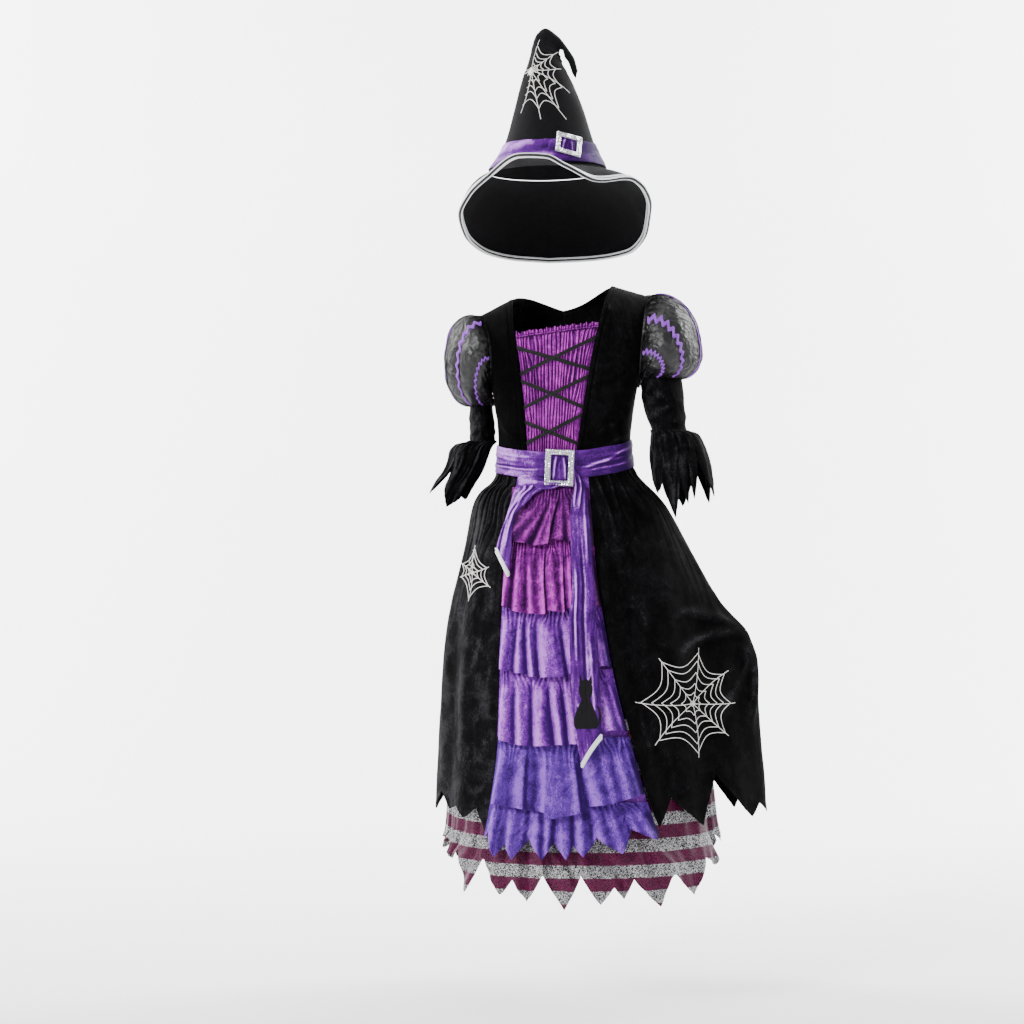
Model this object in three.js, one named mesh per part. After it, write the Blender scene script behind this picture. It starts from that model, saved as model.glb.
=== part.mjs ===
// A child's witch costume: a velvet dress with puffed sleeves, a laced front, a tiered front gore, a ragged
// overskirt over a striped glitter underskirt, a velvet belt with a square buckle, and a pointed hat.
// It holds the shape it has when worn, with no wearer in it. Millimetres, +Z up, the front faces -Y and the
// wearer's left is +X. The origin lies between the shoulders, at the height of the shoulder seams.
// The left corner of the overskirt is held out to the side, and the right arm reaches forward.

import * as THREE from "three";

// Driving dimensions.
const VELVET = 1.5; // wall of the velvet and satin pieces
const MESH = 1.2; // wall of the glitter underskirt
const FELT = 2; // wall of the hat
const SEAM = 0.4; // gap between pieces that are sewn edge to edge
const WAIST = -245; // height of the waist seam, under the belt
const ARMPIT = -130; // height of the armpits
const SHOULDER_PEAK = 39; // where the two shoulder lines would meet over the middle
const SHOULDER_SLOPE = { left: 0.278, right: 0.514 }; // fall of each shoulder line, the right one lower
const SHOULDER_TIP = 129; // from the middle to each shoulder tip
const NECK_POINT = 76; // from the middle to where each shoulder line starts
const FRONT_ROLL = 60; // height over which the front rolls over the shoulder
const BACK_ROLL = 50; // and the back
const BELT_HEIGHT = 40;
const BELT_CLOTH = 2;
const HAT_Y = -10; // the head stands a little forward

const LEFT = 1;
const RIGHT = -1;

// Small helpers.
const turns = (degrees) => THREE.MathUtils.degToRad(degrees);
const mix = THREE.MathUtils.lerp;
const limit = THREE.MathUtils.clamp;
const point = (x, y, z) => new THREE.Vector3(x, y, z);
const steps = (n) => Array.from({ length: n + 1 }, (_, i) => i / n);
const bell = (x) => Math.exp(-x * x);

function ease(t) {
  const c = limit(t, 0, 1);
  return c * c * (3 - 2 * c);
}

// One column of a table, read between its rows by a monotone cubic in the column named key.
function along(table, key, column, at) {
  const rows = table[0][key] < table[table.length - 1][key] ? table : [...table].reverse();
  const last = rows.length - 1;
  const x = limit(at, rows[0][key], rows[last][key]);
  let i = 0;
  while (i < last - 1 && x > rows[i + 1][key]) i += 1;
  const slope = (k) => (rows[k + 1][column] - rows[k][column]) / (rows[k + 1][key] - rows[k][key]);
  const tangent = (k) => {
    if (k === 0) return slope(0);
    if (k === last) return slope(last - 1);
    const before = slope(k - 1);
    const after = slope(k);
    return before * after <= 0 ? 0 : (2 * before * after) / (before + after);
  };
  const span = rows[i + 1][key] - rows[i][key];
  const t = (x - rows[i][key]) / span;
  const t2 = t * t;
  const t3 = t2 * t;
  return (
    (2 * t3 - 3 * t2 + 1) * rows[i][column] +
    (t3 - 2 * t2 + t) * span * tangent(i) +
    (3 * t2 - 2 * t3) * rows[i + 1][column] +
    (t3 - t2) * span * tangent(i + 1)
  );
}

// Straight lines between rows, for jagged hems.
function zigzag(rows, at) {
  if (at <= rows[0].at) return rows[0].z;
  for (let i = 1; i < rows.length; i += 1) {
    if (at <= rows[i].at) {
      return mix(rows[i - 1].z, rows[i].z, (at - rows[i - 1].at) / (rows[i].at - rows[i - 1].at));
    }
  }
  return rows[rows.length - 1].z;
}

// Places between neighbouring entries of a rising list, with each gap cut into n.
function refine(list, n) {
  const out = [list[0]];
  for (let i = 1; i < list.length; i += 1) {
    for (let k = 1; k <= n; k += 1) out.push(mix(list[i - 1], list[i], k / n));
  }
  return out;
}

// A closed mesh from points and triangles, with its faces turned outwards.
function closedMesh(points, triangles) {
  let volume = 0;
  for (const [a, b, c] of triangles) {
    volume += points[a].dot(points[b].clone().cross(points[c]));
  }
  const index = triangles.flatMap(([a, b, c]) => (volume < 0 ? [a, c, b] : [a, b, c]));
  const geometry = new THREE.BufferGeometry().setFromPoints(points);
  geometry.setIndex(index);
  geometry.computeVertexNormals();
  return geometry;
}

// A wall between two grids of points, grid[column][row]. When round is true the last column meets the first.
function wall(outer, inner, round = false) {
  const columns = outer.length;
  const rows = outer[0].length;
  const points = [...outer.flat(), ...inner.flat()];
  const back = columns * rows;
  const at = (i, j) => (i % columns) * rows + j;
  const triangles = [];
  const quad = (a, b, c, d) => triangles.push([a, b, c], [a, c, d]);
  const spans = round ? columns : columns - 1;
  for (let i = 0; i < spans; i += 1) {
    for (let j = 0; j < rows - 1; j += 1) {
      quad(at(i, j), at(i + 1, j), at(i + 1, j + 1), at(i, j + 1));
      quad(back + at(i, j), back + at(i, j + 1), back + at(i + 1, j + 1), back + at(i + 1, j));
    }
    quad(at(i, 0), back + at(i, 0), back + at(i + 1, 0), at(i + 1, 0));
    quad(at(i, rows - 1), at(i + 1, rows - 1), back + at(i + 1, rows - 1), back + at(i, rows - 1));
  }
  if (!round) {
    const end = columns - 1;
    for (let j = 0; j < rows - 1; j += 1) {
      quad(at(0, j), at(0, j + 1), back + at(0, j + 1), back + at(0, j));
      quad(at(end, j), back + at(end, j), back + at(end, j + 1), at(end, j + 1));
    }
  }
  return closedMesh(points, triangles);
}

// The way out of a surface, where its first parameter runs towards the wearer's left and its second upwards.
function normalOf(surface, a, b) {
  const nudge = 1e-3;
  const acrossA = surface(a + nudge, b).sub(surface(a - nudge, b));
  const acrossB = surface(a, b + nudge).sub(surface(a, b - nudge));
  return acrossA.cross(acrossB).normalize();
}

// A cloth panel. place(u, v) gives the two parameters of surface, which gives a point. The wall stands on the
// surface's normal from lift(u, v) to lift(u, v) + thick. side is -1 where the parameters run the other way.
function panel({ columns, rows, place, surface, lift = () => 0, thick = VELVET, side = 1, round = false }) {
  const outer = [];
  const inner = [];
  columns.forEach((u, i) => {
    outer.push([]);
    inner.push([]);
    rows.forEach((v, j) => {
      const [a, b] = place(u, v);
      const here = surface(a, b);
      const normal = normalOf(surface, a, b).multiplyScalar(side);
      const low = lift(u, v, i, j);
      inner[i].push(here.clone().addScaledVector(normal, low));
      outer[i].push(here.clone().addScaledVector(normal, low + thick));
    });
  });
  return wall(outer, inner, round);
}

// A closed band made of sections, each the same number of points, joined in a ring.
function sectionLoop(sections) {
  const sides = sections[0].length;
  const triangles = [];
  sections.forEach((_, i) => {
    const here = i * sides;
    const next = ((i + 1) % sections.length) * sides;
    for (let k = 0; k < sides; k += 1) {
      const other = (k + 1) % sides;
      triangles.push([here + k, next + k, next + other], [here + k, next + other, here + other]);
    }
  });
  return closedMesh(sections.flat(), triangles);
}

// A stack of rings closed by a pole at each end.
function poleToPole(firstPole, rings, lastPole) {
  const n = rings[0].length;
  const points = [firstPole, ...rings.flat(), lastPole];
  const at = (i, k) => 1 + i * n + (k % n);
  const end = points.length - 1;
  const triangles = [];
  for (let k = 0; k < n; k += 1) {
    triangles.push([0, at(0, k + 1), at(0, k)], [end, at(rings.length - 1, k), at(rings.length - 1, k + 1)]);
    for (let i = 0; i < rings.length - 1; i += 1) {
      triangles.push([at(i, k), at(i, k + 1), at(i + 1, k + 1)], [at(i, k), at(i + 1, k + 1), at(i + 1, k)]);
    }
  }
  return closedMesh(points, triangles);
}

// A square frame with a square window, its middle at origin, in the plane of right and up.
function frame(origin, right, up, { width, height, bar, thick }) {
  const outline = new THREE.Shape([
    new THREE.Vector2(-width / 2, -height / 2),
    new THREE.Vector2(width / 2, -height / 2),
    new THREE.Vector2(width / 2, height / 2),
    new THREE.Vector2(-width / 2, height / 2),
  ]);
  const w = width / 2 - bar;
  const h = height / 2 - bar;
  outline.holes.push(
    new THREE.Path([
      new THREE.Vector2(-w, -h),
      new THREE.Vector2(-w, h),
      new THREE.Vector2(w, h),
      new THREE.Vector2(w, -h),
    ]),
  );
  const geometry = new THREE.ExtrudeGeometry(outline, { depth: thick, bevelEnabled: false });
  const facing = right.clone().cross(up);
  geometry.applyMatrix4(new THREE.Matrix4().makeBasis(right, up, facing).setPosition(origin));
  return geometry;
}

// The worn form. Ring sections from the shoulders to the lowest hem: how far each reaches from the middle plane
// to the wearer's right and left, in front and behind, and how far the held corner is pulled out past that.
const FORM = [
  { z: 60, right: 132, left: 132, front: 84, back: 76, pull: 0 },
  { z: -30, right: 131, left: 131, front: 87, back: 80, pull: 0 },
  { z: -90, right: 119, left: 120, front: 92, back: 84, pull: 0 },
  { z: -130, right: 108, left: 109, front: 92, back: 82, pull: 0 },
  { z: -180, right: 99, left: 101, front: 86, back: 77, pull: 0 },
  { z: -215, right: 97, left: 98, front: 79, back: 74, pull: 0 },
  { z: -245, right: 98, left: 101, front: 78, back: 75, pull: 0 },
  { z: -262, right: 100, left: 107, front: 79, back: 77, pull: 0 },
  { z: -275, right: 107, left: 118, front: 81.5, back: 81, pull: 0 },
  { z: -290, right: 125, left: 134, front: 89, back: 91, pull: 0 },
  { z: -310, right: 135, left: 149, front: 99, back: 102, pull: 2 },
  { z: -350, right: 142, left: 166, front: 117, back: 118, pull: 8 },
  { z: -400, right: 153, left: 181, front: 135, back: 130, pull: 20 },
  { z: -450, right: 164, left: 193, front: 148, back: 140, pull: 38 },
  { z: -505, right: 172, left: 202, front: 160, back: 150, pull: 74 },
  { z: -560, right: 176, left: 212, front: 170, back: 158, pull: 74 },
  { z: -620, right: 178, left: 219, front: 180, back: 165, pull: 72 },
  { z: -700, right: 180, left: 228, front: 190, back: 173, pull: 68 },
  { z: -770, right: 182, left: 234, front: 198, back: 180, pull: 66 },
  { z: -830, right: 188, left: 244, front: 207, back: 187, pull: 66 },
  { z: -900, right: 191, left: 247, front: 212, back: 191, pull: 66 },
];
const SQUARENESS = 0.05; // how far the rings bulge at their diagonals, as a share
const GRIP = turns(82); // where the hand holds the corner, from the front towards the left
const GRIP_SPREAD = [
  { z: -900, wide: 24 },
  { z: -620, wide: 19 },
  { z: -505, wide: 15 },
  { z: -400, wide: 26 },
  { z: -280, wide: 36 },
];

const form = (column, z) => along(FORM, "z", column, z);
const bulge = (phi) => 1 + SQUARENESS * Math.sin(2 * phi) ** 2;

// The form's point at angle phi, from the front towards the wearer's left, at height z.
function formPoint(phi, z) {
  const right = form("right", z);
  const left = form("left", z);
  const depth = Math.cos(phi) > 0 ? form("front", z) : form("back", z);
  return point(
    (left - right) / 2 + ((left + right) / 2) * bulge(phi) * Math.sin(phi),
    -depth * bulge(phi) * Math.cos(phi),
    z,
  );
}

// The angle on the front where what lies lift off the form is at x.
function frontAngle(x, z, lift = 0) {
  const right = form("right", z);
  const left = form("left", z);
  let phi = 0;
  for (let i = 0; i < 8; i += 1) {
    phi = Math.asin(limit((x - (left - right) / 2) / (((left + right) / 2) * bulge(phi) + lift), -1, 1));
  }
  return phi;
}

// The shoulder line over x.
function shoulder(x) {
  return SHOULDER_PEAK - Math.abs(x) * (x > 0 ? SHOULDER_SLOPE.left : SHOULDER_SLOPE.right);
}

// The bodice's surface. Near the shoulder line it rolls over as a quarter ellipse, and s runs on past the top.
function bodicePoint(phi, s) {
  const p = formPoint(phi, s);
  const top = shoulder(p.x);
  const roll = Math.cos(phi) > 0 ? FRONT_ROLL : BACK_ROLL;
  if (s < top - roll) return p;
  const over = ((s - top + roll) / roll) * (Math.PI / 2);
  return point(p.x, p.y * Math.cos(over), top - roll + roll * Math.sin(over));
}

// The armhole's edge, as an angle from the front, by the share of the height from armpit to shoulder tip.
const ARMHOLE = [
  { share: 0, angle: 90 },
  { share: 0.08, angle: 76 },
  { share: 0.3, angle: 63 },
  { share: 0.6, angle: 58 },
  { share: 0.85, angle: 64 },
  { share: 1, angle: 79 },
];
const tipHeight = (side) => shoulder(side * SHOULDER_TIP);

function armholeAngle(side, s) {
  const share = (s - ARMPIT) / (tipHeight(side) - ARMPIT);
  return share <= 0 ? turns(90) : turns(along(ARMHOLE, "share", "angle", share));
}

// The front edges of the two black fronts, by height, as x.
const LAPEL = [
  { z: -246, right: -56, left: 15 },
  { z: -218, right: -57, left: 18.6 },
  { z: -107, right: -67, left: 36 },
  { z: -37, right: -76, left: 51 },
  { z: 0, right: -77, left: 66 },
  { z: 20, right: -76, left: 76 },
];
const INSERT_TOP = { right: -56, left: -40 }; // the insert's top edge at each lapel
const BODICE_ROWS = [0, 0.07, 0.16, 0.29, 0.44, 0.59, 0.73, 0.85, 0.94, 1]; // crowded where it bends
const INSERT_ROWS = [0, 0.14, 0.3, 0.62, 1];

const lapel = (side, z) => along(LAPEL, "z", side > 0 ? "left" : "right", z);

// A gap of half a seam as an angle, at height z.
const seamAngle = (z) => SEAM / 2 / form("front", z);

function bodiceFront(side) {
  const angle = (u, s) => {
    const edge = frontAngle(lapel(side, s), s) + side * seamAngle(s);
    const outer = side * (armholeAngle(side, s) - seamAngle(s));
    return mix(edge, outer, u);
  };
  const topOf = (u) => {
    let s = 0;
    for (let i = 0; i < 24; i += 1) s = shoulder(formPoint(angle(u, s), s).x);
    return s;
  };
  return panel({
    columns: steps(8),
    rows: BODICE_ROWS,
    surface: bodicePoint,
    place: (u, v) => {
      const s = mix(WAIST, topOf(u) - SEAM / 2, v);
      return [angle(u, s), s];
    },
  });
}

const BACK_NECK = -10; // the back neckline's lowest point

function bodiceBack() {
  const angle = (u, s) => {
    const start = turns(180) - armholeAngle(LEFT, s) + seamAngle(s);
    const end = turns(180) + armholeAngle(RIGHT, s) - seamAngle(s);
    return mix(start, end, u);
  };
  const topOf = (u) => {
    let s = 0;
    for (let i = 0; i < 24; i += 1) {
      const x = formPoint(angle(u, s), s).x;
      const edge = shoulder(Math.sign(x) * NECK_POINT);
      s = Math.abs(x) > NECK_POINT ? shoulder(x) : mix(BACK_NECK, edge, (Math.abs(x) / NECK_POINT) ** 2.5);
    }
    return s;
  };
  return panel({
    columns: steps(18),
    rows: BODICE_ROWS,
    surface: bodicePoint,
    place: (u, v) => {
      const s = mix(WAIST, topOf(u) - SEAM / 2, v);
      return [angle(u, s), s];
    },
  });
}

const INSERT_PLEATS = 12;
const INSERT_DEPTH = 1.1; // half height of a pleat
const INSERT_SINK = 3.2; // how far the insert's back lies behind the form
const alternate = (i) => (i % 2 ? 1 : -1);

function insertPlace(u, v) {
  const top = mix(INSERT_TOP.right, INSERT_TOP.left, u);
  const z = mix(WAIST, top, v);
  const from = frontAngle(lapel(RIGHT, z), z) + seamAngle(z);
  const to = frontAngle(lapel(LEFT, z), z) - seamAngle(z);
  return [mix(from, to, u), z];
}

function bodiceInsert() {
  return panel({
    columns: steps(2 * INSERT_PLEATS),
    rows: INSERT_ROWS,
    surface: bodicePoint,
    place: insertPlace,
    lift: (u, v, i) => -INSERT_SINK + INSERT_DEPTH * alternate(i) * Math.min(1, 12 * Math.min(u, 1 - u)),
  });
}

const FRILL = { below: 9, above: 6, wave: 1.8, lift: -0.2 };

function insertFrill() {
  return panel({
    columns: steps(2 * INSERT_PLEATS),
    rows: steps(2),
    surface: bodicePoint,
    thick: MESH,
    place: (u, v) => {
      const [phi, z] = insertPlace(mix(0.02, 0.98, u), 1);
      return [phi, z + mix(-FRILL.below, FRILL.above, v)];
    },
    lift: (u, v, i) => FRILL.lift + FRILL.wave * (1 + alternate(i)) * Math.abs(v - 0.35) * 1.4,
  });
}

// The six stretches of the lacing: from the right lapel's height to the left lapel's, and which lies on top.
const LACING = [
  { right: -76, left: -110, over: false },
  { right: -118, left: -60, over: true },
  { right: -124, left: -166, over: false },
  { right: -167, left: -117, over: true },
  { right: -184, left: -219, over: false },
  { right: -219, left: -173, over: true },
];
const LACE = { half: 2.8, thick: 0.8, under: 2.3, over: 3.6, past: 5 };

function lace({ right, left, over }) {
  return panel({
    columns: steps(7),
    rows: [0, 1],
    surface: bodicePoint,
    thick: LACE.thick,
    place: (u, v) => {
      const z = mix(right, left, u) + mix(-LACE.half, LACE.half, v);
      const x = mix(lapel(RIGHT, right) - LACE.past, lapel(LEFT, left) + LACE.past, u);
      return [frontAngle(x, z), z];
    },
    lift: () => (over ? LACE.over : LACE.under),
  });
}

// The arms. Level rings from each puff's lower edge to the tips of the cuff: the middle and the half widths.
const ARM = {
  left: [
    { z: -118, x: 145, y: -2, wide: 34, deep: 37 },
    { z: -140, x: 148, y: -4, wide: 34, deep: 37 },
    { z: -165, x: 150.5, y: -6, wide: 33, deep: 35 },
    { z: -196, x: 157.5, y: -11, wide: 29, deep: 32 },
    { z: -201, x: 165, y: -12, wide: 35, deep: 37 },
    { z: -209, x: 167.5, y: -12, wide: 38.5, deep: 40 },
    { z: -226, x: 171, y: -14, wide: 43, deep: 44 },
    { z: -258, x: 175.5, y: -17, wide: 47, deep: 46 },
    { z: -290, x: 177.5, y: -19, wide: 48, deep: 46 },
    { z: -335, x: 180, y: -21, wide: 47, deep: 45 },
  ],
  right: [
    { z: -158, x: -124.5, y: 22, wide: 19.5, deep: 33 },
    { z: -185, x: -123, y: 21, wide: 21.5, deep: 33 },
    { z: -211, x: -122.5, y: 18, wide: 22, deep: 31 },
    { z: -217, x: -135, y: 12, wide: 29, deep: 33 },
    { z: -226, x: -141, y: 8, wide: 30.5, deep: 34 },
    { z: -240, x: -145.5, y: 2, wide: 29.5, deep: 33 },
    { z: -254, x: -151, y: -4, wide: 29.5, deep: 32 },
    { z: -284, x: -170, y: -16, wide: 31, deep: 32 },
    { z: -325, x: -186, y: -30, wide: 32, deep: 32 },
  ],
};
const PUFF_END = { left: -118, right: -158 };
const SLEEVE_END = { left: -196, right: -211 };
const SLEEVE_INSET = 2.6; // the sleeve's ends are tucked this far inside the puff and the cuff
const SLEEVE_TUCK = 1.5;
const name = (side) => (side > 0 ? "left" : "right");

// A point of the arm's rings, at angle phi from the front towards the wearer's left.
function armPoint(side, phi, z) {
  const at = (column) => along(ARM[name(side)], "z", column, z);
  return point(at("x") + at("wide") * Math.sin(phi), at("y") - at("deep") * Math.cos(phi), z);
}

// The armhole's ring. psi is 0 at the shoulder tip, a quarter turn at the front and a half turn at the armpit.
function armholePoint(side, psi) {
  const s = mix(ARMPIT, tipHeight(side), (1 + Math.cos(psi)) / 2);
  const angle = armholeAngle(side, s);
  const phi = side * (Math.sin(psi) > 0 ? angle : turns(180) - angle);
  return bodicePoint(phi, s).addScaledVector(normalOf(bodicePoint, phi, s), PUFF_LAP);
}

// How far each puff's cloth swells where it leaves the armhole and where it meets the sleeve.
const PUFF = {
  left: { upperOut: 64, upperRise: 25, lowerOut: 57, lowerRise: 10, forward: 30 },
  right: { upperOut: 62.3, upperRise: 18.3, lowerOut: 51.2, lowerRise: 3.3, forward: 26.3 },
};
const PUFF_LAP = 2.7; // the puff's sewn edge lies this far off the armhole's edge, over it

function puffPoint(side, psi, t) {
  const { upperOut, upperRise, lowerOut, lowerRise, forward } = PUFF[name(side)];
  const outer = (1 + Math.cos(psi)) / 2;
  const start = armholePoint(side, psi);
  const end = armPoint(side, side * (Math.PI / 2 - psi), PUFF_END[name(side)]);
  const spread = -forward * Math.sin(psi);
  const upper = start.clone().add(point(side * upperOut * outer, spread, mix(-2, upperRise, outer)));
  const lower = end.clone().add(point(side * mix(2, lowerOut, outer), spread, mix(5, lowerRise, outer)));
  const r = 1 - t;
  return start
    .multiplyScalar(r * r * r)
    .addScaledVector(upper, 3 * r * r * t)
    .addScaledVector(lower, 3 * r * t * t)
    .addScaledVector(end, t * t * t);
}

const PUFF_GATHER = { columns: 20, deep: 1.6, reach: 0.16 };

function puffLift(i, t) {
  const near = Math.exp(-t / PUFF_GATHER.reach) + Math.exp((t - 1) / PUFF_GATHER.reach);
  return -VELVET + PUFF_GATHER.deep * alternate(i) * near * Math.sin(Math.PI * t) ** 0.5;
}

function puff(side) {
  return panel({
    columns: steps(PUFF_GATHER.columns).slice(0, -1),
    rows: steps(7),
    round: true,
    side,
    surface: (psi, t) => puffPoint(side, psi, t),
    place: (u, v) => [2 * Math.PI * u, v],
    lift: (u, v, i) => puffLift(i, v),
  });
}

// Rickrack braid down the puffs: the turn of each line from the shoulder tip towards the front.
const RICKRACK = {
  left: [106, 70, 18, -36, -88],
  right: [103, 58, 8, -45, -95],
  waves: 8,
  swing: 2.4,
  half: 1.7,
  lift: 0.7,
  thick: 1,
  girth: 60,
};

function rickrack(side, degrees) {
  const across = (u, v, i) => (alternate(i) * RICKRACK.swing + mix(-1, 1, v) * RICKRACK.half) / RICKRACK.girth;
  const columns = steps(2 * RICKRACK.waves);
  return panel({
    columns,
    rows: [0, 1],
    side: -side,
    thick: RICKRACK.thick,
    surface: (t, psi) => puffPoint(side, psi, t),
    place: (u, v) => [mix(0.06, 0.93, u), turns(degrees) + across(u, v, Math.round(u * 2 * RICKRACK.waves))],
    lift: () => RICKRACK.lift,
  });
}

function sleeve(side) {
  const key = name(side);
  return panel({
    columns: steps(16).slice(0, -1),
    rows: steps(3),
    round: true,
    surface: (phi, z) => armPoint(side, phi, z),
    place: (u, v) => [2 * Math.PI * u, mix(SLEEVE_END[key], PUFF_END[key] + SLEEVE_TUCK, v)],
    lift: () => -VELVET - SLEEVE_INSET,
  });
}

// The ragged cuffs: tips and notches round each, by the angle from the front towards the wearer's left.
const CUFF = {
  left: [
    { at: -102, z: -248 },
    { at: -60, z: -290 },
    { at: -42, z: -274 },
    { at: -20, z: -327 },
    { at: -8, z: -268 },
    { at: 4, z: -307 },
    { at: 10, z: -262 },
    { at: 16, z: -300 },
    { at: 30, z: -238 },
    { at: 62, z: -295 },
    { at: 95, z: -245 },
    { at: 125, z: -305 },
    { at: 150, z: -250 },
    { at: 178, z: -310 },
    { at: 205, z: -255 },
    { at: 232, z: -272 },
    { at: 258, z: -250 },
  ],
  right: [
    { at: -100, z: -258 },
    { at: -84, z: -284 },
    { at: -38, z: -248 },
    { at: 10, z: -311 },
    { at: 45, z: -294 },
    { at: 62, z: -299 },
    { at: 100, z: -262 },
    { at: 130, z: -288 },
    { at: 160, z: -255 },
    { at: 190, z: -295 },
    { at: 218, z: -250 },
    { at: 245, z: -290 },
    { at: 262, z: -255 },
  ],
};

function cuff(side) {
  const tips = CUFF[name(side)];
  const columns = refine(
    tips.map((tip) => tip.at),
    2,
  ).slice(0, -1);
  return panel({
    columns,
    rows: [0, 0.5, 0.85, 1],
    round: true,
    surface: (phi, z) => armPoint(side, phi, z),
    place: (u, v) => [turns(u), mix(zigzag(tips, u), SLEEVE_END[name(side)] + 0.5, v)],
    lift: (u, v, i) => -VELVET + 1.2 * alternate(i) * v * (1 - v) * 4,
  });
}

// The belt.
const beltMiddle = (phi) => -238 - 6.2 * Math.cos(phi) + 4.8 * Math.sin(phi) - 4.2 * Math.cos(2 * phi);
const BELT_LIFT = 2.7;

function beltBand() {
  return panel({
    columns: steps(42).slice(0, -1),
    rows: steps(2),
    round: true,
    surface: formPoint,
    thick: BELT_CLOTH,
    place: (u, v) => {
      const phi = 2 * Math.PI * u;
      return [phi, beltMiddle(phi) + mix(-0.5, 0.5, v) * BELT_HEIGHT];
    },
    lift: () => BELT_LIFT,
  });
}

const BUCKLE = { x: -8.5, z: -253.5, width: 42.5, height: 54.5, bar: 8.5, thick: 4.5, lift: 10, tilt: -2, turn: 5 };
const BUCKLE_LEAN = 6; // the buckle's lower edge stands further forward
const LOOP = { half: 11.5, top: -231, bottom: -274, lift: 5.3, thick: 1.6 };

function beltLoop() {
  return panel({
    columns: steps(3),
    rows: steps(4),
    surface: formPoint,
    thick: LOOP.thick,
    place: (u, v) => {
      const z = mix(LOOP.bottom, LOOP.top, v);
      return [frontAngle(BUCKLE.x + mix(-LOOP.half, LOOP.half, u), z), z];
    },
    lift: () => LOOP.lift,
  });
}

function beltBuckle() {
  const turn = turns(BUCKLE.turn);
  const tilt = turns(BUCKLE.tilt);
  const across = point(Math.cos(turn), -Math.sin(turn), 0);
  const right = across.clone().multiplyScalar(Math.cos(tilt)).add(point(0, 0, Math.sin(tilt)));
  const lean = new THREE.Quaternion().setFromAxisAngle(across, -turns(BUCKLE_LEAN));
  const up = across.clone().multiplyScalar(-Math.sin(tilt)).add(point(0, 0, Math.cos(tilt)));
  right.applyQuaternion(lean);
  up.applyQuaternion(lean);
  const seat = formPoint(frontAngle(BUCKLE.x, BUCKLE.z), BUCKLE.z);
  return frame(seat.add(point(0, -BUCKLE.lift, 0)), right, up, BUCKLE);
}

// The two free ends of the belt: the edges of each by height, and how far it lies off the form.
const TAIL = {
  long: [
    { z: -269, right: 13.7, left: 24, lift: 2.6 },
    { z: -276, right: 13.7, left: 27.5, lift: 4.8 },
    { z: -286, right: 13, left: 31, lift: 6.5 },
    { z: -300, right: 9.5, left: 33, lift: 9.8 },
    { z: -320, right: 7, left: 34, lift: 14.5 },
    { z: -345, right: 6, left: 36, lift: 19 },
    { z: -370, right: 6.2, left: 37.6, lift: 21.5 },
    { z: -430, right: 8, left: 41.3, lift: 22.5 },
    { z: -476, right: 3, left: 43.8, lift: 22.5 },
    { z: -552, right: 4.7, left: 47.4, lift: 22.5 },
    { z: -627, right: 9.9, left: 49.6, lift: 22.5 },
    { z: -680, right: 20.6, left: 51, lift: 22.5 },
  ],
  short: [
    { z: -269, right: -66, left: -31.5, lift: 2.6 },
    { z: -276, right: -70, left: -31.5, lift: 4.8 },
    { z: -288, right: -75, left: -33, lift: 7.5 },
    { z: -295, right: -77.5, left: -45, lift: 9.5 },
    { z: -308, right: -82, left: -58, lift: 12.5 },
    { z: -330, right: -89, left: -77, lift: 17 },
    { z: -356, right: -98, left: -81, lift: 19 },
    { z: -380, right: -104, left: -82, lift: 19 },
    { z: -414, right: -107, left: -85.8, lift: 18 },
  ],
};
const TAIL_TOP = { long: -269.5, short: -269.5 };
const TAIL_END = { long: { right: -680, left: -639 }, short: { right: -379, left: -414 } };

function tailPlace(which, u, v) {
  const end = mix(TAIL_END[which].right, TAIL_END[which].left, u);
  const z = mix(TAIL_TOP[which], end, v);
  const at = (column) => along(TAIL[which], "z", column, z);
  return [frontAngle(mix(at("right"), at("left"), u), z, at("lift")), z];
}

const tailLift = (which, u, v) => along(TAIL[which], "z", "lift", tailPlace(which, u, v)[1]);

function beltTail(which) {
  return panel({
    columns: steps(3),
    rows: steps(which === "long" ? 15 : 9),
    surface: formPoint,
    place: (u, v) => tailPlace(which, u, 1 - v),
    lift: (u, v) => tailLift(which, u, 1 - v),
  });
}

const BRAID = { height: 7, thick: 3, lift: -0.75 };

function tailBraid(which) {
  const ends = TAIL_END[which];
  return panel({
    columns: steps(4),
    rows: [0, 1],
    surface: formPoint,
    thick: BRAID.thick,
    place: (u, v) => {
      const [phi] = tailPlace(which, u, 1);
      const end = mix(ends.right, ends.left, u);
      return [phi, end - SEAM * 1.6 - (1 - v) * BRAID.height];
    },
    lift: (u) => BRAID.lift + tailLift(which, u, 1),
  });
}

// The front gore's edges as x, where the black fronts of the overskirt begin.
const GORE = [
  { z: -245, right: -67, left: 32 },
  { z: -262, right: -70, left: 34 },
  { z: -345, right: -78, left: 40 },
  { z: -400, right: -82, left: 44 },
  { z: -466, right: -86, left: 53 },
  { z: -554, right: -91, left: 68 },
  { z: -650, right: -95, left: 92 },
  { z: -742, right: -107, left: 118 },
  { z: -800, right: -118, left: 140 },
];
const goreAngle = (side, z) => frontAngle(along(GORE, "z", side > 0 ? "left" : "right", z), z);

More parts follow.
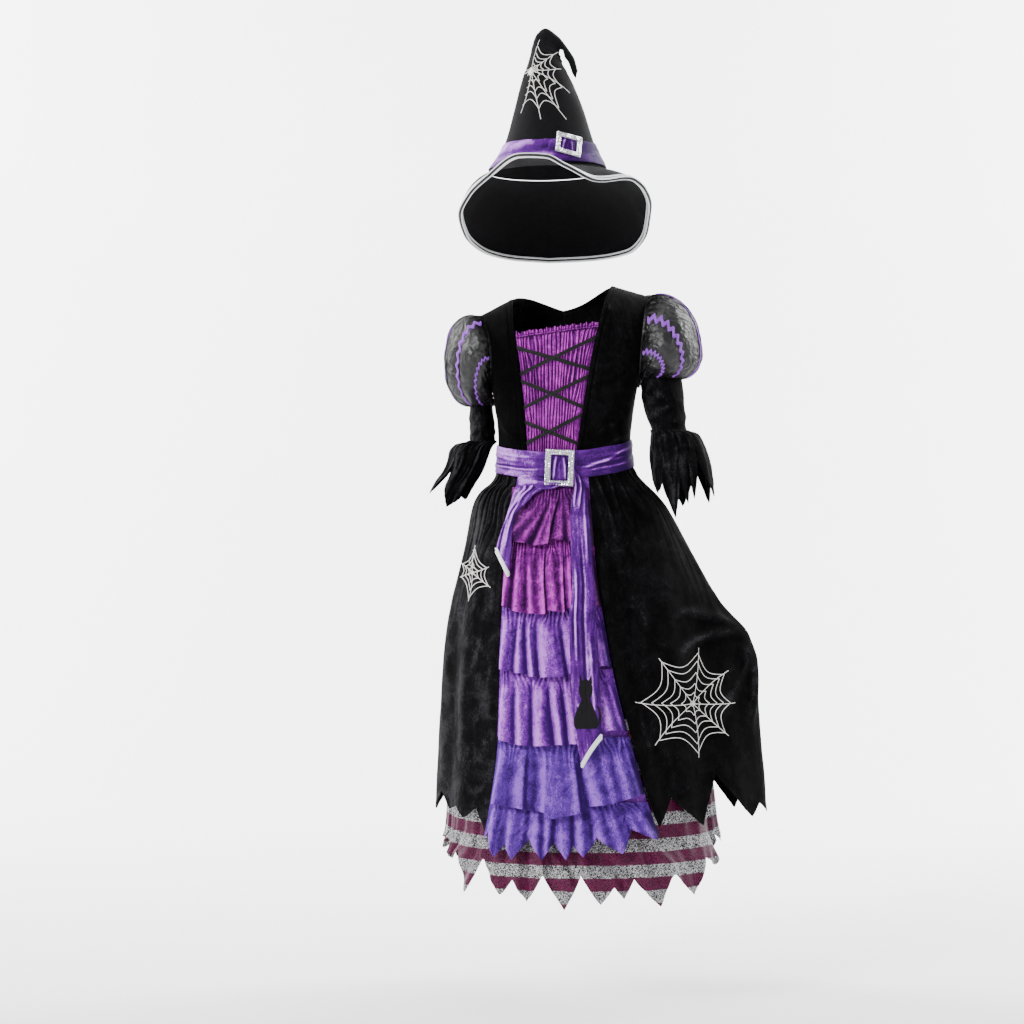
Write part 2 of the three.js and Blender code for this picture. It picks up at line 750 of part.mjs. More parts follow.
// Soft folds of the overskirt: where the ridge is, its half width in degrees, its height at the hem, and where
// it starts and reaches its full height.
const FOLDS = [
  { at: -52, wide: 6, deep: 6, from: -285, full: -560 },
  { at: -74, wide: 7, deep: 8, from: -280, full: -520 },
  { at: 44, wide: 5, deep: 4, from: -300, full: -620 },
  { at: 62, wide: 6, deep: 7, from: -500, full: -720 },
  { at: 108, wide: 8, deep: 15, from: -300, full: -640 },
  { at: 127, wide: 8, deep: 10, from: -285, full: -560 },
  { at: 146, wide: 8, deep: 17, from: -290, full: -680 },
  { at: 164, wide: 7, deep: 9, from: -280, full: -600 },
  { at: 182, wide: 8, deep: 17, from: -285, full: -660 },
  { at: 200, wide: 7, deep: 9, from: -290, full: -560 },
  { at: 218, wide: 8, deep: 16, from: -285, full: -640 },
  { at: 236, wide: 7, deep: 10, from: -280, full: -600 },
  { at: 256, wide: 8, deep: 11, from: -300, full: -660 },
];
const LAPPED_EDGE = { deep: 8, wide: 5, from: -330, full: -430 }; // the left front stands off the ruffles' ends

// The turn from one angle to another, in degrees, the short way round.
function apart(a, b) {
  return THREE.MathUtils.euclideanModulo(a - b + 180, 360) - 180;
}

// The overskirt's surface: the form, the held corner and the folds.
function skirtPoint(phi, z) {
  const p = formPoint(phi, z);
  const degrees = THREE.MathUtils.radToDeg(phi);
  const spread = along(GRIP_SPREAD, "z", "wide", z);
  p.x += form("pull", z) * bell(apart(degrees, THREE.MathUtils.radToDeg(GRIP)) / spread);
  let swell = 0;
  for (const { at, wide, deep, from, full } of FOLDS) {
    swell += deep * ease((from - z) / (from - full)) * bell(apart(degrees, at) / wide);
  }
  const edge = THREE.MathUtils.radToDeg(goreAngle(LEFT, z));
  const lap = ease((LAPPED_EDGE.from - z) / (LAPPED_EDGE.from - LAPPED_EDGE.full));
  swell += LAPPED_EDGE.deep * lap * bell(apart(degrees, edge) / LAPPED_EDGE.wide) * (degrees > edge - 1 ? 1 : 0);
  return p.add(point(Math.sin(phi), -Math.cos(phi), 0).multiplyScalar(swell));
}

// The overskirt's jagged hem: tips and notches, by the angle from the front towards the wearer's left.
const OVERSKIRT_HEM = {
  frontRight: [
    { at: -90, z: -722 },
    { at: -81, z: -686 },
    { at: -66, z: -752 },
    { at: -60, z: -744 },
    { at: -54, z: -760 },
    { at: -49, z: -742 },
    { at: -42, z: -778 },
  ],
  frontLeft: [
    { at: 32, z: -766 },
    { at: 41, z: -725 },
    { at: 51.5, z: -770 },
    { at: 61, z: -697 },
    { at: 66, z: -738 },
    { at: 71, z: -766 },
    { at: 76, z: -746 },
    { at: 82, z: -763 },
    { at: 90, z: -715 },
  ],
  back: [
    { at: 90, z: -715 },
    { at: 94, z: -698 },
    { at: 106, z: -768 },
    { at: 118, z: -704 },
    { at: 131, z: -766 },
    { at: 143, z: -700 },
    { at: 155, z: -770 },
    { at: 168, z: -706 },
    { at: 181, z: -764 },
    { at: 193, z: -699 },
    { at: 206, z: -770 },
    { at: 218, z: -705 },
    { at: 230, z: -766 },
    { at: 243, z: -700 },
    { at: 257, z: -768 },
    { at: 270, z: -722 },
  ],
};
const SKIRT_DROPS = [1, 0.85, 0.68, 0.52, 0.38, 0.24, 0.14, 0.09, 0.06, 0.03, 0];
const SKIRT_ROWS = SKIRT_DROPS.map((drop) => 1 - drop); // from the hem up, crowded at the waist
const SKIRT_GATHER = { deep: 1.6, reach: 0.16 };

function overskirt(hem, edges, cuts) {
  const first = hem[0].at;
  const last = hem[hem.length - 1].at;
  return panel({
    columns: refine(
      hem.map((tip) => tip.at),
      cuts,
    ),
    rows: SKIRT_ROWS,
    surface: skirtPoint,
    place: (at, v) => {
      const z = mix(zigzag(hem, at), WAIST - SEAM, v);
      const u = (at - first) / (last - first);
      const [from, to] = edges(z);
      return [mix(from + seamAngle(z), to - seamAngle(z), u), z];
    },
    lift: (at, v, i) => {
      const t = 1 - v;
      const edge = Math.min(1, Math.min(at - first, last - at) / 6);
      return SKIRT_GATHER.deep * (alternate(i) - 1) * edge * ease(t / 0.08) * Math.exp(-t / SKIRT_GATHER.reach);
    },
  });
}

const GORE_SINK = 1.8; // the gore lies this far inside the overskirt, whose edges lap it
const GORE_HEM = -750;

function skirtGore() {
  return panel({
    columns: steps(8),
    rows: SKIRT_ROWS,
    surface: formPoint,
    place: (u, v) => {
      const z = mix(GORE_HEM, WAIST - SEAM, v);
      const from = goreAngle(RIGHT, z) + seamAngle(z);
      const to = goreAngle(LEFT, z) - seamAngle(z);
      return [mix(from, to, u), z];
    },
    lift: () => -GORE_SINK,
  });
}

// The ruffle tiers: top and bottom, how far the hem stands off the gore, and the waves across it.
const RUFFLES = [
  { top: -284, bottom: -369, flare: 14, waves: 4.6, deep: 3.2, past: 3 },
  { top: -358, bottom: -466, flare: 15, waves: 5.3, deep: 3.4, past: 6 },
  { top: -455, bottom: -554, flare: 15, waves: 5.1, deep: 3.6, past: 5 },
  { top: -543, bottom: -650, flare: 15, waves: 5.6, deep: 3.6, past: 3 },
  { top: -639, bottom: -742, flare: 15, waves: 6.2, deep: 3.6, past: 2 },
  { top: -731, bottom: -790, flare: 12, waves: 7, deep: 3, past: 2 },
];
const RUFFLE_COLUMNS = 24;
const RUFFLE_TIPS = [
  { at: 0, z: -786 },
  { at: 0.04, z: -772 },
  { at: 0.1, z: -811 },
  { at: 0.15, z: -789 },
  { at: 0.2, z: -812 },
  { at: 0.28, z: -782 },
  { at: 0.35, z: -812 },
  { at: 0.41, z: -786 },
  { at: 0.47, z: -811 },
  { at: 0.51, z: -790 },
  { at: 0.56, z: -808 },
  { at: 0.64, z: -780 },
  { at: 0.75, z: -803 },
  { at: 0.84, z: -768 },
  { at: 0.96, z: -786 },
  { at: 1, z: -776 },
];
const RUFFLE_SEAT = 2.1; // how far a ruffle's sewn edge lies off the gore's inner face

function ruffle(index) {
  const { top, bottom, flare, waves, deep, past } = RUFFLES[index];
  const jagged = index === RUFFLES.length - 1;
  const columns = jagged
    ? refine(
        RUFFLE_TIPS.map((tip) => tip.at),
        2,
      )
    : steps(RUFFLE_COLUMNS);
  const wave = (u, i) => {
    if (jagged) return alternate(i);
    return 0.62 * Math.sin(2 * Math.PI * waves * u + index) + 0.38 * Math.sin(2 * Math.PI * waves * 1.7 * u + 2);
  };
  return panel({
    columns,
    rows: [0, 0.3, 0.65, 1],
    surface: formPoint,
    place: (u, v) => {
      const hem = jagged ? zigzag(RUFFLE_TIPS, u) : bottom + 3 * Math.sin(5 * u + index);
      const z = mix(hem, top, v);
      const from = goreAngle(RIGHT, z) - past / form("front", z);
      const to = goreAngle(LEFT, z) - 3 * seamAngle(z);
      return [mix(from, to, u), z];
    },
    lift: (u, v, i) => {
      const drop = 1 - v;
      const ends = Math.min(1, 9 * u + 0.5, 9 * (1 - u) + 0.5);
      const swing = deep * (0.25 + 0.75 * drop) * (1 + wave(u, i));
      return RUFFLE_SEAT + ends * ((flare - 2 * deep) * ease(drop * 1.1) + swing * Math.min(1, 3 * drop));
    },
  });
}

// The glitter underskirt: a flounce sewn inside the overskirt, in two halves.
const UNDERSKIRT_TOP = -640;
const UNDERSKIRT_LIFT = [
  { z: -640, lift: -4.4 },
  { z: -700, lift: -7 },
  { z: -780, lift: -8 },
  { z: -840, lift: 0 },
  { z: -890, lift: 4 },
];
const UNDERSKIRT_HEM = {
  front: [
    { at: -90, z: -806 },
    { at: -77, z: -792 },
    { at: -64, z: -823 },
    { at: -57, z: -806 },
    { at: -48.7, z: -866 },
    { at: -41.4, z: -812 },
    { at: -33, z: -864 },
    { at: -28, z: -840 },
    { at: -22.4, z: -871 },
    { at: -16.5, z: -831 },
    { at: -8.4, z: -881 },
    { at: -2.3, z: -832 },
    { at: 5, z: -874 },
    { at: 10, z: -848 },
    { at: 14, z: -866 },
    { at: 18, z: -838 },
    { at: 27.4, z: -879 },
    { at: 34, z: -833 },
    { at: 43, z: -867 },
    { at: 51, z: -815 },
    { at: 60, z: -832 },
    { at: 68, z: -776 },
    { at: 77, z: -799 },
    { at: 90, z: -780 },
  ],
  back: [
    { at: 90, z: -780 },
    { at: 99, z: -815 },
    { at: 107, z: -786 },
    { at: 116, z: -842 },
    { at: 124, z: -806 },
    { at: 133, z: -860 },
    { at: 141, z: -822 },
    { at: 150, z: -872 },
    { at: 158, z: -826 },
    { at: 167, z: -870 },
    { at: 175, z: -824 },
    { at: 184, z: -874 },
    { at: 192, z: -828 },
    { at: 201, z: -868 },
    { at: 209, z: -822 },
    { at: 218, z: -870 },
    { at: 226, z: -818 },
    { at: 236, z: -852 },
    { at: 245, z: -802 },
    { at: 255, z: -828 },
    { at: 263, z: -786 },
    { at: 270, z: -806 },
  ],
};
const UNDERSKIRT_WAVE = 3;

function underskirt(half) {
  const hem = UNDERSKIRT_HEM[half];
  const first = hem[0].at;
  const last = hem[hem.length - 1].at;
  return panel({
    columns: refine(
      hem.map((tip) => tip.at),
      2,
    ),
    rows: steps(2),
    surface: formPoint,
    thick: MESH,
    place: (at, v) => {
      const z = mix(zigzag(hem, at), UNDERSKIRT_TOP, v);
      const gap = (at === first ? 1 : 0) - (at === last ? 1 : 0);
      return [turns(at) + gap * seamAngle(z), z];
    },
    lift: (at, v) => {
      const z = mix(zigzag(hem, at), UNDERSKIRT_TOP, v);
      return along(UNDERSKIRT_LIFT, "z", "lift", z) + UNDERSKIRT_WAVE * Math.sin(turns(at * 14)) * (1 - v);
    },
  });
}

// The hat's crown, as rings between an outer point on the wearer's right and an inner one on the left. The tip
// folds over to the wearer's left, so its rings turn about the crease.
const CROWN = [
  { at: 0, outX: -113, outZ: 189, inX: 62, inZ: 192, deep: 91 },
  { at: 1, outX: -88.5, outZ: 231, inX: 45, inZ: 231, deep: 69 },
  { at: 2, outX: -74, outZ: 283.5, inX: 28.5, inZ: 283.5, deep: 52 },
  { at: 3, outX: -62, outZ: 329, inX: 10.5, inZ: 327, deep: 37 },
  { at: 4, outX: -51, outZ: 363, inX: -3, inZ: 354, deep: 25 },
  { at: 5, outX: -46.5, outZ: 382.5, inX: -6, inZ: 364, deep: 19 },
  { at: 6, outX: -40.5, outZ: 397.5, inX: -7.5, inZ: 370, deep: 15 },
  { at: 7, outX: -28.5, outZ: 405.6, inX: -5.5, inZ: 374, deep: 12.5 },
  { at: 8, outX: -11, outZ: 395, inX: -2, inZ: 373, deep: 10.5 },
  { at: 9, outX: 4, outZ: 378, inX: 0.5, inZ: 364, deep: 8 },
  { at: 10, outX: 15.5, outZ: 359, inX: 6.5, inZ: 354, deep: 6 },
  { at: 11, outX: 20.5, outZ: 342, inX: 12, inZ: 338.5, deep: 4.5 },
];
const CROWN_TIP = point(17, HAT_Y, 330);
const CROWN_SIDES = 22;
const CROWN_ROWS = [0, 0.33, 0.66, 1, 1.5, 2, 3, 4, 5, 6, 7, 8, 9, 10, 11];
const CROWN_INSIDE = [4, 3, 2, 1, 0.5, 0]; // the cloth is a wall up here, and the folded tip above is closed on itself
const CROWN_PEAK = 4.2; // where the hollow ends

function crownPoint(phi, at) {
  const value = (column) => along(CROWN, "at", column, at);
  const outer = point(value("outX"), HAT_Y, value("outZ"));
  const inner = point(value("inX"), HAT_Y, value("inZ"));
  const middle = outer.clone().add(inner).multiplyScalar(0.5);
  const half = inner.sub(outer).multiplyScalar(0.5);
  return middle.addScaledVector(half, Math.sin(phi)).add(point(0, -value("deep") * Math.cos(phi), 0));
}

function crownRing(at, inward) {
  return Array.from({ length: CROWN_SIDES }, (_, k) => {
    const phi = (2 * Math.PI * k) / CROWN_SIDES;
    const p = crownPoint(phi, at);
    const middle = crownPoint(0, at).add(crownPoint(Math.PI, at)).multiplyScalar(0.5);
    const reach = middle.clone().sub(p);
    return p.addScaledVector(reach.normalize(), inward);
  });
}

function hatCrown() {
  const insideRings = CROWN_INSIDE.map((at) => crownRing(at, FELT));
  const outsideRings = CROWN_ROWS.map((at) => crownRing(at, 0));
  const inside = crownPoint(0, CROWN_PEAK).add(crownPoint(Math.PI, CROWN_PEAK)).multiplyScalar(0.5);
  return poleToPole(inside, [...insideRings, ...outsideRings], CROWN_TIP);
}

const HAT_BAND = { low: 0.07, high: 0.94, lift: 0.4, thick: 2 };

function hatBand() {
  return panel({
    columns: steps(CROWN_SIDES).slice(0, -1),
    rows: steps(3),
    round: true,
    surface: crownPoint,
    thick: HAT_BAND.thick,
    place: (u, v) => [2 * Math.PI * u, mix(HAT_BAND.low, HAT_BAND.high, v)],
    lift: () => HAT_BAND.lift,
  });
}

// The hat's buckle stands on the band, turned down to the wearer's left.
const HAT_BUCKLE = { phi: turns(20), at: 0.66, width: 39, height: 36.5, bar: 7, thick: 3.5, tilt: -15, lift: 6 };
const HAT_LOOP = { half: 11, reach: 0.45, lift: 2.8, thick: 1.6 };

// The directions across and up the crown at a place, and the way out of it.
function crownFrame(phi, at) {
  const nudge = 1e-2;
  const across = crownPoint(phi + nudge, at).sub(crownPoint(phi - nudge, at)).normalize();
  const climb = crownPoint(phi, at + nudge).sub(crownPoint(phi, at - nudge)).normalize();
  const out = across.clone().cross(climb).normalize();
  return { across, up: out.clone().cross(across), out };
}

function hatBuckle() {
  const { across, up, out } = crownFrame(HAT_BUCKLE.phi, HAT_BUCKLE.at);
  const tilt = turns(HAT_BUCKLE.tilt);
  const right = across.clone().multiplyScalar(Math.cos(tilt)).addScaledVector(up, Math.sin(tilt));
  const top = across.clone().multiplyScalar(-Math.sin(tilt)).addScaledVector(up, Math.cos(tilt));
  const seat = crownPoint(HAT_BUCKLE.phi, HAT_BUCKLE.at).addScaledVector(out, HAT_BUCKLE.lift);
  return frame(seat, right, top, HAT_BUCKLE);
}

function hatLoop() {
  const lean = 0.09;
  return panel({
    columns: steps(4),
    rows: steps(3),
    surface: crownPoint,
    thick: HAT_LOOP.thick,
    place: (u, v) => {
      const at = HAT_BUCKLE.at + mix(-HAT_LOOP.reach, HAT_LOOP.reach, v) * 0.9;
      const side = mix(-1, 1, u) * (HAT_LOOP.half / 78);
      return [HAT_BUCKLE.phi + side + lean * mix(-1, 1, v), at];
    },
    lift: () => HAT_LOOP.lift,
  });
}

// The brim's edge round the head. It stands out level in front and droops at the sides and behind.
const BRIM_EDGE = [
  { turn: -180, x: -20, y: 150, z: 72 },
  { turn: -159, x: -78, y: 138, z: 75 },
  { turn: -140, x: -120, y: 105, z: 82 },
  { turn: -118, x: -150, y: 55, z: 104 },
  { turn: -94, x: -157, y: 0, z: 127 },
  { turn: -69, x: -143, y: -55, z: 150 },
  { turn: -42, x: -112, y: -105, z: 173 },
  { turn: -17, x: -68, y: -155, z: 195 },
  { turn: 0, x: -28, y: -168, z: 192 },
  { turn: 9, x: -2, y: -162, z: 180 },
  { turn: 31, x: 45, y: -128, z: 163 },
  { turn: 64, x: 97, y: -74, z: 173 },
  { turn: 80, x: 121, y: -35, z: 160 },
  { turn: 99, x: 131, y: 15, z: 140 },
  { turn: 115, x: 128, y: 60, z: 109 },
  { turn: 132, x: 104, y: 105, z: 82 },
  { turn: 157, x: 42, y: 140, z: 74 },
  { turn: 180, x: -20, y: 150, z: 72 },
];
const BRIM_SIDES = 32;
const BRIM_ROWS = 4;
const BRIM_BOW = 12; // how far the brim arches between the head and its edge

function brimEdge(phi) {
  const degrees = apart(THREE.MathUtils.radToDeg(phi), 0);
  const at = (column) => along(BRIM_EDGE, "turn", column, degrees);
  return point(at("x"), at("y"), at("z"));
}

function brimPoint(phi, t) {
  const start = crownPoint(phi, 0).add(point(-0.8 * Math.sin(phi), 0.8 * Math.cos(phi), -0.9));
  const end = brimEdge(phi);
  const drop = limit((start.z - end.z) / 110, 0.1, 1);
  const bow = BRIM_BOW * 4 * t * (1 - t);
  const p = start.lerp(end, t);
  return p.add(point(Math.sin(phi), -Math.cos(phi), 1.2).multiplyScalar(bow * drop));
}

function hatBrim() {
  return panel({
    columns: steps(BRIM_SIDES).slice(0, -1),
    rows: steps(BRIM_ROWS),
    round: true,
    side: -1,
    thick: FELT,
    surface: brimPoint,
    place: (u, v) => [2 * Math.PI * u, v],
    lift: () => -FELT,
  });
}

// The silver binding is a tape folded over the brim's edge, so it shows from above and from below.
const BINDING = { width: 6, thick: 1.2, gap: 1 };

function brimBinding() {
  const sections = steps(BRIM_SIDES)
    .slice(0, -1)
    .map((u) => {
      const phi = 2 * Math.PI * u;
      const edge = brimPoint(phi, 1);
      const inward = brimPoint(phi, 1 - 1 / BRIM_ROWS).sub(edge).normalize();
      const up = normalOf(brimPoint, phi, 1).negate();
      up.addScaledVector(inward, -up.dot(inward)).normalize();
      const corner = (across, above) => edge.clone().addScaledVector(inward, across).addScaledVector(up, above);
      const near = BINDING.gap;
      const far = BINDING.gap + BINDING.thick;
      return [
        corner(BINDING.width, far),
        corner(-far, far),
        corner(-far, -FELT - far),
        corner(BINDING.width, -FELT - far),
        corner(BINDING.width, -FELT - near),
        corner(-near, -FELT - near),
        corner(-near, near),
        corner(BINDING.width, near),
      ];
    });
  return sectionLoop(sections);
}

// Finishes.
const cloth = (color, roughness, metalness = 0) => new THREE.MeshStandardMaterial({ color, roughness, metalness });
const FINISH = {
  blackVelvet: cloth(0x121114, 0.9),
  blackSatin: cloth(0x17151a, 0.35),
  blackFelt: cloth(0x141216, 0.8),
  magentaVelvet: cloth(0x7d1c86, 0.6),
  purpleVelvet: cloth(0x6a3bb0, 0.6),
  violetVelvet: cloth(0x6a4cc0, 0.6),
  beltVelvet: cloth(0x5a2f9c, 0.55),
  rickrack: cloth(0x8a55c8, 0.7),
  glitterMesh: cloth(0x7d7a80, 0.5, 0.2),
  silver: cloth(0xc9c9cc, 0.35, 0.8),
  ribbon: cloth(0x201f22, 0.7),
};

const costume = new THREE.Group();

function add(nodeName, geometry, material) {
  const mesh = new THREE.Mesh(geometry, material);
  mesh.name = nodeName;
  costume.add(mesh);
}

add("hat_crown", hatCrown(), FINISH.blackFelt);
add("hat_brim", hatBrim(), FINISH.blackFelt);
add("hat_band", hatBand(), FINISH.beltVelvet);
add("hat_band_loop", hatLoop(), FINISH.beltVelvet);
add("hat_buckle", hatBuckle(), FINISH.silver);
add("brim_binding", brimBinding(), FINISH.silver);

add("bodice_back", bodiceBack(), FINISH.blackVelvet);
add("bodice_insert", bodiceInsert(), FINISH.magentaVelvet);
add("insert_frill", insertFrill(), FINISH.magentaVelvet);
LACING.forEach((stretch, i) => add(`lacing_${i + 1}`, lace(stretch), FINISH.ribbon));

for (const side of [LEFT, RIGHT]) {
  add(`bodice_front_${name(side)}`, bodiceFront(side), FINISH.blackVelvet);
  add(`puff_${name(side)}`, puff(side), FINISH.blackSatin);
  add(`sleeve_${name(side)}`, sleeve(side), FINISH.blackVelvet);
  add(`cuff_${name(side)}`, cuff(side), FINISH.blackVelvet);
  RICKRACK[name(side)].forEach((degrees, i) => {
    add(`rickrack_${name(side)}_${i + 1}`, rickrack(side, degrees), FINISH.rickrack);
  });
}

add("belt_band", beltBand(), FINISH.beltVelvet);
add("belt_loop", beltLoop(), FINISH.beltVelvet);
add("belt_buckle", beltBuckle(), FINISH.silver);
for (const which of ["long", "short"]) {
  add(`belt_tail_${which}`, beltTail(which), FINISH.beltVelvet);
  add(`tail_braid_${which}`, tailBraid(which), FINISH.silver);
}

const RUFFLE_FINISH = [
  FINISH.magentaVelvet,
  FINISH.magentaVelvet,
  FINISH.purpleVelvet,
  FINISH.purpleVelvet,
  FINISH.violetVelvet,
  FINISH.violetVelvet,
];
add("skirt_gore", skirtGore(), FINISH.purpleVelvet);
RUFFLES.forEach((_, i) => add(`ruffle_${i + 1}`, ruffle(i), RUFFLE_FINISH[i]));

add(
  "overskirt_front_right",
  overskirt(OVERSKIRT_HEM.frontRight, (z) => [turns(-90), goreAngle(RIGHT, z)], 2),
  FINISH.blackVelvet,
);
add(
  "overskirt_front_left",
  overskirt(OVERSKIRT_HEM.frontLeft, (z) => [goreAngle(LEFT, z), turns(90)], 2),
  FINISH.blackVelvet,
);
add("overskirt_back", overskirt(OVERSKIRT_HEM.back, () => [turns(90), turns(270)], 2), FINISH.blackVelvet);
add("underskirt_front", underskirt("front"), FINISH.glitterMesh);
add("underskirt_back", underskirt("back"), FINISH.glitterMesh);

export default costume;
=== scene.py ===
"""The look of a child's witch costume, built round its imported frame.

A velvet dress with puffed sleeves, a laced front and a tiered front gore, a ragged overskirt over a striped
glitter underskirt, a belt with a square buckle, and a pointed hat. It keeps the shape it has when worn.
Lengths are in millimetres in the tables and surfaces, and in metres in the meshes. The front faces
-Y, and the wearer's left is +X.
"""
import logging
import math
from dataclasses import dataclass, field
from enum import Enum
from typing import Callable, Sequence

import bpy
import numpy as np
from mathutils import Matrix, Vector


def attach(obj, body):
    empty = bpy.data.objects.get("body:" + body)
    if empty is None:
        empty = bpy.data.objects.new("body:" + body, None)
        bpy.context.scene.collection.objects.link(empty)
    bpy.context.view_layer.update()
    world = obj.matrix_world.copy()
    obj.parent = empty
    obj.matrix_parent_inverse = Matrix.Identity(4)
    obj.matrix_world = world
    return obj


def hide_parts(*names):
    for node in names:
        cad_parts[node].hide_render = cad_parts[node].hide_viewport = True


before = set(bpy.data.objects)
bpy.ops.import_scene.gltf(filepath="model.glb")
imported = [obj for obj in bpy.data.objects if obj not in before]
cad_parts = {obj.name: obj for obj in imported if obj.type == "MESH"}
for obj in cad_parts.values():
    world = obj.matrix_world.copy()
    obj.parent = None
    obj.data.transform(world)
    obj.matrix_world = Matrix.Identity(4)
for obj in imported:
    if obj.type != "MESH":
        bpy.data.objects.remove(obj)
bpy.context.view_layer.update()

LOG = logging.getLogger("witch_costume")

Array = np.ndarray
Surface = Callable[[Array, Array], Array]
Place = Callable[[Array, Array], tuple[Array, Array]]
Field = Callable[[Array, Array], Array]
Colour = tuple[float, float, float]

MM = 0.001
BODY = "root"
LEFT = 1
RIGHT = -1
VELVET = 1.5  # wall of the velvet and satin pieces
MESH = 1.2  # wall of the glitter net
FELT = 2.0  # wall of the hat
SEAM = 0.4  # gap between pieces that are sewn edge to edge
PAINTED_LIGHT_FROM = (-0.8, -0.1, 0.5)  # the direction the painted light comes from: a fold's flank that turns this way is painted lighter
WAIST = -245.0
ARMPIT = -130.0


class Held(str, Enum):
    """How a sheet of cloth is held."""

    HUNG = "hung"
    GATHERED = "gathered"
    FOLDED = "folded"
    STRETCHED = "stretched"


# Tables and small functions of whole arrays.


class Table:
    """Rows of measures, read between the rows by a monotone cubic over their first column."""

    def __init__(self, names: str, rows: Sequence[Sequence[float]]) -> None:
        """Sorts the rows by their first column and works out each column's slopes at the rows.

        Args:
            names: the names of the columns after the first, parted by spaces.
            rows: the table's rows.
        """
        data = np.array(sorted(rows), float)
        self.key = data[:, 0]
        self.span = np.diff(self.key)
        self.names = names.split()
        self.values = data[:, 1:].T
        slope = np.diff(self.values, axis=1) / self.span
        before, after = slope[:, :-1], slope[:, 1:]
        total = np.where(before + after == 0, 1.0, before + after)
        middle = np.where(before * after <= 0, 0.0, 2 * before * after / total)
        self.slopes = np.hstack([slope[:, :1], middle, slope[:, -1:]])

    def __call__(self, name: str, at: Array | float) -> Array:
        """The column name at each place in at, held level past the table's ends.

        Args:
            name: the column to read.
            at: places along the first column.

        Returns:
            The column's values there.
        """
        k = self.names.index(name)
        x = np.clip(np.asarray(at, float), self.key[0], self.key[-1])
        i = np.clip(np.searchsorted(self.key, x) - 1, 0, len(self.span) - 1)
        span = self.span[i]
        t = (x - self.key[i]) / span
        low, high = self.values[k][i], self.values[k][i + 1]
        first, last = self.slopes[k][i] * span, self.slopes[k][i + 1] * span
        return (
            (2 * t**3 - 3 * t**2 + 1) * low
            + (t**3 - 2 * t**2 + t) * first
            + (3 * t**2 - 2 * t**3) * high
            + (t**3 - t**2) * last
        )


class Crumple:
    """Smooth noise from -1 to 1 on a lattice of seeded values, joined by a fifth-degree ease in each cell."""

    def __init__(self, seed: int, across: int = 64, along: int = 64) -> None:
        """Draws the lattice. It repeats after `across` cells one way and `along` the other."""
        self.lattice = np.random.default_rng(seed).uniform(-1, 1, (across, along))

    def __call__(self, x: Array, y: Array) -> Array:
        """The noise at cells (x, y)."""
        i, j = np.floor(x).astype(int), np.floor(y).astype(int)
        s, t = (f * f * f * (f * (f * 6 - 15) + 10) for f in (x - i, y - j))
        m, n = self.lattice.shape
        a, b = i % m, (i + 1) % m
        c, d = j % n, (j + 1) % n
        low = mix(self.lattice[a, c], self.lattice[b, c], s)
        high = mix(self.lattice[a, d], self.lattice[b, d], s)
        return mix(low, high, t)

    def layered(self, x: Array, y: Array, layers: int = 3) -> Array:
        """A sum of layers, each twice as fine and half as high as the one before."""
        return sum(self(x * 2**k + 17 * k, y * 2**k + 9 * k) / 2**k for k in range(layers))

    def creased(self, x: Array, y: Array, sharp: float = 0.12) -> Array:
        """Ridges along the noise's zero lines: one minus its size, rounded over the width sharp."""
        n = self(x, y)
        return 1 - np.sqrt(n * n + sharp * sharp)


@dataclass(frozen=True)
class Crease:
    """A soft ridge, or a trough where it is negative, from one place on a cloth to another.

    Its height falls off across it as a bell over `wide`, and eases to nothing at both ends. `bow` is how far
    its middle stands off the straight line, and `steep` makes the side it bows to fall off faster.
    """

    x0: float
    y0: float
    x1: float
    y1: float
    wide: float
    high: float
    bow: float = 0.0
    steep: float = 1.0

    def relief(self, x: Array, y: Array) -> Array:
        """The crease's height at (x, y), in millimetres."""
        dx, dy = self.x1 - self.x0, self.y1 - self.y0
        length = math.hypot(dx, dy)
        t = ((x - self.x0) * dx + (y - self.y0) * dy) / length**2
        off = ((y - self.y0) * dx - (x - self.x0) * dy) / length - self.bow * 4 * t * (1 - t)
        reach = np.where(off > 0, self.wide / self.steep, self.wide)
        return self.high * np.exp(-((off / reach) ** 2)) * ease(t / 0.3) * ease((1 - t) / 0.3)


def relief(creases: Sequence[Crease], x: Array, y: Array) -> Array:
    """The sum of the creases' heights at (x, y)."""
    return sum((crease.relief(x, y) for crease in creases), np.zeros(np.broadcast(x, y).shape))


def mix(a: Array | float, b: Array | float, t: Array | float) -> Array:
    """From a to b as t goes from 0 to 1, in a straight line."""
    return a + (b - a) * t


def ease(t: Array | float) -> Array:
    """From 0 to 1 as t does, level at both ends."""
    c = np.clip(t, 0, 1)
    return c * c * (3 - 2 * c)


def bell(t: Array | float) -> Array:
    """1 at t = 0, falling away on both sides."""
    return np.exp(-np.square(t))


def apart(a: Array | float, b: Array | float) -> Array:
    """The turn from b to a in degrees, the short way round."""
    return np.mod(np.asarray(a) - b + 180, 360) - 180


def xyz(x: Array, y: Array, z: Array) -> Array:
    """Points from three arrays of coordinates."""
    return np.stack(np.broadcast_arrays(x, y, z), -1).astype(float)


def unit(v: Array) -> Array:
    """Each vector made one long."""
    return v / (np.linalg.norm(v, axis=-1, keepdims=True) + 1e-12)


def steps(n: int) -> Array:
    """n + 1 even places from 0 to 1."""
    return np.linspace(0, 1, n + 1)


def petals(hem: Array, at: Array, belly: float = 0.82) -> Array:
    """A jagged hem. Between a notch and a tip the edge runs as the share of the way there to the power belly.

    Args:
        hem: rows of a place and a height, turn by turn notch and tip.
        at: the places that are asked for.
        belly: under 1 the points are full, at 1 their edges are straight.

    Returns:
        The hem's height at each place.
    """
    i = np.clip(np.searchsorted(hem[:, 0], at) - 1, 0, len(hem) - 2)
    t = np.clip((at - hem[i, 0]) / (hem[i + 1, 0] - hem[i, 0]), 0, 1)
    falling = hem[i + 1, 1] < hem[i, 1]
    share = np.where(falling, t**belly, 1 - (1 - t) ** belly)
    return mix(hem[i, 1], hem[i + 1, 1], share)


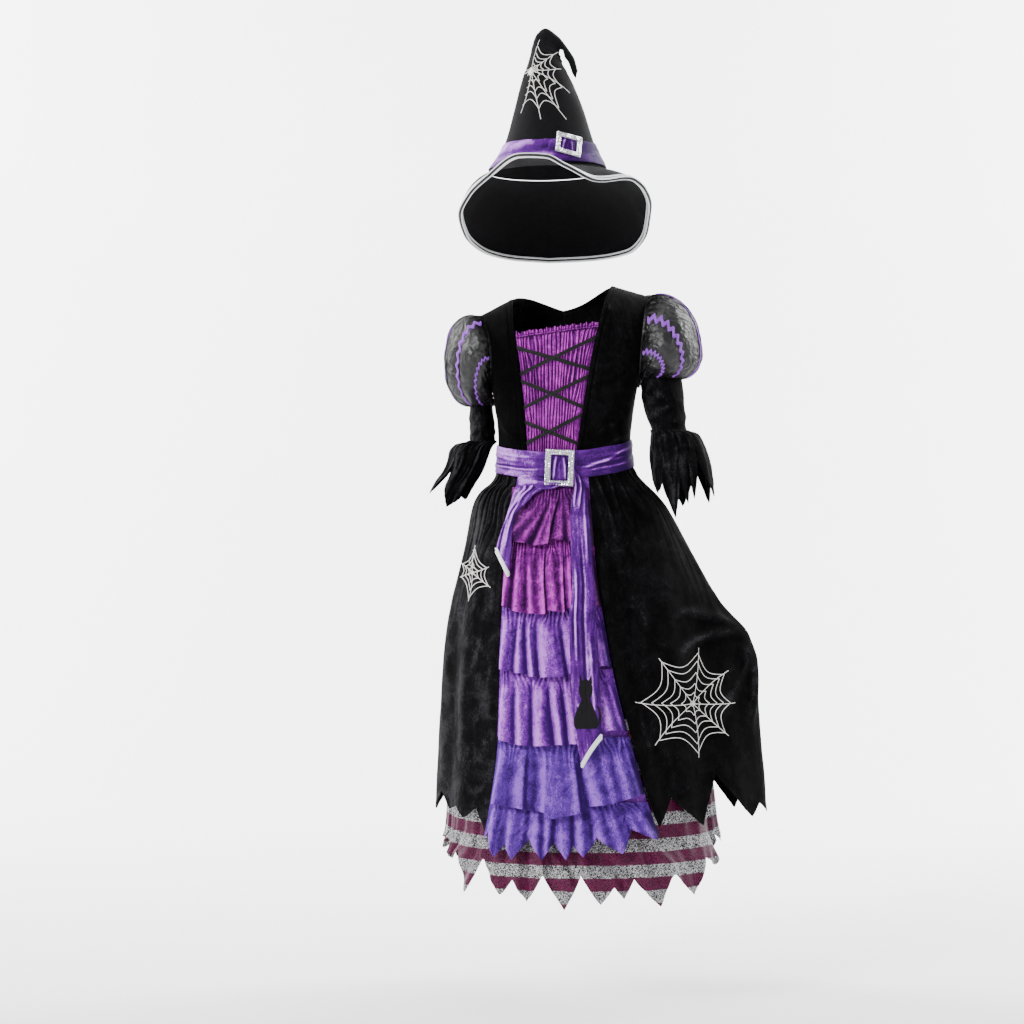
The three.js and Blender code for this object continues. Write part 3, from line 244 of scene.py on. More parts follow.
def normal(surface: Surface, a: Array, b: Array) -> Array:
    """The way out of a surface: the cross product of its two slopes, from points a small nudge apart."""
    nudge = 1e-3
    across = surface(a + nudge, b) - surface(a - nudge, b)
    along = surface(a, b + nudge) - surface(a, b - nudge)
    return unit(np.cross(across, along))


def flat(u: Array, v: Array) -> Array:
    """No height anywhere."""
    return np.zeros(np.broadcast(u, v).shape)


# Meshes.


def mesh_object(
    name: str, points: Array, faces: Array, chart: Array | None, sharp: float = 48
) -> bpy.types.Object:
    """A mesh from points in millimetres and faces of four corners.

    Args:
        name: the piece's name.
        points: the points, one row each.
        faces: the faces' corners, four to a row. A three-sided face repeats its last corner.
        chart: where each corner of each face lies on the flat cloth, in millimetres, or None.
        sharp: edges that turn by more than this many degrees are shaded as edges.

    Returns:
        The object, linked to the scene, with its faces turned outwards.
    """
    p = points[faces]
    size = np.einsum("ij,ij->", p[:, 0], np.cross(p[:, 1], p[:, 2]) + np.cross(p[:, 2], p[:, 3]))
    if size < 0:
        faces = faces[:, ::-1]
        chart = None if chart is None else chart[:, ::-1]
    mesh = bpy.data.meshes.new(name)
    three = faces[:, 2] == faces[:, 3]
    three |= faces[:, 0] == faces[:, 1]
    keep = np.ones(faces.shape, bool)
    keep[three & (faces[:, 0] == faces[:, 1]), 0] = False
    keep[three & (faces[:, 0] != faces[:, 1]), 3] = False
    corners = faces[keep]
    counts = keep.sum(1)
    mesh.vertices.add(len(points))
    mesh.vertices.foreach_set("co", (points * MM).astype(np.float32).ravel())
    mesh.loops.add(len(corners))
    mesh.loops.foreach_set("vertex_index", corners.astype(np.int32))
    mesh.polygons.add(len(faces))
    mesh.polygons.foreach_set("loop_start", np.concatenate([[0], np.cumsum(counts)[:-1]]).astype(np.int32))
    mesh.polygons.foreach_set("use_smooth", np.ones(len(faces), bool))
    if chart is not None:
        layer = mesh.uv_layers.new(name="cloth")
        layer.data.foreach_set("uv", (chart[keep] * MM).astype(np.float32).ravel())
    mesh.update(calc_edges=True)
    mesh.validate()
    mesh.set_sharp_from_angle(angle=math.radians(sharp))
    made = bpy.data.objects.new(name, mesh)
    bpy.context.scene.collection.objects.link(made)
    return made


def smoothed(height: Array, reach: int) -> Array:
    """A grid's running mean over reach places to each side along both of its axes."""
    for axis in (0, 1):
        n = min(reach, (height.shape[axis] - 1) // 2)
        padded = np.concatenate([np.repeat(height.take([0], axis), n + 1, axis), height,
                np.repeat(height.take([-1], axis), n, axis)], axis)
        total = np.cumsum(padded, axis)
        size = height.shape[axis]
        height = (total.take(range(2 * n + 1, 2 * n + 1 + size), axis) - total.take(range(size), axis)) / (2
            * n + 1)
    return height


def shell(
    name: str, outer: Array, inner: Array, chart: Array, wrap: bool, nap: Array | None = None
) -> bpy.types.Object:
    """A closed wall between two grids of points, with its rims.

    Args:
        name: the piece's name.
        outer: the outer grid, column by row.
        inner: the inner grid.
        chart: where each place of the grid lies on the flat cloth, in millimetres.
        wrap: whether the last column is the first one again.
        nap: painted light and shade at each place, from how the surface turns to a fixed light direction,
            kept as the attribute "nap".

    Returns:
        The wall's object.
    """
    columns, rows = outer.shape[:2]
    kept = columns - 1 if wrap else columns
    blocks = []

    def face(i: Sequence[Array], j: Sequence[Array], side: Sequence[int]) -> None:
        """Adds faces whose four corners are at columns i and rows j of the walls in side."""
        ci, cj, cw = (np.stack(np.broadcast_arrays(*c, i[0]), -1)[..., :4].reshape(-1, 4)
            for c in (i, j, side))
        blocks.append((ci, cj, cw))

    i, j = (g.ravel() for g in np.meshgrid(np.arange(columns - 1), np.arange(rows - 1), indexing="ij"))
    face((i, i + 1, i + 1, i), (j, j, j + 1, j + 1), (0, 0, 0, 0))
    face((i, i, i + 1, i + 1), (j, j + 1, j + 1, j), (1, 1, 1, 1))
    k = np.arange(columns - 1)
    top = rows - 1
    face((k, k, k + 1, k + 1), (0, 0, 0, 0), (0, 1, 1, 0))
    face((k, k + 1, k + 1, k), (top, top, top, top), (0, 0, 1, 1))
    if not wrap:
        m = np.arange(rows - 1)
        end = np.full(rows - 1, columns - 1)
        first = np.zeros(rows - 1, int)
        face((first, first, first, first), (m, m + 1, m + 1, m), (0, 0, 1, 1))
        face((end, end, end, end), (m, m, m + 1, m + 1), (0, 1, 1, 0))
    ci, cj, cw = (np.concatenate([b[n] for b in blocks]) for n in range(3))
    faces = cw * kept * rows + (ci % kept) * rows + cj
    points = np.concatenate([outer[:kept].reshape(-1, 3), inner[:kept].reshape(-1, 3)])
    made = mesh_object(name, points, faces, chart[ci, cj])
    if nap is not None:
        layer = made.data.attributes.new("nap", "FLOAT", "POINT")
        layer.data.foreach_set("value", np.concatenate([nap[:kept].ravel()] * 2).astype(np.float32))
    return made


@dataclass
class Panel:
    """A cloth panel on a surface, as a wall that stands on the surface's normal from lift to lift + thick.

    place(u, v) gives the surface's two parameters at each place of the grid, and chart(u, v) where that place
    lies on the flat cloth in millimetres. side is -1 where the parameters run the other way round.
    """

    name: str
    surface: Surface
    place: Place
    columns: Array
    rows: Array
    lift: Field = flat
    thick: float | Field = VELVET
    wrap: bool = False
    side: float = 1.0
    chart: Place = field(default=lambda u, v: (u * 100, v * 100))

    def build(self) -> bpy.types.Object:
        """The panel's closed mesh."""
        u, v = np.meshgrid(self.columns, self.rows, indexing="ij")
        a, b = self.place(u, v)
        here = self.surface(a, b)
        out = normal(self.surface, a, b) * self.side
        low = self.lift(u, v)[..., None]
        thick = self.thick(u, v)[..., None] if callable(self.thick) else self.thick
        chart = np.stack(np.broadcast_arrays(*self.chart(u, v)), -1)
        outer = here + out * (low + thick)
        # The attribute "nap" is painted light and shade, not the pile's own colour: a flank that turns
        # towards the fixed light direction is painted lighter and one that turns away darker, ridges lighter
        # and troughs darker, faces turned to +X darker, and all of it a little darker.
        turned = unit(np.cross(np.gradient(outer, axis=0), np.gradient(outer, axis=1))) * self.side
        height = np.broadcast_to(low[..., 0], u.shape)
        ridge = height - smoothed(height, 8)
        nap = np.einsum("ijk,k->ij", turned - out, np.array(PAINTED_LIGHT_FROM)) + 0.25 * np.clip(ridge, -1.2, 1.2)
        nap = np.clip(nap, -0.8, 0.8) - 0.45 * turned[..., 0] - 0.12
        return shell(self.name, outer, here + out * low, chart, self.wrap, nap)


def tube(
    name: str, path: Array, out: Array, section: Array, girth: float, closed: bool = False
) -> bpy.types.Object:
    """A section carried along a path, with capped ends or joined into a ring.

    Each point of the section is carried out along the path's own side and outward directions:
    path + across * side + above * out.

    Args:
        name: the piece's name.
        path: the path's points.
        out: the outward direction at each.
        section: the section's corners, as rows of across and above, or one such set for each path point.
        girth: the length round the section, for the chart.
        closed: whether the path ends where it starts.

    Returns:
        The tube's object.
    """
    ahead = np.roll(path, -1, 0) - np.roll(path, 1, 0)
    if not closed:
        ahead[0], ahead[-1] = path[1] - path[0], path[-1] - path[-2]
    ahead = unit(ahead)
    side = unit(np.cross(ahead, out))
    up = np.cross(side, ahead)
    section = np.broadcast_to(section, (len(path), *section.shape[-2:]))
    points = path[:, None] + section[..., :1] * side[:, None] + section[..., 1:] * up[:, None]
    n, m = points.shape[:2]
    spans = n if closed else n - 1
    i, k = (g.ravel() for g in np.meshgrid(np.arange(spans), np.arange(m), indexing="ij"))
    nxt, other = (i + 1) % n, (k + 1) % m
    faces = np.stack([i * m + k, nxt * m + k, nxt * m + other, i * m + other], -1)
    run = np.concatenate([[0], np.cumsum(np.linalg.norm(np.diff(path, axis=0), axis=1))])
    run = np.append(run, run[-1] + np.linalg.norm(path[0] - path[-1]))
    round_ = np.linspace(0, girth, m + 1)
    chart = np.stack(
        [np.stack([run[i], round_[k]], -1), np.stack([run[i + 1], round_[k]], -1),
         np.stack([run[i + 1], round_[k + 1]], -1), np.stack([run[i], round_[k + 1]], -1)], 1,
    )
    flat_points = points.reshape(-1, 3)
    if not closed:
        middle = np.stack([points[0].mean(0), points[-1].mean(0)])
        flat_points = np.concatenate([flat_points, middle])
        a, z = n * m, n * m + 1
        k = np.arange(m)
        o = (k + 1) % m
        start = np.stack([np.full(m, a), k, o, o], -1)[:, [0, 1, 2, 3]]
        end = np.stack([np.full(m, z), (n - 1) * m + o, (n - 1) * m + k, (n - 1) * m + k], -1)
        faces = np.concatenate([faces, start, end])
        chart = np.concatenate([chart, np.zeros((2 * m, 4, 2))])
    return mesh_object(name, flat_points, faces, chart)


def joined(name: str, parts: Sequence[bpy.types.Object]) -> bpy.types.Object:
    """One object from several, under a new name."""
    with bpy.context.temp_override(
        object=parts[0], active_object=parts[0], selected_objects=list(parts),
        selected_editable_objects=list(parts)
    ):
        bpy.ops.object.join()
    parts[0].name = name
    parts[0].data.name = name
    return parts[0]


def circle(radius: float, sides: int, squash: float = 1.0, base: float = 0.0) -> Array:
    """A round section, squashed in height and stood on base."""
    turn = 2 * np.pi * np.arange(sides) / sides
    return np.stack([radius * np.cos(turn), radius * squash * np.sin(turn) + base], -1)


# The worn form, which every piece of the dress lies on.

SQUARENESS = 0.05
FORM = Table(
    "right left front back pull",
    [
        (60, 132, 132, 84, 76, 0), (-30, 131, 131, 87, 80, 0), (-90, 119, 120, 92, 84, 0),
        (-130, 108, 109, 92, 82, 0), (-180, 99, 101, 86, 77, 0), (-215, 97, 98, 79, 74, 0),
        (-245, 98, 101, 78, 75, 0), (-262, 100, 107, 79, 77, 0), (-275, 107, 118, 81.5, 81, 0),
        (-290, 125, 134, 89, 91, 0), (-310, 135, 149, 99, 102, 2), (-350, 142, 166, 117, 118, 8),
        (-400, 153, 181, 135, 130, 20), (-450, 164, 193, 148, 140, 38), (-505, 172, 202, 160, 150, 74),
        (-560, 176, 212, 170, 158, 74), (-620, 178, 219, 180, 165, 72), (-700, 180, 228, 190, 173, 68),
        (-770, 182, 234, 198, 180, 66), (-830, 188, 244, 207, 187, 66), (-900, 191, 247, 212, 191, 66),
    ],
)
LAPEL = Table(
    "right left",
    [(-246, -56, 15), (-218, -57, 18.6), (-107, -67, 36), (-37, -76, 51), (0, -77, 66), (20, -76, 76)],
)
GORE = Table(
    "right left",
    [
        (-245, -67, 32), (-262, -70, 34), (-345, -78, 40), (-400, -82, 44), (-466, -86, 53), (-554, -91, 68),
        (-650, -95, 92), (-742, -107, 118), (-800, -118, 140),
    ],
)
ARMHOLE = Table("angle", [(0, 90), (0.08, 76), (0.3, 63), (0.6, 58), (0.85, 64), (1, 79)])
SHOULDER_PEAK = 39.0
SHOULDER_SLOPE = {LEFT: 0.278, RIGHT: 0.514}
SHOULDER_TIP = 129.0
NECK_POINT = 76.0
BACK_NECK = -10.0
FRONT_ROLL = 60.0
BACK_ROLL = 50.0
EDGE = {LEFT: "left", RIGHT: "right"}


def form_point(phi: Array, z: Array) -> Array:
    """The form at the turn phi from the front towards the wearer's left, at height z.

    Each ring is an ellipse, x = middle + half width * sin and y = -depth * cos, with bulging diagonals.
    """
    right, left = FORM("right", z), FORM("left", z)
    depth = np.where(np.cos(phi) > 0, FORM("front", z), FORM("back", z))
    swell = 1 + SQUARENESS * np.sin(2 * phi) ** 2
    return xyz((left - right) / 2 + (left + right) / 2 * swell * np.sin(phi), -depth * swell * np.cos(phi), z)


def front_angle(x: Array, z: Array, lift: Array | float = 0.0) -> Array:
    """The turn on the front where what lies lift off the form is at x, found in eight rounds."""
    right, left = FORM("right", z), FORM("left", z)
    phi = np.zeros(np.broadcast(x, z).shape)
    for _ in range(8):
        swell = 1 + SQUARENESS * np.sin(2 * phi) ** 2
        phi = np.arcsin(np.clip((x - (left - right) / 2) / ((left + right) / 2 * swell + lift), -1, 1))
    return phi


def shoulder(x: Array) -> Array:
    """The height of the shoulder line over x."""
    return SHOULDER_PEAK - np.abs(x) * np.where(np.asarray(x) > 0, SHOULDER_SLOPE[LEFT],
        SHOULDER_SLOPE[RIGHT])


def bodice_point(phi: Array, s: Array) -> Array:
    """The bodice's surface: the form, which rolls over at the shoulder line as a quarter ellipse."""
    p = form_point(phi, s)
    top = shoulder(p[..., 0])
    roll = np.where(np.cos(phi) > 0, FRONT_ROLL, BACK_ROLL)
    over = np.maximum(s - top + roll, 0) / roll * np.pi / 2
    z = np.where(over > 0, top - roll + roll * np.sin(over), s)
    return xyz(p[..., 0], p[..., 1] * np.cos(over), z)


def armhole_angle(side: int, s: Array) -> Array:
    """The armhole's edge at height s, as a turn from the front."""
    tip = shoulder(side * SHOULDER_TIP)
    share = (s - ARMPIT) / (tip - ARMPIT)
    return np.radians(np.where(share <= 0, 90.0, ARMHOLE("angle", share)))


def lapel(side: int, z: Array) -> Array:
    """The front edge of a black front at height z, as x."""
    return LAPEL(EDGE[side], z)


def gore_angle(side: int, z: Array) -> Array:
    """The gore's edge at height z, as a turn."""
    return front_angle(GORE(EDGE[side], z), z)


def seam_angle(z: Array) -> Array:
    """Half a seam's gap as a turn."""
    return SEAM / 2 / FORM("front", z)


# Finishes.


class Graph:
    """A node tree that is filled by name."""

    def __init__(self, tree: bpy.types.NodeTree) -> None:
        """Keeps the tree."""
        self.tree = tree

    def add(self, kind: str, settings: dict | None = None, **inputs: object) -> bpy.types.Node:
        """Adds a node.

        Args:
            kind: the node's type.
            settings: properties to set on it.
            inputs: its inputs, by name with _ for a space, or by i and a number. A socket is linked, and
                anything else is set as the value.

        Returns:
            The node.
        """
        node = self.tree.nodes.new(kind)
        for key, value in (settings or {}).items():
            setattr(node, key, value)
        for key, value in inputs.items():
            at = int(key[1:]) if key[0] == "i" and key[1:].isdigit() else key.replace("_", " ")
            if isinstance(value, bpy.types.NodeSocket):
                self.tree.links.new(value, node.inputs[at])
            else:
                node.inputs[at].default_value = value
        return node

    def math(self, operation: str, *values: object, clamp: bool = False) -> bpy.types.NodeSocket:
        """A math node's result."""
        inputs = {f"i{n}": value for n, value in enumerate(values)}
        return self.add("ShaderNodeMath", {"operation": operation, "use_clamp": clamp}, **inputs).outputs[0]

    def blend(self, share: object, a: object, b: object, how: str = "MIX") -> bpy.types.NodeSocket:
        """A colour from a to b by share."""
        settings = {"data_type": "RGBA", "blend_type": how}
        node = self.add("ShaderNodeMix", settings)
        for at, value in ((0, share), (6, a), (7, b)):
            if isinstance(value, bpy.types.NodeSocket):
                self.tree.links.new(value, node.inputs[at])
            else:
                node.inputs[at].default_value = value if at == 0 else (*value, 1)
        return node.outputs[2]

    def ramp(self, value: object, low: object, high: object) -> bpy.types.NodeSocket:
        """0 below low, 1 above high, and an ease between them."""
        settings = {"interpolation_type": "SMOOTHSTEP"}
        return self.add("ShaderNodeMapRange", settings, i0=value, i1=low, i2=high).outputs[0]

    def noise(
        self, vector: object, scale: object, detail: float = 2, rough: float = 0.5, warp: float = 0
    ) -> object:
        """A noise texture's value."""
        inputs = {"Vector": vector, "Scale": scale, "Detail": detail, "Roughness": rough, "Distortion": warp}
        return self.add("ShaderNodeTexNoise", None, **inputs).outputs[0]

    def coordinates(self, output: str) -> bpy.types.NodeSocket:
        """Where the surface is: Object for its place, UV for its place on the flat cloth."""
        return self.add("ShaderNodeTexCoord").outputs[output]

    def stretched(self, vector: object, scale: tuple[float, float, float]) -> bpy.types.NodeSocket:
        """The place with each direction scaled."""
        return self.add("ShaderNodeMapping", None, i0=vector, i3=scale).outputs[0]


def group(
    name: str, inputs: dict[str, object], outputs: dict[str, str]
) -> tuple[bpy.types.NodeTree, Graph, object]:
    """A new shader node group.

    Args:
        name: the group's name.
        inputs: each input's name and plain value, a number or a colour.
        outputs: each output's name and socket type.

    Returns:
        The tree, its graph and its input node's sockets.
    """
    tree = bpy.data.node_groups.new(name, "ShaderNodeTree")
    for key, value in inputs.items():
        kind = "NodeSocketFloat" if isinstance(value, (int, float)) else "NodeSocketColor"
        socket = tree.interface.new_socket(key, in_out="INPUT", socket_type=kind)
        socket.default_value = value if isinstance(value, (int, float)) else (*value, 1)
    for key, kind in outputs.items():
        tree.interface.new_socket(key, in_out="OUTPUT", socket_type=kind)
    return tree, Graph(tree), tree.nodes.new("NodeGroupInput").outputs


def close_group(graph: Graph, **results: bpy.types.NodeSocket) -> None:
    """Links the group's results to its outputs."""
    graph.add("NodeGroupOutput", None, **results)


COLOUR, NUMBER, DIRECTION = "NodeSocketColor", "NodeSocketFloat", "NodeSocketVector"


def crushed_pile() -> bpy.types.NodeTree:
    """Crushed velvet: patches and flecks of pile that lean different ways, some catching the light.

    The lean is a blend of broad noise and finer noise drawn out downwards, to which the attribute "nap" adds
    painted light and shade at the weight of its own input. Its low parts take the deep colour and its high
    parts the light one, and it also lifts the surface a little.
    """
    tree, g, given = group(
        "crushed_pile",
        {"Deep": (0, 0, 0), "Middle": (0.1, 0.1, 0.1), "Light": (0.5, 0.5, 0.5), "Patches": 70.0,
            "Flecks": 380.0,
         "Fleck Share": 0.5, "Contrast": 1.0, "Rough": 0.6, "Nap": 0.5, "Folds": 0.4},
        {"Color": COLOUR, "Roughness": NUMBER, "Normal": DIRECTION},
    )
    place = g.coordinates("Object")
    broad = g.noise(place, given["Patches"], 5, 0.6, 0.9)
    fleck = g.noise(g.stretched(place, (1, 1, 0.5)), given["Flecks"], 3, 0.72, 1.6)
    fibre = g.noise(place, 2600, 2, 0.6)
    lean = g.math("ADD", g.math("MULTIPLY", broad, g.math("SUBTRACT", 1.0, given["Fleck Share"])),
                  g.math("MULTIPLY", fleck, given["Fleck Share"]))
    lean = g.math("ADD", g.math("MULTIPLY", g.math("SUBTRACT", lean, 0.5), given["Contrast"]), 0.5)
    # Painted light and shade: the attribute "nap", from how each place turns to a fixed light direction,
    # lightens or darkens the colour.
    nap = g.add("ShaderNodeAttribute", {"attribute_name": "nap"}).outputs["Fac"]
    lean = g.math("MULTIPLY_ADD", nap, given["Folds"], lean)
    colour = g.blend(g.ramp(lean, 0.25, 0.5), given["Deep"], given["Middle"])
    colour = g.blend(g.ramp(lean, 0.5, 0.8), colour, given["Light"])
    shade = g.math("MULTIPLY_ADD", fibre, 0.5, 0.75)
    colour = g.blend(1.0, colour,
        g.add("ShaderNodeCombineColor", None, i0=shade, i1=shade, i2=shade).outputs[0], "MULTIPLY")
    rough = g.math("MULTIPLY_ADD", lean, -0.3, g.math("ADD", given["Rough"], 0.15), clamp=True)
    height = g.math("MULTIPLY_ADD", fibre, 0.25, lean)
    bump = g.add("ShaderNodeBump", None, Strength=given["Nap"], Distance=0.0012, Height=height)
    close_group(g, Color=colour, Roughness=rough, Normal=bump.outputs[0])
    return tree


def thread_grain() -> bpy.types.NodeTree:
    """Woven or twisted threads on the cloth's chart: two crossing waves, or one where Slant isn't 0."""
    tree, g, given = group(
        "thread_grain",
        {"Base": (0.1, 0.1, 0.1), "Pale": (0.2, 0.2, 0.2), "Threads": 1200.0, "Slant": 0.0, "Height": 0.4},
        {"Color": COLOUR, "Height": NUMBER, "Normal": DIRECTION},
    )
    parts = g.add("ShaderNodeSeparateXYZ", None, i0=g.coordinates("UV")).outputs
    turn = g.math("MULTIPLY", given["Threads"], 2 * math.pi)
    across = g.math("MULTIPLY", g.math("MULTIPLY_ADD", parts[1], given["Slant"], parts[0]), turn)
    along = g.math("MULTIPLY", parts[1], turn)
    crossing = g.math("MULTIPLY", g.math("SINE", across), g.math("SINE", along))
    slanted = g.math("SINE", across)
    wave = g.math("ADD", g.math("MULTIPLY", crossing, g.math("LESS_THAN", given["Slant"], 0.01)),
                  g.math("MULTIPLY", slanted, g.math("GREATER_THAN", given["Slant"], 0.01)))
    height = g.math("MULTIPLY_ADD", wave, 0.5, 0.5)
    uneven = g.noise(g.coordinates("Object"), 160, 4, 0.6)
    share = g.math("MULTIPLY", height, uneven)
    bump = g.add("ShaderNodeBump", None, Strength=given["Height"], Distance=0.0004, Height=height)
    colour = g.blend(share, given["Base"], given["Pale"])
    close_group(g, Color=colour, Height=height, Normal=bump.outputs[0])
    return tree


GROUPS = {"pile": crushed_pile(), "thread": thread_grain()}


def new_material(name: str, **sockets: object) -> tuple[bpy.types.Material, Graph, bpy.types.Node]:
    """A material with a Principled shader, whose plain sockets are set from sockets."""
    material = bpy.data.materials.new(name)
    material.use_nodes = True
    graph = Graph(material.node_tree)
    shader = material.node_tree.nodes["Principled BSDF"]
    for key, value in sockets.items():
        shader.inputs[key.replace("_", " ")].default_value = value
    return material, graph, shader


def link(graph: Graph, source: bpy.types.NodeSocket, node: bpy.types.Node, name: str) -> None:
    """Links a result to a node's input."""
    graph.tree.links.new(source, node.inputs[name])


@dataclass(frozen=True)
class CrushedVelvet:
    """Velvet with a crushed pile, and light and shade painted on by how its surface turns."""

    name: str
    deep: Colour
    middle: Colour
    light: Colour
    patches: float = 70.0
    flecks: float = 380.0
    fleck_share: float = 0.5
    contrast: float = 2.2
    rough: float = 0.6
    nap: float = 0.5
    sheen: float = 0.03
    sheen_tint: Colour = (1, 1, 1)
    specular: float = 0.08
    # folds: how strongly the painted light and shade of the attribute "nap" colours the velvet
    folds: float = 0.45

    def material(self) -> bpy.types.Material:
        """The finish as a material."""
        material, g, shader = new_material(
            self.name, Sheen_Weight=self.sheen, Sheen_Roughness=0.35, Sheen_Tint=(*self.sheen_tint, 1),
            Specular_IOR_Level=self.specular,
        )
        pile = g.add(
            "ShaderNodeGroup", {"node_tree": GROUPS["pile"]}, Deep=(*self.deep, 1), Middle=(*self.middle, 1),
            Light=(*self.light, 1), Patches=self.patches, Flecks=self.flecks, Fleck_Share=self.fleck_share,
            Contrast=self.contrast, Rough=self.rough, Nap=self.nap, Folds=self.folds,
        )
        link(g, pile.outputs["Color"], shader, "Base Color")
        link(g, pile.outputs["Roughness"], shader, "Roughness")
        link(g, pile.outputs["Normal"], shader, "Normal")
        return material


@dataclass(frozen=True)
class Satin:
    """Black satin with a fine crumple and the sheen of its long threads."""

    name: str
    base: Colour
    # pale: the painted highlight's colour on the crumple's raised parts
    pale: Colour
    rough: float = 0.4

    def material(self) -> bpy.types.Material:
        """The finish as a material. Its crumple is noise drawn out and warped, over the finer threads, and
        the crumple's raised parts take the pale colour as a painted highlight.
        """
        material, g, shader = new_material(self.name, Specular_IOR_Level=0.12)
        place = g.coordinates("Object")
        folds = g.noise(place, 42, 3, 0.55, 1.8)
        fine = g.noise(g.stretched(place, (1, 1, 0.15)), 1400, 2, 0.6)
        height = g.math("MULTIPLY_ADD", fine, 0.03, folds)
        bump = g.add("ShaderNodeBump", None, Strength=0.7, Distance=0.005, Height=height)
        link(g, bump.outputs[0], shader, "Normal")
        # Painted highlight: the crumple's raised parts are painted with the pale colour.
        link(g, g.blend(g.ramp(folds, 0.35, 0.7), self.base, self.pale), shader, "Base Color")
        link(g, g.math("MULTIPLY_ADD", fine, 0.2, self.rough - 0.1), shader, "Roughness")
        rim = g.add("ShaderNodeLayerWeight", None, Blend=0.5).outputs["Facing"]
        link(g, g.math("MULTIPLY", g.ramp(rim, 0.75, 0.15), 0.4), shader, "Specular IOR Level")
        return material


@dataclass(frozen=True)
class Woven:
    """Plain thread, ribbon, braid or woven cloth, with its threads on the cloth's chart."""

    name: str
    base: Colour
    pale: Colour
    threads: float
    slant: float = 0.0
    height: float = 0.4
    rough: float = 0.7
    metal: float = 0.0
    sheen: float = 0.03

    def material(self) -> bpy.types.Material:
        """The finish as a material."""
        material, g, shader = new_material(
            self.name, Metallic=self.metal, Sheen_Weight=self.sheen, Sheen_Roughness=0.5,
            Specular_IOR_Level=0.08
        )
        grain = g.add(
            "ShaderNodeGroup", {"node_tree": GROUPS["thread"]}, Base=(*self.base, 1), Pale=(*self.pale, 1),
            Threads=self.threads, Slant=self.slant, Height=self.height,
        )
        link(g, grain.outputs["Color"], shader, "Base Color")
        link(g, grain.outputs["Normal"], shader, "Normal")
        link(g, g.math("MULTIPLY_ADD", grain.outputs["Height"], -0.15, self.rough + 0.07), shader,
            "Roughness")
        return material


@dataclass(frozen=True)
class GlitterNet:
    """Thin net in level stripes of dark red and of silver glitter, a little see-through."""

    name: str
    red: Colour = (0.06, 0.0006, 0.024)
    dark: Colour = (0.004, 0.003, 0.004)
    silver: Colour = (0.45, 0.44, 0.45)
    stripe: float = 0.018

    def material(self) -> bpy.types.Material:
        """The finish as a material: stripes along the cloth's chart, with glinting grains of noise."""
        material, g, shader = new_material(self.name, Specular_IOR_Level=0.15)
        parts = g.add("ShaderNodeSeparateXYZ", None, i0=g.coordinates("UV")).outputs
        wobble = g.noise(g.coordinates("UV"), 90, 2)
        level = g.math("MULTIPLY_ADD", wobble, 0.003, parts[1])
        turn = g.math("SINE", g.math("MULTIPLY", level, math.pi / self.stripe))
        silver = g.ramp(turn, -0.12, 0.12)
        grain = g.add("ShaderNodeTexVoronoi", {"feature": "F1"}, Vector=g.coordinates("Object"), Scale=1050.0)
        glint = g.add("ShaderNodeSeparateColor", None, i0=grain.outputs["Color"]).outputs
        bright = g.ramp(glint[0], 0.35, 0.75)
        soft = g.noise(g.coordinates("Object"), 300, 3, 0.7)
        pale = g.blend(g.math("MULTIPLY", bright, g.ramp(soft, 0.2, 0.6)), self.dark, self.silver)
        red = g.blend(g.ramp(glint[1], 0.3, 0.9), tuple(c * 0.4 for c in self.red),
            tuple(c * 1.5 for c in self.red))
        link(g, g.blend(silver, red, pale), shader, "Base Color")
        link(g, g.math("MULTIPLY", g.math("MULTIPLY", bright, silver), 0.65), shader, "Metallic")
        link(g, g.math("MULTIPLY_ADD", glint[2], 0.3, 0.3), shader, "Roughness")
        bump = g.add("ShaderNodeBump", None, Strength=0.5, Distance=0.0006, Height=grain.outputs["Distance"])
        link(g, bump.outputs[0], shader, "Normal")
        link(g, g.math("MULTIPLY_ADD", g.ramp(glint[1], 0.25, 0.4), 0.08, 0.92), shader, "Alpha")
        return material


@dataclass(frozen=True)
class Plate:
    """Silvered metal with fine scuffs, for the buckles and their stones."""

    name: str
    colour: Colour
    rough: float = 0.2
    metal: float = 1.0
    coat: float = 0.0

    def material(self) -> bpy.types.Material:
        """The finish as a material."""
        material, g, shader = new_material(self.name, Metallic=self.metal, Coat_Weight=self.coat)
        place = g.coordinates("Object")
        scuff = g.noise(g.stretched(place, (1, 1, 4)), 900, 3, 0.6)
        tone = g.noise(place, 330, 2)
        dull = tuple(c * 0.72 for c in self.colour)
        link(g, g.blend(tone, dull, self.colour), shader, "Base Color")
        link(g, g.math("MULTIPLY_ADD", scuff, 0.25, self.rough - 0.08, clamp=True), shader, "Roughness")
        bump = g.add("ShaderNodeBump", None, Strength=0.15, Distance=0.0002, Height=scuff)
        link(g, bump.outputs[0], shader, "Normal")
        return material


@dataclass(frozen=True)
class Backdrop:
    """Pale matt studio paper."""

    name: str = "studio_paper"
    colour: Colour = (0.93, 0.93, 0.93)

    def material(self) -> bpy.types.Material:
        """The finish as a material, with a faint mottle."""
        material, g, shader = new_material(self.name, Roughness=0.9)
        tone = g.noise(g.coordinates("Object"), 3, 3)
        link(g, g.blend(tone, tuple(c * 0.97 for c in self.colour), self.colour), shader, "Base Color")
        return material


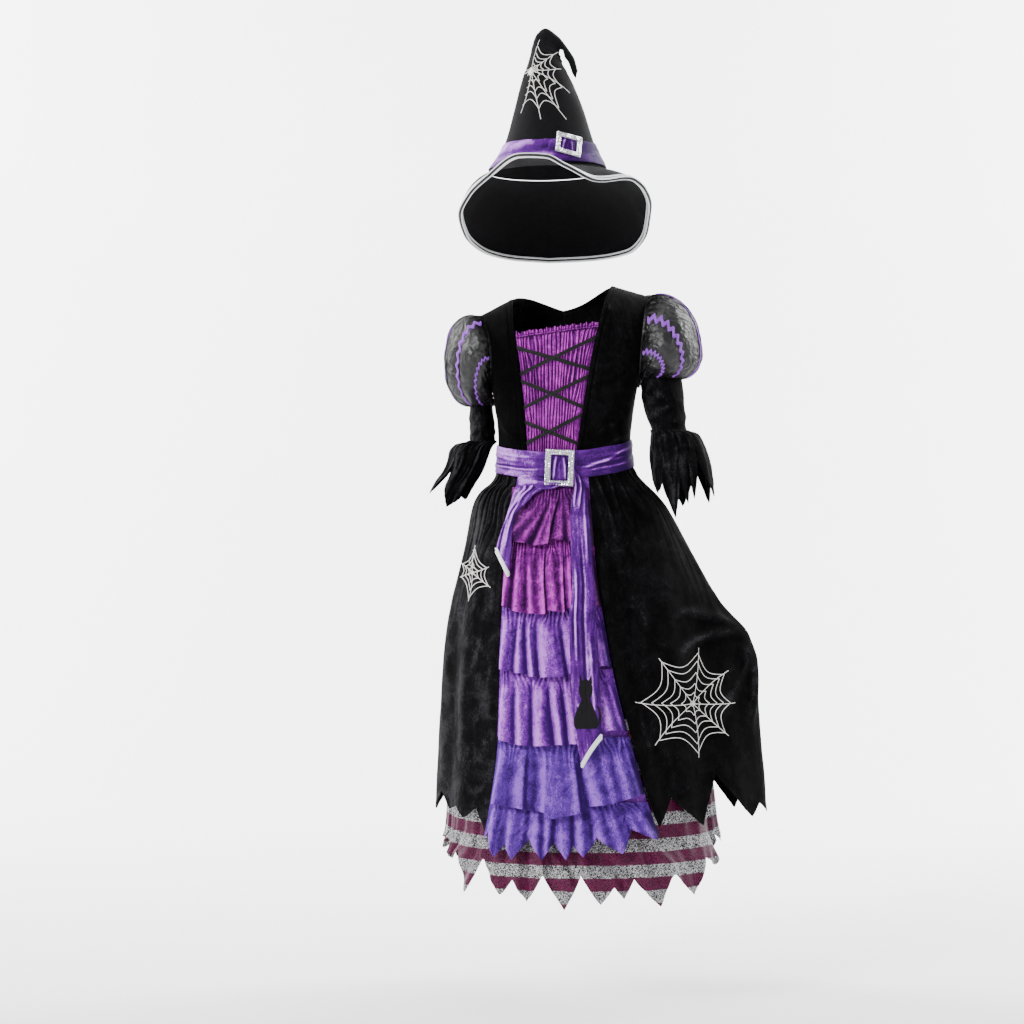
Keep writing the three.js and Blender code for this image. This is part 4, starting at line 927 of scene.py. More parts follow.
class Finish(Enum):
    """The costume's finishes, by the record's slot or by what they are on."""

    BLACK_VELVET = CrushedVelvet(
        "black_velvet_pile", (0.0005, 0.0005, 0.0006), (0.0022, 0.0021, 0.0025), (0.016, 0.0155, 0.018),
        patches=34,
        flecks=320, fleck_share=0.5, contrast=1.6, rough=0.8, nap=0.4, sheen=0.01, specular=0.03, folds=0.4,
    )
    MAGENTA = CrushedVelvet(
        "magenta_velvet_pile", (0.02, 0.0003, 0.03), (0.11, 0.003, 0.135), (0.48, 0.045, 0.47), patches=50,
        flecks=640,
        fleck_share=0.65, contrast=1.8, folds=0.3,
    )
    # A darker copy of the magenta velvet: painted shade on the top tier.
    MAGENTA_SHADE = CrushedVelvet(
        "magenta_velvet_painted_shade_pile", (0.012, 0.0002, 0.02), (0.055, 0.0015, 0.075), (0.34, 0.03, 0.34),
        patches=50,
        flecks=640, fleck_share=0.7, contrast=1.8, folds=0.26,
    )
    PURPLE = CrushedVelvet(
        "purple_velvet_pile", (0.025, 0.002, 0.075), (0.13, 0.018, 0.26), (0.44, 0.14, 0.64), patches=44,
        flecks=640,
        fleck_share=0.65, contrast=1.8, folds=0.34,
    )
    VIOLET = CrushedVelvet(
        "violet_velvet_pile", (0.016, 0.002, 0.055), (0.06, 0.015, 0.19), (0.22, 0.08, 0.47), patches=44,
        flecks=640,
        fleck_share=0.65, contrast=1.7, folds=0.34,
    )
    # The belt's painted light and shade, from how it turns, is stronger than the other velvets'.
    BELT = CrushedVelvet(
        "belt_velvet_pile", (0.02, 0.001, 0.055), (0.07, 0.006, 0.15), (0.46, 0.18, 0.66), patches=24,
        flecks=460,
        fleck_share=0.5, contrast=1.3, rough=0.6, nap=0.3, folds=0.62,
    )
    SATIN = Satin("puff_satin", (0.0015, 0.0014, 0.0016), (0.006, 0.0055, 0.006))
    HAT = Woven("hat_cloth_weave", (0.002, 0.0018, 0.0022), (0.008, 0.0075, 0.009), 1100, height=0.3,
        rough=0.9, sheen=0.02)
    RICKRACK = Woven("rickrack_braid_threads", (0.17, 0.035, 0.36), (0.42, 0.15, 0.68), 1500, slant=0.8,
        height=0.6)
    RIBBON = Woven("lacing_ribbon_weave", (0.004, 0.004, 0.0045), (0.022, 0.022, 0.022), 900, height=0.5,
        rough=0.5)
    THREAD = Woven("embroidery_thread", (0.6, 0.59, 0.56), (0.9, 0.89, 0.87), 900, slant=1.0, height=0.5,
        rough=0.5)
    SILVER = Woven("silver_cord", (0.62, 0.62, 0.63), (0.95, 0.95, 0.96), 700, slant=1.2, height=0.7,
        rough=0.38, metal=0.55)
    GROOVE = Woven("binding_groove", (0.02, 0.02, 0.022), (0.06, 0.06, 0.065), 900, height=0.3)
    APPLIQUE = Woven("cat_felt", (0.004, 0.004, 0.005), (0.015, 0.014, 0.016), 800, height=0.4, rough=0.85)
    NET = GlitterNet("glitter_net_stripes")
    BUCKLE = Plate("buckle_plate", (0.78, 0.78, 0.8), rough=0.28)
    STONE = Plate("buckle_stones", (0.97, 0.97, 1.0), rough=0.1, coat=0.6)

    def made(self) -> bpy.types.Material:
        """The finish's material, made once."""
        return bpy.data.materials.get(self.value.name) or self.value.material()


@dataclass(frozen=True)
class Cut:
    """The size a sheet was cut to, in millimetres, how it is held, and what it is sewn to or lies on."""

    width: float
    length: float
    held: Held
    rests_on: tuple[str, ...]
    area: float | None = None


def dress(
    made: bpy.types.Object, nodes: Sequence[str], slot: str, finish: Finish, cut: Cut | None = None,
) -> bpy.types.Object:
    """Gives a piece its finish and its body, and hides the CAD nodes that it stands for.

    Args:
        made: the piece.
        nodes: the CAD nodes that it stands for.
        slot: the record's material slot. It is not used.
        finish: its finish.
        cut: the flat cloth it was cut from, where it is a sheet.

    Returns:
        The piece.
    """
    if not made.data.materials:
        made.data.materials.append(finish.made())
    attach(made, BODY)
    if nodes:
        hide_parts(*nodes)
    if cut:
        list(cut.rests_on)
    LOG.info("%s: %d faces", made.name, len(made.data.polygons))
    return made


# Places on the front of a surface, by what the front view shows.


def locate(surface: Surface, x: Array, z: Array, a: float, b: float, rounds: int = 24) -> tuple[Array, Array]:
    """The surface's parameters where it passes x and z, by Newton's steps from a first guess.

    Each step solves the two slopes' two by two system for the miss in x and z, and is held short.
    """
    x, z = np.broadcast_arrays(np.asarray(x, float), np.asarray(z, float))
    a, b = np.full(x.shape, float(a)), np.full(x.shape, float(b))
    nudge = 1e-4
    for _ in range(rounds):
        here = surface(a, b)
        slope_a = (surface(a + nudge, b) - here) / nudge
        slope_b = (surface(a, b + nudge) - here) / nudge
        dx, dz = x - here[..., 0], z - here[..., 2]
        det = slope_a[..., 0] * slope_b[..., 2] - slope_b[..., 0] * slope_a[..., 2]
        det = np.where(np.abs(det) < 1e-6, 1e-6, det)
        step_a = (dx * slope_b[..., 2] - dz * slope_b[..., 0]) / det
        step_b = (dz * slope_a[..., 0] - dx * slope_a[..., 2]) / det
        a, b = a + np.clip(step_a, -0.15, 0.15), b + np.clip(step_b, -25, 25)
    return a, b


def pole_to_pole(name: str, first: Array, rings: Array, last: Array) -> bpy.types.Object:
    """A stack of rings closed by a point at each end.

    Args:
        name: the piece's name.
        first: the point that closes the first ring.
        rings: ring by point by coordinate.
        last: the point that closes the last ring.

    Returns:
        The closed mesh. Its chart runs round the rings and along the stack, in millimetres.
    """
    n, m = rings.shape[:2]
    points = np.concatenate([rings.reshape(-1, 3), [first, last]])
    i, k = (g.ravel() for g in np.meshgrid(np.arange(n - 1), np.arange(m), indexing="ij"))
    o = (k + 1) % m
    body = np.stack([i * m + k, i * m + o, (i + 1) * m + o, (i + 1) * m + k], -1)
    k = np.arange(m)
    o = (k + 1) % m
    start = np.stack([np.full(m, n * m), o, k, k], -1)
    end = np.stack([np.full(m, n * m + 1), (n - 1) * m + k, (n - 1) * m + o, (n - 1) * m + o], -1)
    around = np.linalg.norm(np.diff(rings[0], axis=0), axis=1).sum()
    down = np.concatenate([[0], np.cumsum(np.linalg.norm(np.diff(rings.mean(1), axis=0), axis=1))])
    ii, kk = (g.ravel() for g in np.meshgrid(np.arange(n - 1), np.arange(m), indexing="ij"))
    spot = lambda r, c: np.stack([c / m * around, down[r]], -1)
    chart = np.stack([spot(ii, kk), spot(ii, kk + 1), spot(ii + 1, kk + 1), spot(ii + 1, kk)], 1)
    return mesh_object(name, points, np.concatenate([body, start, end]),
        np.concatenate([chart, np.zeros((2 * m, 4, 2))]))


@dataclass(frozen=True)
class Web:
    """A web worked in thread: straight spokes from a hub, and rings that sag towards it between them."""

    x: float
    z: float
    spokes: tuple[tuple[float, float], ...]
    rings: tuple[float, ...]
    sag: float = 0.2
    closed: bool = True
    hub: float = 0.0
    half: float = 0.5

    def lines(self) -> list[Array]:
        """The web's lines as rows of x and z in the front view, from the table's turns and lengths."""
        middle = np.array([self.x, self.z])
        ways = [np.array([math.cos(math.radians(t)), math.sin(math.radians(t))]) * length for t,
            length in self.spokes]
        lines = []
        for n, way in enumerate(ways):
            t = steps(36)[:, None]
            bent = np.array([-way[1], way[0]]) * 0.045 * math.sin(2.3 * n + 1) * t * (1 - t) * 4
            lines.append(middle + way * t + bent)
        pairs = list(zip(range(len(ways)), list(range(1, len(ways))) + [0]))
        for at in self.rings:
            for n, m in pairs if self.closed else pairs[:-1]:
                one, two = ways[n] * (at + 0.02 * math.sin(5 * n + 9 * at)), ways[m] * (at + 0.02
                    * math.sin(5 * m + 9 * at))
                t = steps(22)[:, None]
                chord = mix(one, two, t)
                lines.append(middle + chord * (1 - self.sag * 4 * t * (1 - t)))
        if self.hub:
            turn = 2 * np.pi * steps(24)[:, None]
            lines.append(middle + self.hub * np.concatenate([np.cos(turn), np.sin(turn)], 1))
        return lines

    def build(self, name: str, cover: Callable[[Array, Array], tuple[Array, Array]]) -> bpy.types.Object:
        """Lays the web's lines on a cloth.

        Args:
            name: the piece's name.
            cover: gives the cloth's outer face and its way out at x and z of the front view.

        Returns:
            The web as one piece.
        """
        section = circle(self.half, 8, 0.55, 0.15)
        parts = []
        for n, line in enumerate(self.lines()):
            points, out = cover(line[:, 0], line[:, 1])
            parts.append(tube(f"{name}_{n}", points, out, section, 4 * self.half))
        return joined(name, parts)


# The hat.


@dataclass
class Hat:
    """The pointed hat: a crown with a folded tip, a drooping brim, a velvet band and a buckle."""

    y: float = -10.0
    bow: float = 12.0
    crown: Table = field(default_factory=lambda: Table(
        "outX outZ inX inZ deep",
        [
            (0, -113, 189, 62, 192, 91), (1, -88.5, 231, 45, 231, 69), (2, -74, 283.5, 28.5, 283.5, 52),
            (3, -62, 329, 10.5, 327, 37), (4, -51, 363, -3, 354, 25), (5, -46.5, 382.5, -6, 364, 19),
            (6, -40.5, 397.5, -7.5, 370, 15), (7, -28.5, 405.6, -5.5, 374, 12.5),
            (8, -11, 395, -2, 373, 10.5),
            (9, 4, 378, 0.5, 364, 8), (10, 15.5, 359, 6.5, 354, 6), (11, 20.5, 342, 12, 338.5, 4.5),
        ],
    ))
    edge: Table = field(default_factory=lambda: Table(
        "x y z",
        [
            (-180, -20, 150, 72), (-159, -78, 138, 75), (-140, -120, 105, 82), (-118, -150, 55, 104),
            (-94, -157, 0, 127), (-69, -143, -55, 150), (-42, -112, -105, 173), (-17, -68, -155, 195),
            (0, -28, -168, 192), (9, -2, -162, 180), (31, 45, -128, 163), (64, 97, -74, 173),
            (80, 121, -35, 160),
            (99, 131, 15, 140), (115, 128, 60, 109), (132, 104, 105, 82), (157, 42, 140, 74),
            (180, -20, 150, 72),
        ],
    ))
    tip: tuple[float, float, float] = (17, -10, 330)
    peak: float = 4.2
    band: tuple[float, float, float] = (0.07, 0.94, 0.4)
    soft: Crumple = field(default_factory=lambda: Crumple(11, 12, 64))
    gathers: Crumple = field(default_factory=lambda: Crumple(12, 16, 64))

    def crown_point(self, phi: Array, at: Array) -> Array:
        """The crown at the turn phi and the station at: tilted ellipses from an outer to an inner point."""
        out_x, out_z, in_x, in_z = (self.crown(n, at) for n in ("outX", "outZ", "inX", "inZ"))
        s = np.sin(phi)
        return xyz(
            (out_x + in_x) / 2 + (in_x - out_x) / 2 * s, self.y - self.crown("deep", at) * np.cos(phi),
            (out_z + in_z) / 2 + (in_z - out_z) / 2 * s,
        )

    def softness(self, phi: Array, at: Array) -> Array:
        """How far the crown's cloth stands off its rings: slow noise, and small buckles under the tip."""
        turn = np.mod(phi, 2 * np.pi) / (2 * np.pi) * 12
        slow = 0.9 * self.soft(turn, at * 1.1)
        buckle = 0.9 * bell((at - 4.6) / 1.1) * np.sin(at * 9 + 1.6 * np.sin(phi)) * (0.6 + 0.4 * np.sin(phi))
        seam = -0.7 * bell(apart(np.degrees(phi), 178) / 1.2)
        return (slow + buckle + seam) * ease(at / 0.4) * ease((11 - at) / 2)

    def make_crown(self) -> bpy.types.Object:
        """The crown, hollow up to its peak, with the folded tip closed on itself."""
        phi = 2 * np.pi * np.arange(128) / 128

        def rings(at: Array, inward: float) -> Array:
            """Rings at the stations, moved towards their middles."""
            p, a = np.meshgrid(phi, at)
            points = self.crown_point(p, a)
            middle = (self.crown_point(flat(p, a), a) + self.crown_point(flat(p, a) + np.pi, a)) / 2
            return points + unit(middle - points) * (inward - self.softness(p, a))[..., None]

        stations = np.concatenate([np.linspace(0, 4, 46), np.linspace(4.08, 11, 84)])
        inside = rings(np.linspace(4, 0, 30), FELT)
        peak = (self.crown_point(np.array(0.0), np.array(self.peak))
            + self.crown_point(np.array(np.pi), np.array(self.peak))) / 2
        stack = np.concatenate([inside, rings(stations, 0)])
        return pole_to_pole("hat_crown_cloth", peak, stack, np.array(self.tip, float))

    def brim_point(self, phi: Array, t: Array) -> Array:
        """The brim from the crown's foot at t = 0 to its edge at t = 1, arched between them by a parabola."""
        start = self.crown_point(phi, flat(phi, t)) + xyz(-0.8 * np.sin(phi), 0.8 * np.cos(phi), -0.9)
        turn = apart(np.degrees(phi), 0)
        end = xyz(self.edge("x", turn), self.edge("y", turn), self.edge("z", turn))
        drop = np.clip((start[..., 2] - end[..., 2]) / 110, 0.1, 1) * self.bow * 4 * t * (1 - t)
        t = np.asarray(t)[..., None]
        return mix(start, end, t) + xyz(np.sin(phi), -np.cos(phi), 1.2 + 0 * phi) * drop[..., None]

    def make_brim(self) -> bpy.types.Object:
        """The brim, with slow dips along it."""
        return Panel(
            "hat_brim_cloth", self.brim_point, lambda u, v: (2 * np.pi * u, v), steps(200), steps(30),
            side=-1,
            thick=FELT, wrap=True, chart=lambda u, v: (u * 880, v * 80),
            lift=lambda u, v: -FELT + 0.5 * self.soft(u * 12, v * 2) * ease(v / 0.2) * ease((1 - v) / 0.15),
        ).build()

    def make_binding(self) -> list[bpy.types.Object]:
        """The braid over the brim's edge: a dark tape with two silver cords above and two below."""
        phi = 2 * np.pi * np.arange(256) / 256
        one = np.ones(256)
        edge = self.brim_point(phi, one)
        inward = unit(self.brim_point(phi, one * 0.8) - edge)
        up = -normal(self.brim_point, phi, one)
        up = unit(up - inward * np.einsum("ij,ij->i", up, inward)[:, None])
        tape = np.array([(7, 0.7), (-0.9, 0.9), (-1.6, -0.4), (-1.6, -FELT + 0.4), (-0.9, -FELT - 0.9),
                (7, -FELT - 0.7),
                         (7, -FELT - 0.2), (0.2, -FELT - 0.3), (-0.3, -FELT), (-0.3, 0), (0.2, 0.3),
                         (7, 0.2)])
        section = edge[:, None] + inward[:, None] * tape[:, :1] + up[:, None] * tape[:, 1:]
        n, m = section.shape[:2]
        i, k = (g.ravel() for g in np.meshgrid(np.arange(n), np.arange(m), indexing="ij"))
        nxt, other = (i + 1) % n, (k + 1) % m
        faces = np.stack([i * m + k, nxt * m + k, nxt * m + other, i * m + other], -1)
        spot = lambda a, b: np.stack([a * 3.4, b * 2.0], -1)
        chart = np.stack([spot(i, k), spot(i + 1, k), spot(i + 1, k + 1), spot(i, k + 1)], 1)
        body = mesh_object("binding_tape", section.reshape(-1, 3), faces, chart)
        cords = []
        for n, (across, above) in enumerate(((5.6, 1.1), (0.5, 1.35), (0.5, -FELT - 1.35),
                (5.6, -FELT - 1.1))):
            path = edge + inward * across + up * above
            cords.append(tube(f"binding_cord_{n + 1}", path, up, circle(1.45, 10, 0.75), 9, closed=True))
        return [body, *cords]

    def band_lift(self, phi: Array, at: Array) -> Array:
        """The band's folds: two long ones that part and meet, and finer crumples."""
        turn = np.mod(phi, 2 * np.pi) / (2 * np.pi) * 16
        long = 0.9 * np.sin(9 * at + 1.1 * self.gathers(turn * 0.5, at)) * (0.6 + 0.4 * np.cos(phi * 2))
        return self.band[2] + 0.9 + long + 0.7 * self.gathers.layered(turn, at * 3, 3)

    def make_band(self) -> bpy.types.Object:
        """The velvet band round the crown's foot."""
        low, high, _ = self.band

        def place(u: Array, v: Array) -> tuple[Array, Array]:
            """The band's edges wander a little up and down."""
            wander = 0.02 * np.sin(2 * np.pi * 5 * u) + 0.012 * np.sin(2 * np.pi * 11 * u + 1)
            return 2 * np.pi * u, mix(low, high, v) + wander * (v - 0.3)

        return Panel(
            "hat_band_cloth", self.crown_point, place, steps(260), steps(24), wrap=True, thick=1.4,
            chart=lambda u, v: (u * 500, v * 40), lift=lambda u, v: self.band_lift(*place(u, v)),
        ).build()

    def directions(self, phi: float, at: float) -> tuple[Array, Array, Array]:
        """The directions across and up the crown at a place, and the way out of it."""
        nudge = 1e-2
        across = unit(self.crown_point(phi + nudge, at) - self.crown_point(phi - nudge, at))
        climb = unit(self.crown_point(phi, at + nudge) - self.crown_point(phi, at - nudge))
        out = unit(np.cross(across, climb))
        return across, np.cross(out, across), out

    def cover(self, x: Array, z: Array) -> tuple[Array, Array]:
        """The crown's outer face and its way out at x and z of the front view."""
        phi, at = locate(self.crown_point, x, z, -0.3, 2.5)
        out = normal(self.crown_point, phi, at)
        return self.crown_point(phi, at) + out * (self.softness(phi, at) + 0.2)[..., None], out

    def make_web(self) -> bpy.types.Object:
        """The web on the crown, with a small round-bodied spider at its hub."""
        web = Web(-49, 337, ((-56, 92), (-31, 66), (4, 44), (38, 50), (76, 50), (-104, 66), (-80, 78)),
                  (0.24, 0.42, 0.6, 0.8), sag=0.2, closed=False)
        order = sorted(web.spokes, key=lambda spoke: spoke[0])
        web = Web(web.x, web.z, tuple(order), web.rings, web.sag, closed=False)
        made = web.build("hat_web", self.cover)
        parts = [made]
        for n in range(8):
            side = 1 if n % 2 else -1
            turn = math.radians(90 + side * (28 + 38 * (n // 2)) + 12)
            t = steps(8)
            x = web.x + np.cos(turn + 0.5 * side * t) * t * 8.5
            z = web.z + np.sin(turn + 0.5 * side * t) * t * 8.5
            points, out = self.cover(x, z)
            parts.append(tube(f"leg_{n}", points, out, circle(0.6, 6, 0.8, 0.9), 3))
        for n, (dx, dz, wide, tall) in enumerate(((0.4, 2.2, 2.6, 3.2), (-0.6, -2.6, 3.6, 4.6))):
            parts.append(self.dome(f"spider_{n}", web.x + dx, web.z + dz, wide, tall))
        return joined("hat_web", parts)

    def dome(self, name: str, x: float, z: float, wide: float, tall: float) -> bpy.types.Object:
        """A stitched oval mound on the crown: half an ellipsoid on the cloth."""
        turn = 2 * np.pi * np.arange(18) / 18
        share = np.array([0.25, 0.5, 0.72, 0.88, 0.97, 1.0])
        s, t = np.meshgrid(share, turn, indexing="ij")
        points, out = self.cover(x + wide * s * np.cos(t), z + tall * s * np.sin(t))
        top = points + out * (2.4 * np.sqrt(1 - s**2) + 0.3)[..., None]
        base, up = self.cover(np.array([x]), np.array([z]))
        rings = np.concatenate([top, (points - out * 0.2)[-1:]])
        return pole_to_pole(name, base[0] + up[0] * 2.7, rings, base[0] - up[0] * 0.2)

    def build(self) -> None:
        """Makes and dresses the hat."""
        crown = self.make_crown()
        brim = self.make_brim()
        tape, *cords = self.make_binding()
        tape.data.materials.append(Finish.GROOVE.made())
        for cord in cords:
            cord.data.materials.append(Finish.SILVER.made())
        binding = joined("brim_binding_braid", [tape, *cords])
        band = self.make_band()
        buckle = Buckle(self.crown_point(0.349, 0.66), *self.directions(0.349, 0.66), 39, 36.5, 7, 3.5, -15,
            6)
        buckle.build("hat_buckle_stones", "hat_buckle")
        loop = buckle.strap("hat_loop_cloth", 11.5, 15.5, 1.8)
        dress(crown, ["hat_crown"], "hat_cloth", Finish.HAT,
            Cut(530, 290, Held.STRETCHED, ("hat_brim_cloth",), 80000))
        dress(brim, ["hat_brim"], "hat_cloth", Finish.HAT,
            Cut(330, 300, Held.STRETCHED, ("hat_crown_cloth",), 72000))
        dress(binding, ["brim_binding"], "silver_braid", Finish.SILVER)
        dress(band, ["hat_band"], "belt_velvet", Finish.BELT,
            Cut(520, 50, Held.STRETCHED, ("hat_crown_cloth",)))
        dress(loop, ["hat_band_loop"], "belt_velvet", Finish.BELT,
            Cut(26, 36, Held.STRETCHED, ("hat_band_cloth",)))
        dress(self.make_web(), [], "silver_braid", Finish.THREAD)


@dataclass
class Buckle:
    """A square frame set with two rows of clear stones."""

    seat: Array
    across: Array
    up: Array
    out: Array
    width: float
    height: float
    bar: float
    thick: float
    tilt: float
    lift: float

    def __post_init__(self) -> None:
        """Turns the frame's directions by its tilt."""
        turn = math.radians(self.tilt)
        across, up = self.across, self.up
        self.right = across * math.cos(turn) + up * math.sin(turn)
        self.top = up * math.cos(turn) - across * math.sin(turn)

    def at(self, x: Array, y: Array, h: Array) -> Array:
        """Points x to the right of the middle, y up from it and h out of the frame's back."""
        x, y, h = (np.asarray(c, float)[..., None] for c in (x, y, h))
        return self.seat + self.right * x + self.top * y + self.out * (self.lift + h)

    def make_frame(self, name: str) -> bpy.types.Object:
        """The frame: a rounded section carried round a rectangle, mitred at its corners."""
        b, h = self.bar, self.thick
        section = np.array([(0.12 * b, 0), (0, 0.25 * h), (0, 0.62 * h), (0.1 * b, 0.82 * h),
                (0.9 * b, 0.82 * h),
                            (b, 0.62 * h), (b, 0.25 * h), (0.88 * b, 0)])
        corners = np.array([(-1, -1), (1, -1), (1, 1), (-1, 1)])
        half = np.array([self.width, self.height]) / 2 - section[:, :1]
        flat_ = corners[:, None] * half[None]
        points = self.at(flat_[..., 0], flat_[..., 1], np.broadcast_to(section[:, 1], flat_.shape[:2]))
        n, m = points.shape[:2]
        i, k = (g.ravel() for g in np.meshgrid(np.arange(n), np.arange(m), indexing="ij"))
        nxt, other = (i + 1) % n, (k + 1) % m
        faces = np.stack([i * m + k, nxt * m + k, nxt * m + other, i * m + other], -1)
        return mesh_object(name, points.reshape(-1, 3), faces, None, 30)

    def stone_places(self) -> Array:
        """The stones' middles on the frame: two rows, half a step apart."""
        places = []
        for row, inset in enumerate((0.26, 0.74)):
            w, h = self.width / 2 - inset * self.bar, self.height / 2 - inset * self.bar
            gap = self.bar * 0.47
            count = int(round(4 * (w + h) / gap))
            run = (np.arange(count) + 0.5 * row) / count * 4 * (w + h)
            leg = np.array([0, 2 * w, 2 * w + 2 * h, 4 * w + 2 * h, 4 * w + 4 * h])
            x = np.interp(run, leg, [-w, w, w, -w, -w])
            y = np.interp(run, leg, [-h, -h, h, h, -h])
            places.append(np.stack([x, y], -1))
        return np.concatenate(places)

    def make_stones(self, name: str) -> bpy.types.Object:
        """Cut stones: a table, a crown of facets and a girdle, each stone turned and tipped a little."""
        places = self.stone_places()
        draw = np.random.default_rng(5)
        spin = draw.uniform(0, 1, len(places))
        tip = draw.uniform(-0.16, 0.16, (len(places), 2))
        r = self.bar * 0.255
        turn = 2 * np.pi * (np.arange(8) / 8)
        rings = [(0.5, 0.95), (0.86, 0.62), (1.0, 0.34), (0.8, -0.2)]
        local = np.array([[(q * np.cos(t), q * np.sin(t), h) for t in turn] for q, h in rings]).reshape(-1, 3)
        local = np.concatenate([local, [(0, 0, 1.02), (0, 0, -0.2)]]) * r
        c, s = np.cos(spin)[:, None], np.sin(spin)[:, None]
        x = local[:, 0] * c - local[:, 1] * s
        y = local[:, 0] * s + local[:, 1] * c
        h = local[:, 2] + x * tip[:, :1] + y * tip[:, 1:] + 0.82 * self.thick
        points = self.at(x + places[:, :1], y + places[:, 1:], h).reshape(-1, 3)
        i, k = (g.ravel() for g in np.meshgrid(np.arange(3), np.arange(8), indexing="ij"))
        o = (k + 1) % 8
        body = np.stack([i * 8 + k, i * 8 + o, (i + 1) * 8 + o, (i + 1) * 8 + k], -1)
        k, o = np.arange(8), (np.arange(8) + 1) % 8
        caps = [np.stack([np.full(8, 32), o, k, k], -1),
            np.stack([np.full(8, 33), 24 + k, 24 + o, 24 + o], -1)]
        one = np.concatenate([body, *caps])
        faces = (one[None] + 34 * np.arange(len(places))[:, None, None]).reshape(-1, 4)
        return mesh_object(name, points, faces, None, 5)

    def build(self, name: str, node: str) -> bpy.types.Object:
        """The frame and its stones as one piece."""
        plate, stones = self.make_frame(name + "_frame"), self.make_stones(name + "_cut")
        plate.data.materials.append(Finish.BUCKLE.made())
        stones.data.materials.append(Finish.STONE.made())
        return dress(joined(name, [plate, stones]), [node], "buckle", Finish.BUCKLE)

    def strap(self, name: str, half: float, reach: float, drop: float) -> bpy.types.Object:
        """The cloth that passes through the frame's window: an arch, creased lengthwise.

        Args:
            name: the piece's name.
            half: half its width.
            reach: half its length.
            drop: how far its middle lies behind the frame's back.

        Returns:
            The strap's object.
        """
        noise = Crumple(21)

        def surface(a: Array, b: Array) -> Array:
            """The arch: a parabola along b, with the buckle's own directions."""
            return self.at(a * (1 + 0.06 * (b / reach) ** 2), b,
                -drop - 2.6 * (b / reach) ** 4 - 0.012 * a * a)

        def lift(u: Array, v: Array) -> Array:
            """Creases that run along the strap and bow at its middle."""
            a, b = (u - 0.5) * 2 * half, (v - 0.5) * 2 * reach
            folds = [Crease(-0.5 * half, -reach, -0.2 * half, reach, 2.2, 1.3, 1.5),
                Crease(0.7 * half, -reach, 0.3 * half, reach, 1.8, 1.0, -2),
                     Crease(-half, 0.4 * reach, half, 0.1 * reach, 2, 0.5, 2)]
            return relief(folds, a, b) + 0.35 * noise.layered(u * 5, v * 3)

        return Panel(name, surface, lambda u, v: ((u - 0.5) * 2 * half, (v - 0.5) * 2 * reach), steps(36),
            steps(44),
                     thick=1.2, lift=lift, chart=lambda u, v: (u * 2 * half, v * 2 * reach)).build()


# The bodice.


